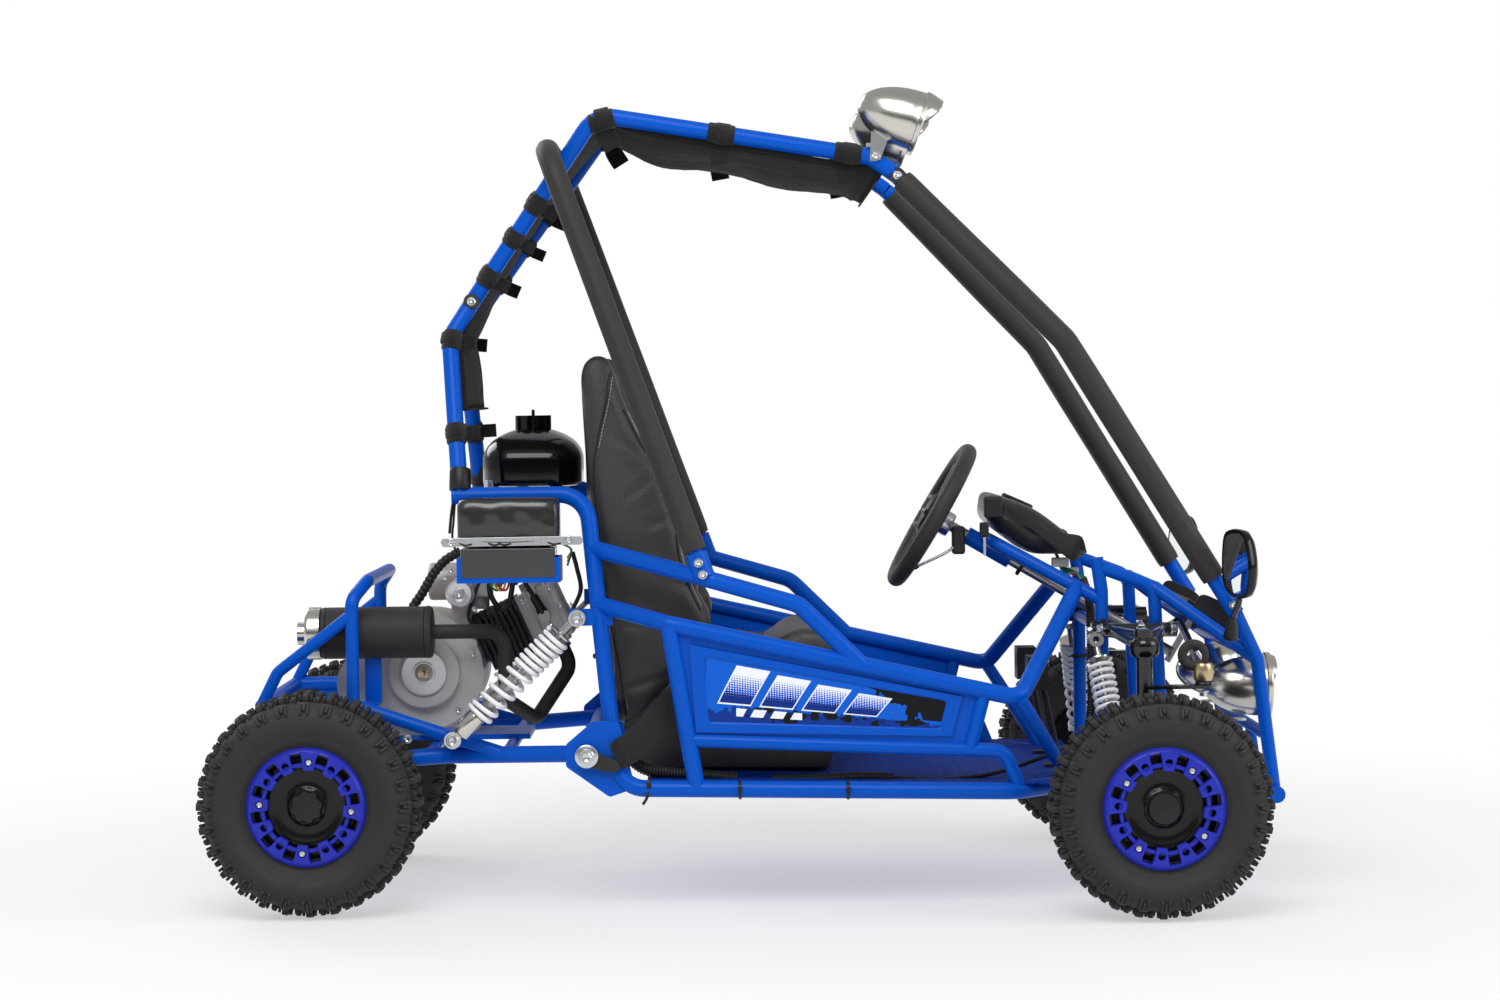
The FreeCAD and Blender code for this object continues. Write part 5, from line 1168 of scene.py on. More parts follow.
def shape_tree(mesh: Mesh) -> BVHTree:
    """A mesh's surface in the script's millimetres, to lay seams and films on."""
    faces = [list(face.vertices) for face in mesh.polygons]
    return BVHTree.FromPolygons(to_script(points_of(mesh)).tolist(), faces)


def laid(tree: BVHTree, points: Array, way: Array, lift: float = 0.4) -> Array:
    """Points carried along a direction onto a surface, lifted off it a little."""
    found = []
    for point in points:
        hit, normal, _, _ = tree.ray_cast(Vector(point - way * LAY_START), Vector(way), LAY_REACH)
        if hit is not None:
            found.append(np.array(hit) + np.array(normal) * lift)
    return np.array(found)


@dataclass
class Cage:
    """Canopy cloth with its straps, foam sleeves and the cage's bolts."""

    tube_radius: float = 12.5
    bend: float = 45.0
    cloth_wall: float = 1.6
    roof_route: Places = (
        (-395.5, -205, 609), (-413, -134, 846), (-376, -116, 905), (-187, -186, 1174), (222, -176, 1107),
        (262, -176, 1078))
    pillar_route: Places = ((262, -176, 1078), (505, -232, 828), (752, -252, 421))
    hoop_route: Places = ((-32, -330, 488), (-260, -224, 1123))
    strap_places: Places = (
        (-178, 1172, 40), (-1, 1143, 40), (188, 1112, 40), (-281, 1046, 30), (-312, 994, 26), (-350, 936, 30),
        (-401, 840, 30), (-397, 700, 30))
    pillar_foam: float = 18.0
    hoop_foam: float = 17.0

    def cloth(self) -> None:
        """The canopy, hung between the roof tubes.

        A point lies at the tube's line, drawn in from the tube, plus a sag of sag * (1 - u squared) square to
        the line, where u runs from -1 to 1 across, plus soft ripples and folds that fade from the edges.
        """
        line = resampled(route(self.roof_route, self.bend), 110)
        length = np.linspace(0, 1, len(line))
        start, end = share_near(line, -404, 730), 0.985
        keep = (length >= start) & (length <= end)
        line, length = line[keep], length[keep]
        slope = unit(np.gradient(line, axis=0) * [1, 0, 1])
        down = np.stack([slope[:, 2], np.zeros(len(line)), -slope[:, 0]], -1)
        marks = sorted(share_near(line, x, z) for x, z, _ in self.strap_places) + [1.0]
        along = np.linspace(0, 1, len(line))
        gap = np.interp(along, marks, np.arange(len(marks)))
        scallop = np.sin(np.pi * gap) ** 2
        u = np.linspace(-1, 1, 57)
        half = np.abs(line[:, 1]) - 2
        fade = 1 - np.abs(u) ** 2.2
        roof = line[:, 0] + 187
        middle = np.interp(roof, [-226, -150, -70, 0, 60, 320, 400], [27, 8, 2, 14, 40, 44, 50])
        middle = np.where(line[:, 2] < 846, 29, middle)
        rim = np.interp(roof, [-226, -150, -20, 60, 400], [12, -6, -6, 13, 15])
        rim = np.where(line[:, 2] < 846, 13, rim)
        size = np.interp(roof, [-60, 40], [0.25, 1.0])
        middle, rim, size = (smooth_row(values, 5) for values in (middle, rim, size))
        depth = (middle - rim) + 7 * size * scallop
        drop = rim[:, None] + (6 * size * scallop)[:, None] * (1 - fade) + depth[:, None] * fade
        points = np.stack([np.broadcast_to(line[:, :1], drop.shape), half[:, None] * u,
                           np.broadcast_to(line[:, 2:], drop.shape)], -1)
        folds = 3.0 * np.cos(gap * 2 * np.pi)[:, None] * np.abs(u) ** 3
        waves = 3.2 * ripple(points.reshape(-1, 3), 150, 4).reshape(drop.shape) * np.sqrt(fade + 0.05)
        pulls = 1.5 * ripple(points.reshape(-1, 3) * [1, 2.5, 1], 46, 9).reshape(drop.shape)
        pulls *= np.sqrt(fade + 0.02)
        drop = drop + (folds + waves + pulls) * size[:, None]
        points = points + down[:, None] * drop[..., None]
        made = piece("canopy_cloth", grid(points), CANOPY_CLOTH, replaces=("canopy",), sharp=80)
        wall = made.modifiers.new("wall", "SOLIDIFY")
        wall.thickness = self.cloth_wall * MM
        wall.offset = 0
        hems = [carried(points[:, at], flat_profile(11, 3.4, 4, 14)) for at in (0, -1)]
        hems += [carried(points[at], flat_profile(14, 3.4, 4, 14)) for at in (0, -1)]
        piece("canopy_hems", joined(*hems), CANOPY_CLOTH, sharp=60)

    def straps(self) -> None:
        """Hook and loop straps round the roof tubes with their free ends, and rubber caps at the feet."""
        line = resampled(route(self.roof_route, self.bend), 500)
        made = []
        for x, z, width in self.strap_places:
            share = share_near(line, x, z)
            made.append(bands(line, self.tube_radius, [share], width, 2.4))
            made.append(bands(line, self.tube_radius + 2.0, [share + 0.002], width * 0.55, 1.9))
        piece("canopy_straps", both(joined(*made)), WEBBING, sharp=50)
        tabs = []
        for x, z, width in self.strap_places:
            nearest = np.argmin(np.hypot(line[:, 0] - x, line[:, 2] - z))
            spot = line[nearest]
            run = unit((line[min(nearest + 1, len(line) - 1)] - line[nearest - 1]) * [1, 0, 1])
            down = vec(run[2], 0, -run[0])
            reach = 46.0 if x > -200 else 30.0
            path = [spot + down * 13 + vec(0, 2, 0), spot + down * 0.6 * reach + vec(0, 5, 0),
                    spot + down * reach + vec(6, 8, 0)]
            tabs.append(carried(flowing(path, 12), flat_profile(width * 0.7, 2.2, 5, 16), across=run))
        piece("canopy_strap_ends", both(joined(*tabs)), WEBBING, sharp=50)
        foot = line[0] + vec(0, 0, 8)
        cap = revolved([(0, 12.6), (0, 15.5), (2, 16.4), (30, 15.8), (33, 14.6), (33, 12.6)], foot,
                       vec(0, 0.25, 1), 32)
        piece("tube_foot_caps", both(cap), BLACK_PLASTIC)

    def foam(self) -> None:
        """Split foam sleeves: a tube whose wall dips along its slit and swells unevenly."""
        angle = full_turn(72)
        slit = 1 - 0.075 * np.exp(-((angle - 3.9) / 0.055) ** 2) - 0.01 * np.cos(2 * angle)
        outline = np.stack([np.cos(angle), np.sin(angle)], -1) * slit[:, None]
        foot, bend, top = (vec(*p) for p in self.pillar_route[::-1])
        pillar = resampled(route([mix(top, bend, 0.03), bend, mix(foot, bend, 0.13)], self.bend), 90)
        low, high = (vec(*p) for p in self.hoop_route)
        start = mix(low, high, 0.062)
        flip = np.array([1, -1, 1])
        hoop = resampled(route([start, high, high * flip, start * flip], 70), 170)
        for name, path, radius, seed, across in (("pillar_foam", pillar, self.pillar_foam, 3, LEFT),
                                                 ("hoop_foam", hoop, self.hoop_foam, 8, None)):
            size = radius * (1 + 0.018 * ripple(path, 170, seed))
            size[[0, -1]] *= 0.955
            sleeve = carried(path, outline, across=across, scale=size)
            made = piece(name, sleeve if across is None else both(sleeve), BLACK_FOAM,
                         replaces=("cage_foam",), sharp=70)

    def bolted(self) -> None:
        """Bolts of the cage's joints, with black washers, and of the sockets."""
        places = np.array([(-380, -131, 900), (262, -188, 1078), (-35, -346, 494), (-41, -344, 511),
                           (746, -267, 434)], float)
        way = unit(vec(0, -1, 0.15))
        piece("cage_bolts", both(bolts(places, way, 6.6)), ZINC)
        washer = revolved([(-2.4, 0), (-2.4, 12), (0, 12), (1.0, 11), (1.0, 5)], vec(0, 0, 0), UP, 28)
        washers = copies(washer, places[:2], np.stack([turn_to(way)] * 2))
        piece("cage_washers", both(washers), BLACK_PLASTIC)

    def build(self) -> None:
        """Makes the cage's soft parts and fasteners."""
        self.cloth()
        self.straps()
        self.foam()
        self.bolted()


@dataclass
class Seat:
    """Padded seat with bolsters, its seams and the lap belt."""

    half: float = 195.0
    shell_half: float = 187.0
    bolster: float = 60.0
    shell_outline: Outline = (
        (-160, 262), (-136, 196), (150, 191), (178, 330), (40, 315), (-120, 300))
    back_outline: Outline = (
        (-190, 817), (-206, 812), (-217, 792), (-216, 740), (-212, 660), (-206, 567), (-194, 500),
        (-183, 445), (-176, 357), (-168, 290), (-160, 262), (-125, 270), (-98, 300), (-60, 345), (-26, 392),
        (-22, 425), (-38, 463), (-58, 540), (-88, 640), (-108, 675), (-128, 707), (-150, 755), (-166, 795),
        (-176, 812))
    pad_outline: Outline = (
        (-190, 812), (-208, 802), (-212, 780), (-208, 680), (-203, 567), (-180, 440), (-172, 357),
        (-162, 285), (-148, 270), (-122, 280), (-128, 357), (-142, 450), (-160, 567), (-166, 680),
        (-170, 760), (-178, 800))
    seam: Outline = (
        (-170, 790), (-178, 740), (-190, 690), (-197, 640), (-192, 546), (-179, 440), (-164, 354),
        (-154, 276))
    front_seam: Outline = (
        (-152, 735), (-126, 682), (-99, 645), (-83, 610), (-76, 566), (-72, 519), (-58, 471), (-40, 432))
    creases: tuple[tuple[float, float, float, float], ...] = (
        (-190, 305, -60, 345), (-196, 420, -120, 408), (-120, 560, -70, 575), (-100, 640, -150, 600),
        (-170, 700, -120, 660), (-195, 500, -150, 520), (-90, 480, -30, 455))
    cushion_outline: Outline = (
        (-118, 330), (-60, 343), (20, 354), (62, 372), (92, 391), (128, 399), (164, 391), (183, 370),
        (186, 345), (180, 320), (150, 312), (40, 300), (-60, 290), (-118, 285), (-128, 300))

    def pad(self, name: str, outline: Outline, low: float, high: float, edge: float,
            crown: float, replaces: tuple[str, ...] = ()) -> Object:
        """A swollen vinyl pad of a side view outline."""
        made = piece(name, pillow(rounded_loop(list(outline), 130), low, high, edge, crown), BLACK_VINYL,
                     "root", replaces, sharp=80)
        puffed(made, 6.0, 3.0, 5.0)
        smoothed(made, 0.5, 3)
        return made

    def build(self) -> None:
        """Makes the pads, seams and belt."""
        self.pad("seat_back_pad", self.pad_outline, -self.half + 45, self.half - 45, 12, 2, ("seat_back",))
        for side, label in SIDES:
            low, high = sorted((side * (self.half - 4), side * (self.half - self.bolster)))
            made = self.pad(f"seat_bolster_{label}", self.back_outline, low, high, 15, 4, ("seat_back",))
            self.creased(made)
            self.stitched(made, side, label, "rear", self.seam)
            self.stitched(made, side, label, "front", self.front_seam)
        self.pad("seat_cushion", self.cushion_outline, -self.half + 6, self.half - 6, 16, 5, ("seat_base",))
        shell = slab([vec(x, -self.shell_half, z) for x, z in self.shell_outline], 2 * self.shell_half * LEFT)
        made = piece("seat_shell", shell, BLACK_VINYL, replaces=("seat_base",), sharp=30, bevel=7)
        self.belt()

    def creased(self, made: Object) -> None:
        """Soft folds in the vinyl: each sinks as exp(-(distance / 4.5)^2) with a low swelling on either side.

        Args:
            made: the pad, whose points move along their normals.
        """
        points = points_of(made.data)
        flat = to_script(points)[:, [0, 2]]
        normal = np.empty(len(points) * 3)
        made.data.vertex_normals.foreach_get("vector", normal)
        sink = 0.7 * ripple(points / MM, 70, 11)
        for x0, z0, x1, z1 in self.creases:
            run = np.array([x1 - x0, z1 - z0], float)
            share = np.clip(((flat - [x0, z0]) @ run) / (run @ run), 0, 1)
            away = np.linalg.norm(flat - [x0, z0] - share[:, None] * run, axis=1)
            fade = np.sin(np.pi * np.clip(share, 0.04, 0.96)) ** 0.6
            sink -= fade * (2.6 * np.exp(-(away / 4.5) ** 2) - 1.2 * np.exp(-((away - 13) / 8) ** 2))
        reshape(made.data, points + normal.reshape(-1, 3) * sink[:, None] * MM)

    def stitched(self, made: Object, side: float, label: str, name: str, seam: Outline) -> None:
        """A piped seam down the side of a bolster with its row of stitches."""
        line = resampled(flowing([vec(x, side * self.half, z) for x, z in seam], 90), 90)
        path = laid(shape_tree(made.data), line, vec(0, -side, 0), 0.2)
        if len(path) > 4:
            piece(f"seat_piping_{name}_{label}", carried(path, ring_profile(1.7, 10)), BLACK_PLASTIC,
                  sharp=80)
            marks = resampled(path, 96)[2:-2] + vec(4.5, side * 0.8, 1.5)
            grain = carried(np.array([vec(0, 0, -1.9), vec(0, 0, 0), vec(0, 0, 1.9)]), ring_profile(0.6, 6))
            slope = np.gradient(marks, axis=0)
            turns = np.stack([turn_to(w) for w in slope])
            piece(f"seat_stitches_{name}_{label}", copies(grain, marks, turns), STITCH)

    def belt(self) -> None:
        """Lap belt: a strap from each anchor up over the cushion, with its buckle and anchor plates."""
        right = [vec(-168, -321, 229), vec(-152, -316, 236), vec(-124, -292, 256), vec(-92, -245, 284),
                 vec(-40, -208, 322), vec(0, -202, 344), vec(24, -190, 364), vec(44, -150, 374),
                 vec(48, -70, 372), vec(46, 0, 369)]
        path = flowing(right, 90)
        across = np.stack([np.interp(np.linspace(0, 1, 90), [0, 0.45, 0.75, 1], v)
                           for v in ([0.34, 0.7, 0.95, 1.0], [0, 0.1, 0.2, 0], [-0.94, -0.7, -0.1, 0.16])],
                           -1)
        narrow = np.interp(np.linspace(0, 1, 90), [0, 0.06], [0.8, 1])
        strap = carried(path, flat_profile(44, 2.6, 6, 18), across=unit(across), scale=narrow)
        piece("lap_belt", both(strap), WEBBING, replaces=("seat_belts",), sharp=50)
        buckle = block(vec(18, -32, 361), vec(76, 30, 377))
        piece("belt_buckle", buckle, BLACK_PLASTIC, sharp=30, bevel=4)
        piece("belt_button", block(vec(28, 20, 375), vec(66, 28, 378)), RED_BUTTON, sharp=30, bevel=1.5)
        plate = looped(np.array([vec(x, -323.5, z) for x, z in (
            (-222, 230), (-214, 240), (-200, 239), (-184, 232), (-164, 222), (-160, 210), (-172, 206),
            (-188, 209), (-206, 215), (-220, 221))]), 60)
        piece("belt_anchors", both(slab(plate, vec(0, 3, 0))), BLACK_CAST, sharp=30, bevel=0.8)


@dataclass(frozen=True)
class SplashFinish(Finish):
    """Printed film: slanted block stripes that fade from white through dots to blue, with dark splashes."""

    def colour_into(self, tree: NodeTree, socket: NodeSocket, coords: NodeSocket) -> None:
        """Colour from the film's own across and up values: stripes, dots and splashes in layers.

        Args:
            tree: the material's nodes.
            socket: colour input that takes the result.
            coords: Object coordinates for the noise.
        """
        nodes, links = tree.nodes, tree.links
        split = nodes.new("ShaderNodeSeparateXYZ")
        links.new(nodes.new("ShaderNodeTexCoord").outputs["UV"], split.inputs[0])
        u, v = split.outputs["X"], split.outputs["Y"]
        times, plus, less, over, under = calculators(
            tree, "MULTIPLY", "ADD", "SUBTRACT", "GREATER_THAN", "LESS_THAN")
        whole, rest, size, sine, most = calculators(tree, "FLOOR", "FRACT", "ABSOLUTE", "SINE", "MAXIMUM")

        def within(value: object, low: float, high: float) -> NodeSocket:
            """One where a value lies between two limits."""
            return times(over(value, low), under(value, high))

        def layer(base: object, top: tuple[float, float, float], mask: object) -> NodeSocket:
            """A colour laid over another where the mask is one."""
            blend = nodes.new("ShaderNodeMix")
            blend.data_type = "RGBA"
            links.new(mask, blend.inputs["Factor"])
            if isinstance(base, tuple):
                blend.inputs["A"].default_value = linear(base)
            else:
                links.new(base, blend.inputs["A"])
            blend.inputs["B"].default_value = linear(top)
            return blend.outputs["Result"]

        noise = noise_node(tree, coords, 60.0, 8.0)
        slant = less(times(u, 5.6), times(v, 0.75))
        phase = rest(slant)
        limits = within(slant, 0.0, 4.0)
        top = less(0.92, times(whole(slant), 0.045))
        band = times(over(v, 0.28), under(v, top))
        stripe = times(times(within(phase, 0.12, 0.92), band), limits)
        slim = times(over(v, 0.305), under(v, less(top, 0.025)))
        core = times(times(within(phase, 0.15, 0.89), slim), limits)
        rows = times(sine(times(u, 280.0)), sine(times(v, 84.0)))
        grow = less(1.0, times(less(v, 0.42), 2.8))
        pale = over(size(rows), grow)
        solid = over(v, 0.78)
        deep = under(plus(v, times(noise, 0.5)), 0.46)
        shade = layer(self.rgb, (0, 50, 140), deep)
        splash = less(noise, times(size(less(v, 0.2)), 1.1))
        shade = layer(shade, (9, 11, 16), times(over(splash, 0.43), within(u, 0.16, 0.95)))
        corner = plus(plus(u, times(v, 0.3)), times(noise, 0.3))
        shade = layer(shade, (9, 11, 16), times(over(corner, 1.17), over(v, 0.3)))
        shade = layer(shade, (236, 240, 246), stripe)
        shade = layer(shade, (0, 84, 206), core)
        shade = layer(shade, (0, 44, 130), times(core, under(plus(v, times(noise, 0.3)), 0.62)))
        shade = layer(shade, (238, 242, 248), times(core, most(pale, solid)))
        small = within(rest(times(slant, 2.1)), 0.18, 0.82)
        shade = layer(shade, (236, 240, 246), times(times(within(v, 0.1, 0.23), small),
                                                   within(u, 0.14, 0.42)))
        links.new(shade, socket)


@dataclass(frozen=True)
class PressedFinish(Finish):
    """Paint on a plate with a pressed wavy grip pattern on its upper side."""

    def material(self) -> Material:
        """The paint's material with the pattern's height: crossed sine waves whose phase bends along X."""
        known = bpy.data.materials.get(self.name)
        made = super().material()
        if known is None:
            tree = made.node_tree
            split = tree.nodes.new("ShaderNodeSeparateXYZ")
            tree.links.new(tree.nodes.new("ShaderNodeTexCoord").outputs["Object"], split.inputs[0])
            times, plus, sine = calculators(tree, "MULTIPLY", "ADD", "SINE")
            bend = times(sine(times(split.outputs["X"], 300.0)), 1.5)
            wave = sine(plus(times(split.outputs["Y"], 330.0), bend))
            bump = tree.nodes.new("ShaderNodeBump")
            bump.inputs["Strength"].default_value = 0.9
            bump.inputs["Distance"].default_value = 0.0022
            tree.links.new(wave, bump.inputs["Height"])
            tree.links.new(bump.outputs["Normal"], tree.nodes["Principled BSDF"].inputs["Normal"])
        return made


PRINTED_FILM = SplashFinish("printed_film", (0, 92, 206), 0.3, "blue_plastic", specular=0.12, coat=0.1,
                            drift=0.02,
                           dust=0.0)
FLOOR_PAINT = PressedFinish("pressed_floor_paint", (0, 52, 150), 0.5, "frame_paint", specular=0.06)


@dataclass
class Body:
    """Side panel skins and films, fasteners, cable ties, conduit, battery case and its soft cover."""

    film: Outline = ((-37, 279), (306, 259), (322, 307), (-31, 378))
    skin: Outline = ((-48, 263), (325, 252), (341, 310), (-56, 392))
    skin_lift: float = 4.5
    field_depth: float = 3.2
    field_round: float = 10.0
    field_slope: float = 5.0
    panel_out: float = 330.0

    def spread(self, corners: Outline, columns: int, rows: int) -> tuple[Array, Array, Array]:
        """Table of points between four corners in side view.

        Args:
            corners: rear low, front low, front high and rear high corner.
            columns: points along the panel.
            rows: points up the panel.

        Returns:
            The shares u along and v up, from 0 to 1, and the points.
        """
        u, v = np.meshgrid(np.linspace(0, 1, columns), np.linspace(0, 1, rows))
        a, b, c, d = (vec(x, 0, z) for x, z in corners)
        low = a + (b - a) * u[..., None]
        high = d + (c - d) * u[..., None]
        return u, v, low + (high - low) * v[..., None]

    def on_panel(self, points: Array, side: float, lift: float) -> Array:
        """Points carried sideways onto a side panel, as rows."""
        tree = shape_tree(frame["nodes"]["side_panels"].data)
        start = (points + vec(0, side * self.panel_out, 0)).reshape(-1, 3)
        return laid(tree, start, vec(0, -side, 0), lift)

    def pressings(self) -> None:
        """Outer skin of each side panel: a flat border round a sunken field with rounded corners.

        With d the distance inside the field's edge over the width of its slope, from 0 to 1, the skin sinks
        by depth * d * d * (3 - 2 * d).
        """
        for side, label in SIDES:
            u, v, points = self.spread(self.skin, 141, 65)
            edge = np.abs(np.stack([(u - 0.5) * 2 * 198, (v - 0.5) * 2 * (72 - 24 * u)], -1))
            half = np.stack([np.full_like(u, 198 - 17), 72 - 24 * u - 14], -1) - self.field_round
            outside = np.linalg.norm(np.maximum(edge - half, 0), axis=-1) - self.field_round
            step = np.clip(-outside / self.field_slope, 0, 1)
            sunk = self.field_depth * step * step * (3 - 2 * step)
            spots = self.on_panel(points, side, 0.0)
            spots[:, 1] = self.flattened(spots) + side * (self.skin_lift - sunk.ravel())
            piece(f"side_skin_{label}", grid(spots.reshape(*u.shape, 3)), BLUE_PAINT, sharp=60, weld=1e-7)

    def films(self) -> None:
        """A printed film in each side panel's sunken field."""
        for side, label in SIDES:
            u, _, points = self.spread(self.film, 61, 19)
            spots = self.on_panel(points, side, 0.7)
            spots[:, 1] = self.flattened(spots) + side * (self.skin_lift - self.field_depth + 0.4)
            made = piece(f"side_film_{label}", grid(spots.reshape(*u.shape, 3)), PRINTED_FILM, weld=1e-7)
            self.unwrapped(made.data)

    def flattened(self, spots: Array) -> Array:
        """Distance across of a plane fitted to the spots: the least squares plane in x and z."""
        table = np.stack([spots[:, 0], spots[:, 2], np.ones(len(spots))], -1)
        fit = np.linalg.lstsq(table, spots[:, 1], rcond=None)[0]
        plane = table @ fit
        outward = np.sign(plane.mean())
        return plane + outward * max(0.0, float(((spots[:, 1] - plane) * outward).max()))

    def unwrapped(self, mesh: Mesh) -> None:
        """Across and up values of a film's points, as its texture map."""
        (x0, z0), (x1, z1), (_, z2), (_, z3) = self.film
        x, _, z = to_script(points_of(mesh)).T
        u = (x - x0) / (x1 - x0)
        low, high = z0 + (z1 - z0) * u, z3 + (z2 - z3) * u
        v = (z - low) / (high - low)
        corner = np.empty(len(mesh.loops), int)
        mesh.loops.foreach_get("vertex_index", corner)
        layer = mesh.uv_layers.new(name="film")
        layer.data.foreach_set("uv", np.stack([u, v], -1)[corner].ravel())

    def ties(self) -> None:
        """Cable ties round the rail and posts, each with its head, and one tail."""
        rings = []
        for spot, way, radius in (
                (vec(15, -308, 176.5), AHEAD, 12.5), (vec(173, -308, 174), AHEAD, 12.5),
                (vec(-118, -306, 184), vec(1, 0, -0.1), 12.7),
                (vec(-186, -249, 372), vec(0.13, -0.3, -1), 12.5), (vec(563, -163, 405), UP, 12.5),
                (vec(563, -163, 329), UP, 12.5)):
            line = np.stack([spot - unit(way) * 10, spot + unit(way) * 10])
            rings.append(bands(line, radius, [0.5], 4.5, 1.5))
            head = block(vec(-3.2, -3, -3.4), vec(3.2, 3, 3.4))
            rings.append(head.moved(spot + vec(0, -radius - 1.6, 2)))
        tail = carried(flowing([vec(-119, -319, 178), vec(-121, -321, 168), vec(-127, -319, 158)], 14),
                       flat_profile(4.4, 1.3, 4, 12), across=AHEAD)
        piece("cable_ties", both(joined(*rings, tail)), BLACK_PLASTIC, sharp=50)

    def conduit(self) -> None:
        """Ribbed conduit inside the right rail, and the plain wires that leave it."""
        rear = corrugated([vec(-166, -272, 236), vec(-146, -277, 221), vec(-124, -280, 206),
                           vec(-92, -281, 200), vec(-40, -279, 195), vec(10, -276, 190)], 8.2, 1.3, 44)
        front = corrugated([vec(60, -274, 187), vec(134, -273, 187), vec(185, -272, 189),
                            vec(240, -270, 187)],
                           6.6, 1.1, 44)
        piece("rail_conduit", joined(rear, front), BLACK_PLASTIC, sharp=70)
        cord = cable([vec(236, -270, 187), vec(317, -262, 182), vec(398, -246, 190), vec(478, -214, 212),
                      vec(530, -180, 226)], 3.2)
        piece("rail_wire", cord, BLACK_PLASTIC)

    def fasteners(self) -> None:
        """Pivot bolts with their washers, bolts of the brackets and of the shock eyes."""
        places = [vec(-208, -326, 230), vec(-478, -222, 249)]
        heads = [bolts(places[:1], RIGHT, 11.5), bolts(places[1:], RIGHT, 6.5)]
        washer = revolved([(0, 6), (0, 17), (2, 17), (2.6, 16), (2.6, 6)], vec(-208, -323.6, 230), RIGHT, 36)
        piece("pivot_bolts", both(joined(*heads, washer)), ZINC)
        eyes = bolts([vec(-221, -285.5, 429), vec(-406, -285.5, 252)], RIGHT, 9.5)
        discs = [revolved([(0, 4), (0, 12.5), (1.6, 12.5), (1.6, 4)], vec(x, -284, z), RIGHT, 32)
                 for x, z in ((-221, 429), (-406, 252))]
        piece("shock_bolts", both(joined(eyes, *discs)), ZINC)
        spacers = [revolved([(0, 0), (0, 9), (13, 9), (13, 0)], vec(x, y, 617), UP, 28)
                   for x in (-358, -308) for y in (-110, 110)]
        piece("tank_spacers", joined(*spacers), ZINC)

    def cover(self) -> None:
        """Soft cover over the battery: a bag that bulges at its front, pulled in at its corners and hem."""
        low, high = box_mm("battery_cover")
        case = block(vec(-391, -276.4, 489), vec(-252, -204, 533))
        piece("battery_case", case, BATTERY_CASE, replaces=("battery",), sharp=30, bevel=2.0)
        u = np.linspace(-1, 1, 41)
        x = (low[0] + high[0]) / 2 + u * (high[0] - low[0]) / 2 * 0.985
        t = full_turn(48)
        outline = np.stack([-np.cos(t), np.sin(t)], -1)
        outline /= (np.abs(outline) ** 5).sum(1, keepdims=True) ** (1 / 5)
        depth, height = (high[1] - low[1]) / 2 - 1, (high[2] - low[2]) / 2 - 1.5
        pinch = 1 - 0.16 * np.abs(u) ** 9
        y = outline[None, :, 0] * depth * pinch[:, None]
        z = outline[None, :, 1] * height * (1 - 0.10 * np.abs(u[:, None]) ** 10)
        front = outline[None, :, 0] < -0.5
        sink = 3.5 * np.exp(-((outline[None, :, 1] + 0.45) / 0.14) ** 2) * (1 - u[:, None] ** 8)
        y = y + np.where(front, sink, 0)
        points = np.stack([np.broadcast_to(x[:, None], y.shape), y + (low[1] + high[1]) / 2,
                           z + (low[2] + high[2]) / 2], -1)
        soft = 1.3 * ripple(points.reshape(-1, 3), 42, 5).reshape(y.shape)
        points[..., 1] += np.where(front, soft, 0)
        points[..., 2] -= 0.7 * np.abs(soft)
        made = piece("battery_bag", closed_ends(points), COVER_VINYL, replaces=("battery_cover",), sharp=70)
        smoothed(made, 0.4, 2)
        hem = [vec(low[0] + 4, low[1] - 0.4, 545), vec(-320, low[1] - 1.4, 542),
               vec(high[0] - 4, low[1] - 0.4, 545)]
        piece("battery_bag_seam", carried(flowing(hem, 60), ring_profile(1.1, 8)), BLACK_VINYL)
        laces = [cable([vec(x0, low[1] - 1, 541), vec(x0 + 9, low[1] - 2.6, 538),
                        vec(x0 + 19, low[1] - 1, 540)], 1.5, 8, 16)
                 for x0 in (-392, -350, -335, -262)]
        piece("battery_laces", joined(*laces), BLACK_PLASTIC)
        bar = slab([vec(x, low[1] - 2, z) for x, z in ((-416, 549), (-420, 543), (-416, 536), (-214, 537),
                                                       (-210, 543), (-214, 550))], vec(0, 1.6, 0))
        ears = bolts([vec(-404, low[1] - 2.2, 542), vec(-231, low[1] - 2.2, 544)], RIGHT, 6.5)
        piece("battery_clamp", joined(bar, ears), ZINC, sharp=30, bevel=0.6)

    def build(self) -> None:
        """Makes the body's details."""
        self.pressings()
        self.films()
        self.ties()
        self.conduit()
        self.fasteners()
        self.cover()


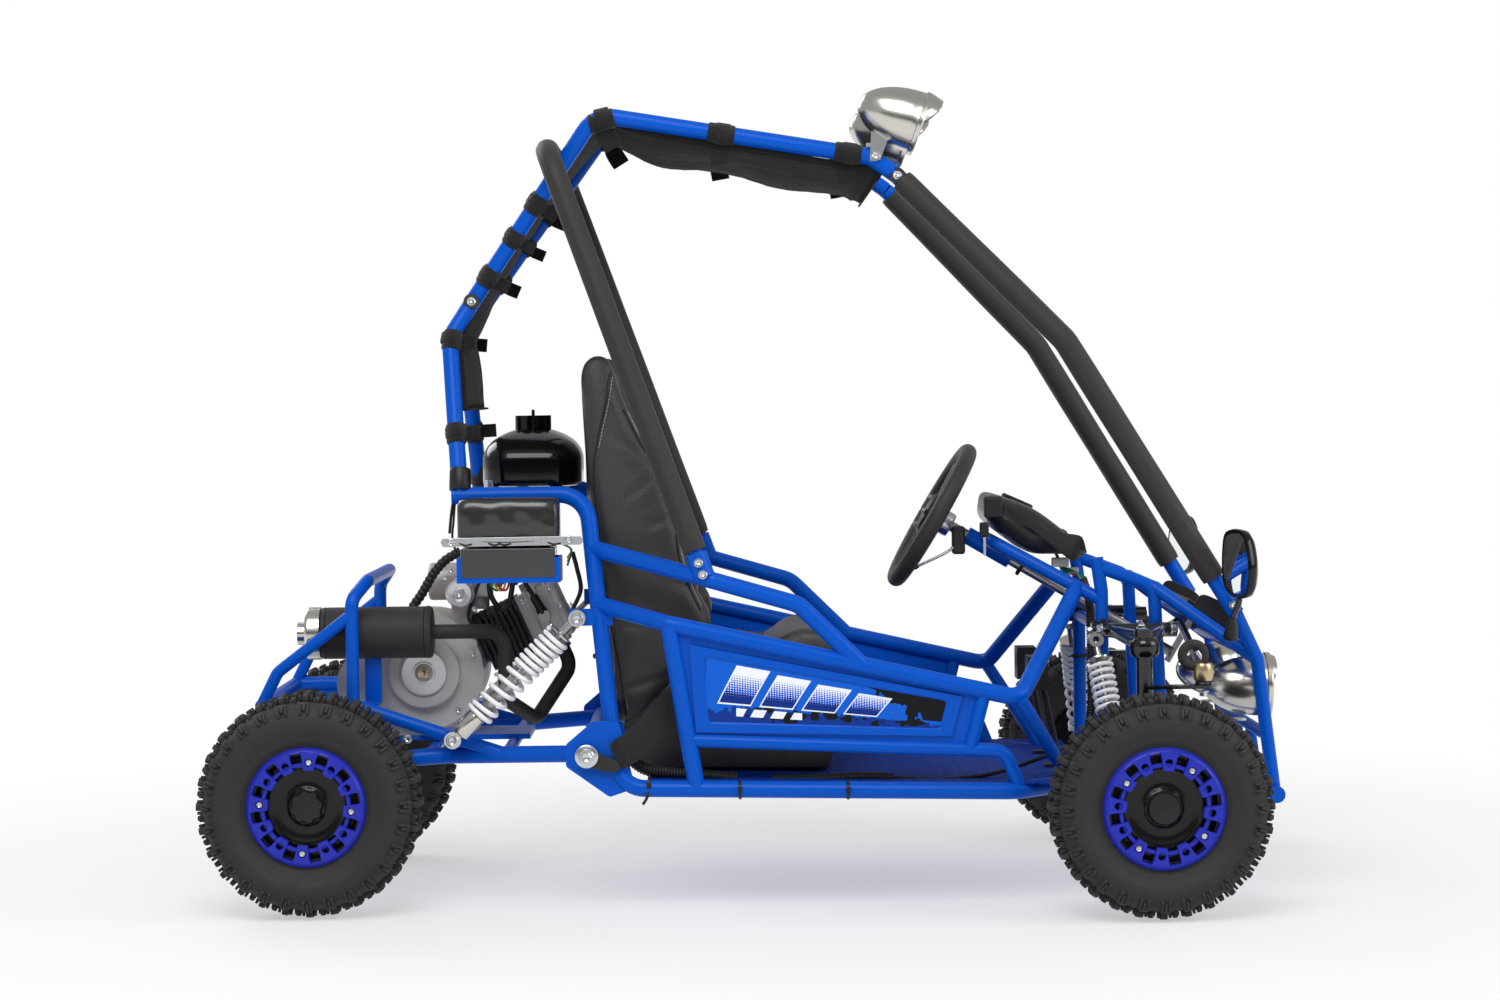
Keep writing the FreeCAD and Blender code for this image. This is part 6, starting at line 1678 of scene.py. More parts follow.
@dataclass
class EngineBay:
    """Engine castings' details, cables, ignition parts, shock absorbers, tank and muffler."""

    crank: tuple[float, float] = (-463.0, 338.0)
    screw_circle: float = 78.0
    cylinder_length: float = 89.0 + 78.0
    tilt: float = 24.0

    def casting(self) -> None:
        """Round cover with its polished disc, ring of screws, the starter's cup and screws."""
        centre = vec(self.crank[0], -103.2, self.crank[1])
        way = RIGHT
        cover = revolved([(-2, 54), (0.6, 53.4), (1.2, 50), (0.4, 44), (0.6, 38)], centre, way, 72)
        piece("case_cover_rim", cover, CAST_ALLOY)
        disc = revolved([(4.2, 0), (4.2, 11), (5.9, 14), (5.9, 16), (5.0, 17.5), (5.0, 33), (4.4, 34.6),
                         (3, 35)], centre, way, 72)
        piece("case_disc", disc, POLISHED, sharp=20)
        piece("case_nut", bolts([centre + vec(0, -9.4, 0)], way, 8.0), BRASS)
        angle = np.radians([20, 62, 118, 160, 205, 262, 310])
        spots = [vec(self.crank[0] + self.screw_circle * math.cos(a), -88.5,
                     self.crank[1] + self.screw_circle * math.sin(a)) for a in angle]
        screws = bolts(spots, way, 4.6)
        starter = vec(-408, -100, 457)
        cup = revolved([(-9, 21), (-1, 20.6), (1.2, 18.5), (1.2, 9), (0.2, 7.6), (0.2, 0)], starter, way, 48)
        cup_bolt = bolts([starter + vec(0, -0.2, 0)], way, 7.0)
        ears = bolts([vec(-430, -89, 481), vec(-386, -89, 433), vec(-421, -89, 492)], way, 4.0)
        piece("case_screws", joined(screws, ears), ZINC)
        piece("starter_cup", joined(cup, cup_bolt), POLISHED)

    def head(self) -> None:
        """Screws and valve caps of the head, and a spark plug boot with its lead."""
        lift = math.radians(self.tilt)
        way, up = vec(math.cos(lift), 0, math.sin(lift)), vec(-math.sin(lift), 0, math.cos(lift))
        foot = vec(self.crank[0], 0, self.crank[1]) + way * self.cylinder_length
        spots = [foot + way * a + up * b + vec(0, -42.5, 0)
                 for a, b in ((10, 34), (56, 36), (60, -30), (14, -36), (60, 4))]
        piece("head_screws", bolts(spots, RIGHT, 5.0), ZINC)
        caps = [foot + way * 38 + up * 58, foot + way * 38 - up * 44]
        hexes = copies(revolved([(0, 0), (0, 17), (5, 17), (7, 14), (7, 0)], vec(0, 0, 0), UP, 6),
                       np.stack(caps), np.stack([turn_to(up), turn_to(-up)]))
        piece("valve_caps", hexes, CAST_ALLOY, sharp=25, bevel=1.2)
        plug = foot + way * 33 + vec(0, -62, 0)
        boot = revolved([(0, 0), (0, 8), (12, 8.5), (16, 7.2), (34, 6.8), (38, 5), (38, 0)], plug,
                        vec(-0.45, -0.25, 0.85), 24)
        lead = cable([plug + vec(-17, -9, 32), plug + vec(-29, -12, 52), plug + vec(-40, -8, 78),
                      vec(-324, -56, 470), vec(-330, -40, 482)], 3.6)
        piece("plug_lead", joined(boot, lead), BLACK_PLASTIC)

    def cables(self) -> None:
        """Fuel hose, ribbed breather, throttle and starter wires behind the battery tray."""
        breather = corrugated([vec(-484, -60, 418), vec(-482, -60, 435), vec(-468, -60, 456),
                               vec(-450, -60, 486), vec(-432, -60, 506), vec(-408, -60, 520)], 6.4, 1.3, 17)
        piece("breather_hose", breather, BLACK_PLASTIC, sharp=70)
        black = [cable([vec(-363, -80, 480), vec(-362, -80, 456), vec(-353, -80, 438), vec(-344, -80, 431),
                        vec(-333, -80, 443), vec(-326, -80, 480)], 4.2),
                 cable([vec(-376, -70, 480), vec(-390, -72, 446), vec(-396, -76, 420), vec(-388, -80, 402)],
                       2.6),
                 cable([vec(-407, -196, 600), vec(-410, -198, 579), vec(-413, -196, 553)], 2.2),
                 cable([vec(-404, -198, 600), vec(-406, -200, 575), vec(-408, -199, 540),
                        vec(-398, -150, 505)], 1.8),
                 cable([vec(-232, -150, 520), vec(-226, -140, 494), vec(-222, -120, 462),
                        vec(-236, -90, 430)], 3.4),
                 cable([vec(-300, -60, 620), vec(-306, -66, 600), vec(-330, -72, 560), vec(-350, -64, 520),
                        vec(-346, -40, 470)], 3.8)]
        piece("black_wires", joined(*black), BLACK_PLASTIC)
        for finish, shift in ((WIRE_YELLOW, 0.0), (WIRE_RED, 5.5), (WIRE_GREEN, -5.5)):
            line = cable([vec(-360 + shift, -84, 482), vec(-352 + shift, -86, 464),
                          vec(-342 + shift, -84, 462), vec(-336 + shift, -82, 482)], 1.7, 8, 30)
            far = cable([vec(-246, -196 + shift, 536), vec(-232, -192 + shift, 526),
                         vec(-238, -190, 508 + shift)],
                        1.6, 8, 24)
            piece(finish.name + "_loop", joined(line, far), finish)

    def springs(self) -> None:
        """White coil springs round the shock absorbers, close at the top and open below, with their parts."""
        coils, cups, rods = [], [], []
        rear = (vec(-221, -272, 429), vec(-406, -272, 252), 18.6, 3.6, 13)
        front = (vec(550.5, -188, 381.5), vec(580.5, -286, 154), 17.0, 3.1, 12)
        for top, low, radius, wire, count in (rear, front):
            start, end = mix(top, low, 0.155), mix(top, low, 0.79)
            steps = np.concatenate([[0], np.cumsum(np.concatenate([[0.55], np.full(count // 2, 0.72),
                                                                   np.full(count - count // 2 - 2, 1.3),
                                                                   [0.55]]))])
            coils.append(coil(start, end, radius, wire, steps / steps[-1]))
            way = unit(low - top)
            cups.append(revolved([(0, 6), (0, radius + 2.5), (2.4, radius + 2.5), (3.4, radius - 5),
                                  (3.4, 6)],
                                 start - way * (wire + 3.4), way, 40))
            rods.append(revolved([(0, 11.2), (0, 13.4), (3, 13.9), (34, 13.9), (36, 12.6), (36, 11)],
                                 end + way * (wire + 0.5), way, 40))
            rods.append(revolved([(0, 4), (0, 11.8), (2, 12.4), (5, 12.4), (6, 11)], end - way * 2, way, 40))
        piece("shock_springs", both(joined(*coils)), WHITE_PAINT, replaces=("shocks",), sharp=80)
        piece("shock_cups", both(joined(*cups, *rods)), CHROME, sharp=50)
        bodies = []
        for top, low, *_ in (rear, front):
            way = unit(low - top)
            span = float(np.linalg.norm(low - top))
            bodies.append(revolved([(6, 0), (6, 5.5), (span * 0.5, 5.5), (span * 0.5, 9.5), (span - 14, 9.5),
                                    (span - 10, 6), (span - 4, 6), (span - 4, 0)], top, way, 32))
            for spot in (top, low):
                bodies.append(revolved([(-11, 5), (-11, 11), (-9, 12), (9, 12), (11, 11), (11, 5)], spot,
                                       RIGHT, 32))
        piece("shock_bodies", both(joined(*bodies)), BARE_STEEL, replaces=("shocks",), sharp=50)

    def tank(self) -> None:
        """Domed fuel tank: a squared oval, (|x|/a)^4 + (|y|/b)^4 = 1, sized by a profile in height."""
        low, high = box_mm("fuel_tank")
        middle, half = (low + high) / 2, (high - low) / 2
        share = np.array([(0, 0), (0, 0.9), (0.02, 0.96), (0.06, 0.985), (0.1, 1), (0.45, 1), (0.56, 0.985),
                          (0.66, 0.94), (0.76, 0.86), (0.85, 0.74), (0.92, 0.6), (0.97, 0.47), (0.99, 0.4),
                          (1, 0.36), (1, 0)])
        line = flowing([vec(a, b, 0) for a, b in share[1:-1]], 60)[:, :2]
        line = np.vstack([share[:1], line, share[-1:]])
        angle = full_turn(96)
        c, s = np.cos(angle), np.sin(angle)
        reach = (np.abs(c) ** 4 + np.abs(s) ** 4) ** -0.25
        points = np.stack([middle[0] + half[0] * line[:, 1:] * reach * c,
                           middle[1] + half[1] * line[:, 1:] * reach * s,
                           low[2] + (high[2] - low[2]) * np.broadcast_to(line[:, :1], (len(line), 96))], -1)
        piece("tank_shell", grid(points, around=True), BLACK_GLOSS, replaces=("fuel_tank",), sharp=40)

    def exhaust(self) -> None:
        """Straight muffler drum with a rolled seam at each end."""
        low, high = box_mm("muffler")
        radius, length = (high[2] - low[2]) / 2, high[0] - low[0]
        profile = [(0, 0), (0, radius - 5), (1.5, radius - 1.5), (5, radius - 0.6), (8, radius - 0.6),
                   (9, radius - 1.6), (10, radius - 0.6), (length - 12, radius - 0.6),
                   (length - 11, radius - 1.6), (length - 10, radius), (length - 4, radius - 0.2),
                   (length - 1, radius - 2), (length, radius - 6), (length, 0)]
        middle = (low + high) / 2
        drum = revolved(profile, vec(low[0], middle[1], middle[2]), AHEAD, 96)
        piece("muffler_drum", drum, BLACK_SATIN, replaces=("muffler",), sharp=40)

    def build(self) -> None:
        """Makes the engine bay's details."""
        self.casting()
        self.head()
        self.cables()
        self.springs()
        self.tank()
        self.exhaust()


@dataclass
class Cockpit:
    """Steering wheel's grip and hub, column, key, dash cowl and the wires under it."""

    hub: tuple[float, float, float] = (319.0, 0.0, 563.5)
    tilt: float = 30.5
    wheel_radius: float = 112.0
    grip_radius: float = 13.2

    @property
    def axle(self) -> Array:
        """Direction of the steering column, towards the driver."""
        lean = math.radians(self.tilt)
        return vec(-math.cos(lean), 0, math.sin(lean))

    def wheel(self) -> None:
        """Grip with finger waves, and hub boss with its clamp."""
        axle = self.axle
        lift = vec(axle[2], 0, -axle[0])
        centre = vec(*self.hub)
        angle = full_turn(240)
        ring = centre + self.wheel_radius * (np.cos(angle)[:, None] * LEFT + np.sin(angle)[:, None] * lift)
        wave = self.grip_radius + 0.12 * np.abs(np.sin(angle * 30)) * (np.abs(np.cos(angle)) > 0.35)
        grip = carried(ring, ring_profile(1.0, 24), closed=True, across=unit(ring - centre), scale=wave)
        piece("steering_grip", grip, BLACK_FOAM, "steering", sharp=80)
        boss = revolved([(-10, 0), (-10, 30), (-4, 36), (6, 36), (12, 30), (14, 22), (16, 0)], centre, axle,
                        48)
        piece("steering_boss", boss, BLACK_PLASTIC, "steering", sharp=30)
        places = [centre + axle * 14 + 24 * (math.cos(a) * LEFT + math.sin(a) * lift)
                  for a in np.radians([0, 90, 180, 270])]
        clamp = revolved([(0, 14), (0, 18), (4, 19), (18, 19), (20, 17), (20, 14)], centre - axle * 34, axle,
                         32)
        piece("steering_clamp", joined(bolts(places, axle, 4.4), clamp), ZINC, "steering")

    def column(self) -> None:
        """Cable tie round the column's bush, the key in its switch, and the hand lever on its perch."""
        hub = vec(*self.hub)
        tie = bands(np.stack([hub - self.axle * 150, hub - self.axle * 170]), 14.2, [0.5], 4.5, 1.4)
        piece("bush_tie", tie, BLACK_PLASTIC)
        switch = block(vec(391, -128, 562), vec(419, -104, 595))
        piece("key_switch", switch, BLACK_PLASTIC, sharp=30, bevel=4)
        blade = block(vec(389.4, -119, 505), vec(393.4, -117.6, 536))
        tag = block(vec(384, -122, 533), vec(398, -114, 556))
        piece("key_blade", blade, ZINC, sharp=30, bevel=0.5)
        piece("key_bow", tag, BLACK_PLASTIC, sharp=30, bevel=2.6)
        lever = cable([vec(352, -58, 520), vec(336, -66, 508), vec(292, -70, 488)], 2.3, 10, 30)
        knob = revolved([(0, 0), (0, 3.6), (5, 4.2), (9, 3.2), (9, 0)], vec(293, -70, 489), vec(-1, 0, -0.45),
                        20)
        perch = block(vec(346, -64, 505), vec(366, -44, 548))
        piece("hand_lever", lever, ZINC, "steering")
        piece("lever_knob", knob, BLACK_PLASTIC, "steering")
        piece("lever_perch", perch, BLACK_CAST, "steering", sharp=30, bevel=4)

    def cowl(self) -> None:
        """Rounded instrument cowl with a raised ring on its top."""
        outline = [(398, 556), (396, 580), (402, 595), (420, 594), (470, 574), (516, 540), (548, 512),
                   (545, 504), (500, 504), (462, 507), (430, 528)]
        made = piece("dash_cowl", pillow(rounded_loop(outline, 160), -118, 118, 30, 5.0, 14), COWL_PLASTIC,
                     "root", ("dash_cover",), sharp=180)
        smoothed(made, 0.5, 8)
        ring = revolved([(-4, 26), (1, 26), (3, 24), (3, 21), (0, 19), (0, 0)], vec(452, 0, 584),
                        vec(0.45, 0, 1), 64)
        piece("cowl_ring", ring, BLACK_PLASTIC, sharp=40)

    def loom(self) -> None:
        """Wires from the cowl down the front columns."""
        green = [cable([vec(505, -40 - 6 * k, 506), vec(514, -52 - 7 * k, 486 - 3 * k),
                        vec(530, -72 - 5 * k, 478), vec(548, -96 - 3 * k, 468 - 4 * k)], 1.5, 8, 40)
                        for k in range(5)]
        piece("green_loom", joined(*green), WIRE_GREEN)
        red = cable([vec(508, -30, 505), vec(520, -44, 480), vec(536, -70, 470), vec(552, -92, 452)], 1.6, 8,
                    40)
        piece("red_loom", red, WIRE_RED)
        main_line = corrugated([vec(542, -100, 466), vec(549, -112, 440), vec(550, -128, 400),
                                vec(549, -140, 340), vec(548, -146, 280), vec(540, -150, 220)], 6.0, 1.0, 60)
        piece("front_conduit", main_line, BLACK_PLASTIC, sharp=70)
        plugs = [block(vec(498, -76, 484), vec(524, -58, 498)), block(vec(518, -60, 470), vec(540, -46, 482))]
        piece("loom_plugs", joined(*plugs), CREAM_PLASTIC, sharp=30, bevel=1.5)

    def build(self) -> None:
        """Makes the cockpit's details."""
        self.wheel()
        self.column()
        self.cowl()
        self.loom()


@dataclass
class Nose:
    """Lamps, mirrors, ball joints, upper forks and the front suspension's bolts."""

    mirror_turn: float = 19.0
    mirror_y: float = -312.0
    roof_lamp_lean: float = -20.0

    def lamps(self) -> None:
        """Chrome bowls with visors and stepped rims, fluted glass inside, zinc feet."""
        roof_lean = math.radians(self.roof_lamp_lean)
        for name, centre, way, visor in (
                ("roof", vec(290.5, -176, 1157), vec(math.cos(roof_lean), 0, math.sin(roof_lean)), 29.0),
                ("head", vec(806, -151, 306), AHEAD, 18.0)):
            angle = full_turn(96)
            bowl = [(-90, 0)] + [(-90 * math.cos(t), 46.5 * math.sin(t))
                                 for t in np.linspace(0.12, math.pi / 2, 18)]
            bowl += [(2, 47), (3, 49), (8, 49.2), (10, 48), (10, 45), (6, 43)]
            chrome = revolved(bowl, centre, way, 96)
            piece(f"{name}_lamp_bowls", both(chrome), CHROME, replaces=("lamps",), sharp=30)
            side = unit(np.cross(way, UP))
            lift = np.cross(side, way)
            share = np.clip(np.sin(angle) * 1.4, 0, 1) ** 0.8
            shape = []
            for reach, radius in ((4, 48.6), (10, 48.8), (visor * 0.6, 46.8), (visor, 43.6), (visor, 42.6),
                                  (visor * 0.6, 45.6), (8, 47.2)):
                forward = 8 + (reach - 8) * share if reach > 8 else np.full_like(share, reach)
                ringed = radius * (np.cos(angle)[:, None] * side + np.sin(angle)[:, None] * lift)
                shape.append(centre + forward[:, None] * way + ringed)
            piece(f"{name}_lamp_visors", both(grid(np.stack(shape), around=True)), CHROME, sharp=40)
            glass = revolved([(4, 46), (7, 40), (10, 28), (12, 14), (12.5, 0)], centre, way, 96)
            piece(f"{name}_lamp_glass", both(glass), LENS)
            dish = revolved([(3, 45), (-20, 38), (-44, 24), (-56, 8), (-56, 0)], centre, way, 64)
            bulb = revolved([(-50, 0), (-50, 6), (-30, 6.5), (-22, 4), (-20, 0)], centre, way, 24)
            piece(f"{name}_lamp_dish", both(joined(dish, bulb)), POLISHED)

    def feet(self) -> None:
        """Zinc brackets and bolts under the lamps."""
        roof = [revolved([(0, 5.5), (0, 11), (6, 11), (6, 5.5)], vec(226, -176, 1121), UP, 6),
                revolved([(0, 0), (0, 5.2), (18, 5.2), (18, 0)], vec(226, -176, 1106), UP, 20)]
        plate = slab([vec(224, -191, 1144), vec(250, -191, 1136), vec(237, -191, 1101), vec(221, -191, 1099)],
                     vec(0, 2.5, 0))
        roof += [plate, bolts([vec(229, -191.2, 1107)], RIGHT, 8)]
        head = [revolved([(0, 0), (0, 13), (3, 13), (3, 0)], vec(768, -151, 253), UP, 28),
                bolts([vec(768, -151, 229)], vec(0, 0, -1), 8)]
        piece("lamp_feet", both(joined(*roof, *head)), ZINC)

    def swung(self, surface: Surface, pivot: Array) -> Surface:
        """A mirror turned about the upright through its pivot and set 5 mm forward."""
        turn = math.radians(self.mirror_turn)
        c, s = math.cos(turn), math.sin(turn)
        away = surface.points - pivot
        x, y = away[:, 0] * c - away[:, 1] * s, away[:, 0] * s + away[:, 1] * c
        points = np.stack([x, y, away[:, 2]], -1) + pivot + vec(5, 0, 0)
        return Surface(points, surface.quads, surface.tris)

    def mirrors(self) -> None:
        """Mirror housings: a rounded five sided shell with its glass, stem and rubber boot."""
        shapes, glasses = [], []
        middle = self.mirror_y
        corner = [(-38, 512), (-40, 478), (-26, 450), (20, 450), (44, 470), (45, 520), (30, 545), (-20, 545)]
        loop = looped(np.array([[0, middle + y, z] for y, z in corner]), 96)
        centre = loop.mean(0)
        rings = []
        for size, x in ((0.86, 739.5), (0.9, 738.4), (0.985, 739), (1.0, 742), (0.97, 750), (0.8, 757),
                        (0.42, 760.5)):
            ring = centre + (loop - centre) * size
            ring[:, 0] = x
            rings.append(ring)
        flat = centre + (loop - centre) * 0.87
        flat[:, 0] = 738.9
        back = flat.copy()
        back[:, 0] = 740.2
        nut = revolved([(0, 0), (0, 9), (7, 9), (9, 6), (9, 0)], vec(758, middle, 500), AHEAD, 20)
        shell = joined(closed_ends(np.stack(rings)[::-1]), nut)
        glass = closed_ends(np.stack([flat, back]))
        for right, made in ((shell, shapes), (glass, glasses)):
            made += [self.swung(right, vec(740, middle, 0)),
                     self.swung(right.flipped(), vec(740, -middle, 0))]
        stem = cable([vec(748, -312, 452), vec(747, -312, 440), vec(741, -309, 424), vec(738, -306, 414)],
                     4.6, 14, 20)
        boot = revolved([(0, 9), (3, 11.5), (7, 10.2), (10, 11), (14, 9.2), (17, 9.8), (21, 8), (24, 8.4),
                         (28, 6.4), (34, 4.8)], vec(735, -303, 386), vec(0.1, -0.2, 1), 32)
        piece("mirror_shells", joined(*shapes), BLACK_GLOSS, replaces=("mirrors",), sharp=50)
        piece("mirror_glasses", joined(*glasses), MIRROR, sharp=40)
        piece("mirror_stems", both(stem), BLACK_STEEL, replaces=("mirrors",))
        piece("mirror_boots", both(boot), BLACK_PLASTIC, sharp=60)
        arms = tube([vec(742, -262, 396), vec(738, -285, 390), vec(735, -303, 388)], 5.5, 12)
        piece("mirror_arms", both(arms), BLACK_STEEL, replaces=("mirrors",))

    def joints(self) -> None:
        """Ball joints on the steering arms, upper forks, plates beside the hood and bolts of the arms."""
        for side, label in SIDES:
            spot = vec(690.5, side * 336, 330)
            cup = revolved([(0, 8), (0, 13), (6, 15), (20, 15.4), (25, 13.5), (27, 8), (27, 0)], spot, UP, 36)
            stud = bolts([spot + vec(0, 0, -15)], vec(0, 0, -1), 8)
            body = f"knuckle_{label}"
            piece(f"ball_cup_{label}", cup, BRASS, body)
            boot = revolved([(-8, 5), (-8, 9), (-5, 12.5), (-1, 11), (0, 9), (0, 8)], spot, UP, 32)
            piece(f"ball_boot_{label}", boot, BLACK_PLASTIC, body)
            piece(f"ball_nut_{label}", stud, ZINC, body)
            hoop = spot + vec(-14, 0, 37)
            turn = full_turn(48)
            circle = hoop + 16 * (np.cos(turn)[:, None] * AHEAD + np.sin(turn)[:, None] * UP)
            rubber = carried(circle, ring_profile(7.0, 18), closed=True, across=unit(circle - hoop))
            piece(f"joint_ring_{label}", rubber, RUBBER, body, sharp=80)
            stem = cable([spot + vec(0, 0, 27), spot + vec(-4, 0, 34), spot + vec(-10, 0, 42)], 6.0, 16, 16)
            piece(f"joint_stem_{label}", stem, ZINC, body)
        fork = [tube([vec(564, -214, 398), vec(654, -214, 398)], 8.0),
                tube([vec(572, -220, 396), vec(592, -322, 384)], 8.0),
                tube([vec(646, -220, 396), vec(619, -322, 384)], 8.0)]
        cup = revolved([(-16, 14), (-16, 18), (-11, 21.5), (3, 22.5), (9, 20), (12, 15), (12, 0)],
                       vec(605.5, -336, 382), UP, 40)
        piece("upper_forks", both(joined(*fork, cup)), BLACK_STEEL, sharp=50)
        heads = bolts([vec(605.5, -336, 393), vec(558, -214, 398), vec(660, -214, 398)],
                      [UP, vec(-1, 0, 0), AHEAD], 8.5)
        piece("fork_bolts", both(heads), ZINC)
        edge = looped(np.array([vec(x, -196, z) for x, z in (
            (712, 446), (701, 438), (699, 421), (736, 382), (756, 366), (766, 370), (769, 402), (757, 424),
            (733, 438))]), 80)
        piece("hood_side_plates", both(slab(edge, vec(0, 3, 0))), BLACK_PLASTIC, sharp=30, bevel=1.2)
        places = [vec(558, -184, 394), vec(655, -184, 394), vec(558, -184, 159), vec(655, -184, 159)]
        ways = [vec(-1, 0, 0), AHEAD] * 2
        ends = bolts([p + w * 12 for p, w in zip(places, ways)], ways, 7.5)
        piece("arm_bolts", both(ends), ZINC)
        tops = bolts([vec(608, -280, 402), vec(599, -192, 384)], [vec(0, -0.3, 1), RIGHT], 7.5)
        piece("shock_front_bolts", both(tops), ZINC)

    def build(self) -> None:
        """Makes the nose's details."""
        self.lamps()
        self.feet()
        self.mirrors()
        self.joints()


@dataclass
class Studio:
    """Pale floor, soft lamps and the camera at the photograph's place."""

    lens: float = 79.98
    place: tuple[float, float, float] = (-17.6, -5167.0, 750.6)
    yaw: float = 0.006242
    pitch: float = 0.030933
    roll: float = -0.013273
    floor_half: float = 30.0
    floor_z: float = -0.0005
    sky_light: float = 0.42
    # name, place, target, power and size of each lamp
    lamps: tuple[tuple, ...] = (("key", (-0.6, -3.2, 3.6), (0, 0, 0.4), 120, 2.6),
                                ("fill", (3.4, -1.6, 1.8), (0, 0, 0.5), 45, 2.0),
                                ("back", (-2.6, 3.0, 2.8), (0, 0, 0.6), 60, 2.4))

    def camera(self) -> None:
        """Camera fitted to the photograph: its axes from yaw, pitch and roll."""
        ahead = vec(math.sin(self.yaw) * math.cos(self.pitch), math.cos(self.yaw) * math.cos(self.pitch),
                    -math.sin(self.pitch))
        right = vec(math.cos(self.yaw), -math.sin(self.yaw), 0)
        up = np.cross(right, ahead)
        c, s = math.cos(self.roll), math.sin(self.roll)
        rolled_right, rolled_up = right * c + up * s, up * c - right * s
        turn = Matrix(np.stack([rolled_right, rolled_up, -ahead], -1).tolist()).to_4x4()
        data = bpy.data.cameras.new("camera")
        data.lens = self.lens
        data.clip_end = 200
        camera = linked("camera", data)
        camera.matrix_world = Matrix.Translation(Vector(self.place) * MM) @ turn
        bpy.context.scene.camera = camera

    def lamp(self, name: str, place: tuple[float, float, float], target: tuple[float, float, float],
             power: float, size: float) -> None:
        """A square soft lamp that faces a point."""
        data = bpy.data.lights.new(name, "AREA")
        data.energy = power
        data.size = size
        lamp = linked(name, data)
        lamp.location = place
        lamp.rotation_mode = "QUATERNION"
        lamp.rotation_quaternion = (Vector(target) - Vector(place)).to_track_quat("-Z", "Y")

    def plate(self, name: str, corners: list[tuple[float, float, float]], made: Material) -> Object:
        """A single face of the stage."""
        mesh = bpy.data.meshes.new(name)
        mesh.from_pydata(corners, [], [(0, 1, 2, 3)])
        mesh.materials.append(made)
        return linked(name, mesh)

    def blended(self, tree: NodeTree, share: NodeSocket, first: NodeSocket, second: NodeSocket,
                output: str) -> None:
        """Two shaders mixed by a share and put out as a surface."""
        blend = tree.nodes.new("ShaderNodeMixShader")
        for place, socket in enumerate((share, first, second)):
            tree.links.new(socket, blend.inputs[place])
        tree.links.new(blend.outputs[0], tree.nodes[output].inputs["Surface"])

    def floor(self) -> None:
        """Plain pale floor that keeps the object's shadow."""
        made = bpy.data.materials.new("pale_floor")
        made.use_nodes = True
        tree = made.node_tree
        shader = tree.nodes["Principled BSDF"]
        away = tree.nodes.new("ShaderNodeVectorMath")
        away.operation = "LENGTH"
        tree.links.new(tree.nodes.new("ShaderNodeTexCoord").outputs["Object"], away.inputs[0])
        glow = tree.nodes.new("ShaderNodeMapRange")
        glow.interpolation_type = "SMOOTHSTEP"
        glow.inputs["From Min"].default_value = 0.75
        glow.inputs["From Max"].default_value = 2.3
        glow.inputs["To Min"].default_value = 0.5
        tree.links.new(away.outputs["Value"], glow.inputs["Value"])
        white = tree.nodes.new("ShaderNodeEmission")
        self.blended(tree, glow.outputs["Result"], shader.outputs[0], white.outputs[0], "Material Output")
        shader.inputs["Base Color"].default_value = (0.9, 0.9, 0.9, 1)
        shader.inputs["Roughness"].default_value = 0.7
        shader.inputs["Specular IOR Level"].default_value = 0.2
        h = self.floor_half
        floor = self.plate("floor", [(-h, -h, 0), (h, -h, 0), (h, h, 0), (-h, h, 0)], made)
        floor.location.z = self.floor_z

    def card(self) -> None:
        """Dark card behind the camera that polished parts reflect."""
        made = bpy.data.materials.new("dark_card")
        made.use_nodes = True
        made.node_tree.nodes["Principled BSDF"].inputs["Base Color"].default_value = (0.02, 0.02, 0.022, 1)
        card = self.plate("card", [(-7, -8, 0.3), (7, -8, 0.3), (7, -8, 2.3), (-7, -8, 2.3)], made)
        card.visible_camera = False

    def sky(self) -> None:
        """Soft grey light all round, shown white to the camera and through glass."""
        world = bpy.data.worlds.new("studio")
        bpy.context.scene.world = world
        world.use_nodes = True
        tree = world.node_tree
        plain = tree.nodes["Background"]
        plain.inputs["Color"].default_value = (1, 1, 1, 1)
        plain.inputs["Strength"].default_value = self.sky_light
        white = tree.nodes.new("ShaderNodeBackground")
        white.inputs["Color"].default_value = (1, 1, 1, 1)
        white.inputs["Strength"].default_value = 1.0
        path = tree.nodes.new("ShaderNodeLightPath")
        seen = math_node(tree, "MAXIMUM", path.outputs["Is Camera Ray"], path.outputs["Is Transmission Ray"])
        self.blended(tree, seen, plain.outputs[0], white.outputs[0], "World Output")

    def build(self) -> None:
        """Sets the stage."""
        bpy.context.scene.view_settings.view_transform = "Standard"
        self.camera()
        self.floor()
        self.card()
        self.sky()
        for lamp in self.lamps:
            self.lamp(*lamp)


FRAME_FINISHES = {  # construction nodes in each finish
    BLUE_PAINT: ("lower_rails", "side_tubes", "panel_tubes", "panel_posts", "front_columns", "cage_tubes",
                 "cage_uprights", "cross_tubes", "side_panels", "dash_hoop", "swing_arm", "tail_frame",
                 "frame_brackets", "bumper", "battery_tray"),
    FLOOR_PAINT: ("floor_pan",),
    BLACK_FOAM: ("cage_foam",),
    CANOPY_CLOTH: ("canopy", "seat_belts"),
    BLACK_VINYL: ("seat_back", "seat_base", "battery_cover"),
    BLACK_PLASTIC: ("dash_cover", "hood_plate", "mirrors", "steering_wheel", "pedals", "battery"),
    BLACK_GLOSS: ("fuel_tank", "fuel_cap"),
    BARE_STEEL: ("steering_shaft", "chain"),
    BLACK_STEEL: ("suspension_arms", "knuckle_right", "knuckle_left", "tie_rod_right", "tie_rod_left"),
    CAST_ALLOY: ("engine_case", "engine_head", "carburettor"),
    BLACK_CAST: ("engine_cylinder",),
    BLACK_SATIN: ("exhaust_pipe", "muffler"),
    CHROME: ("muffler_cap", "lamps"),
    WHITE_PAINT: ("shocks",),
}


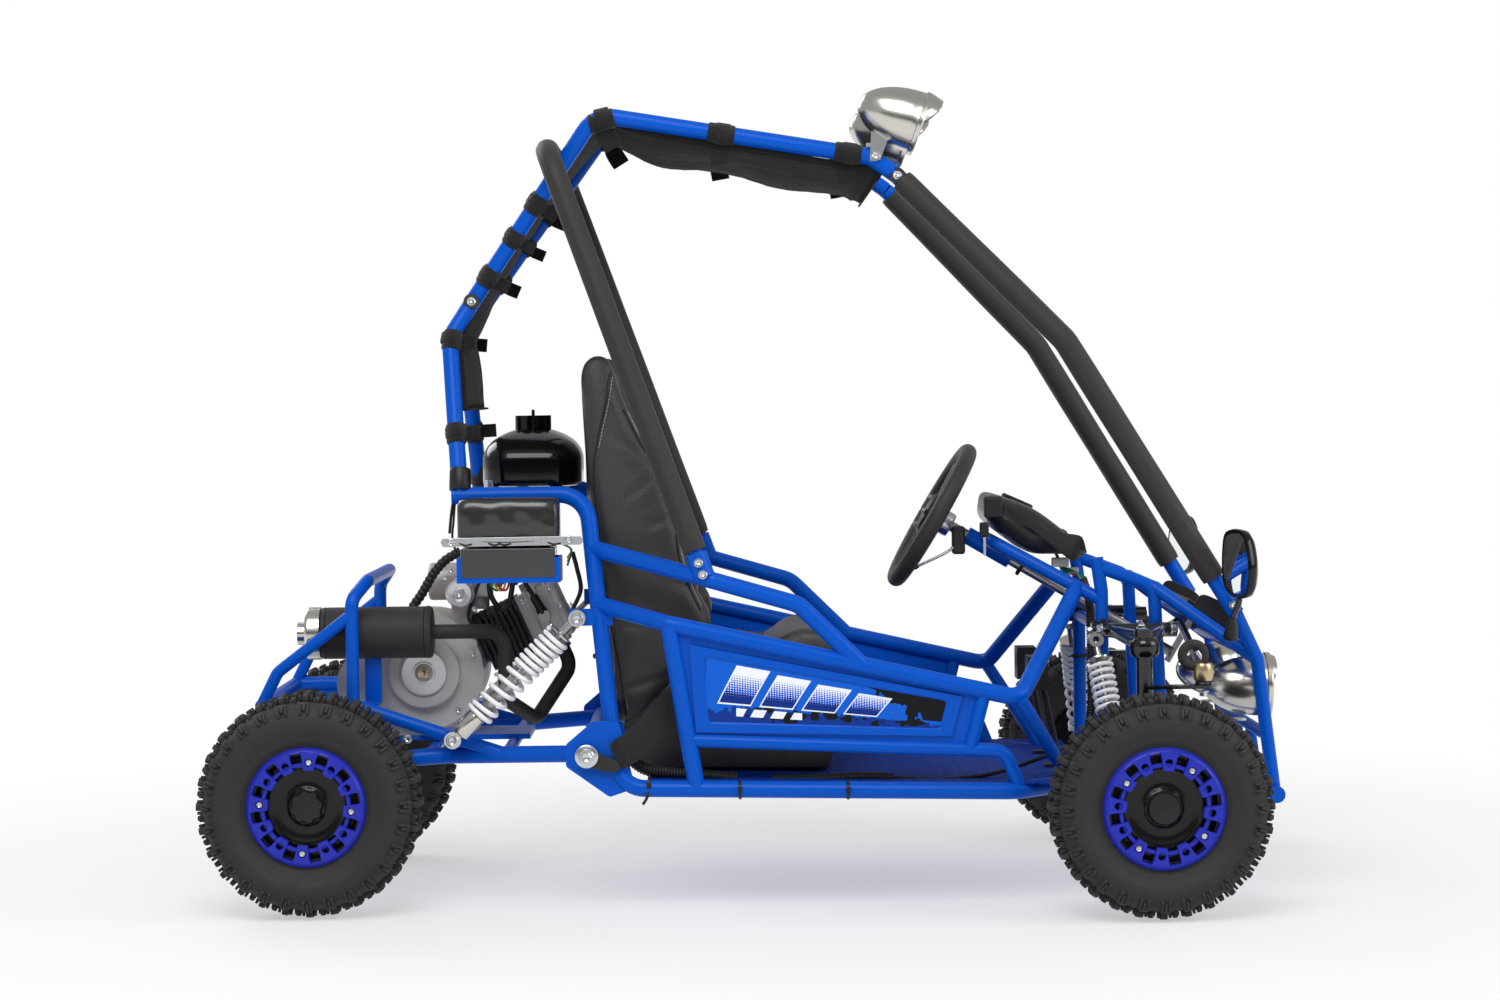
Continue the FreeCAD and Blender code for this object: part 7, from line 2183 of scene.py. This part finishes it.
def main() -> None:
    """Builds the looks in order."""
    logging.basicConfig(level=logging.INFO, format="%(message)s")
    for finish, nodes in FRAME_FINISHES.items():
        for node in nodes:
            dress(node, finish)
    for assembly in (Running(), Cage(), Seat(), Body(), EngineBay(), Cockpit(), Nose(), Studio()):
        assembly.build()


if __name__ == "__main__":
    main()
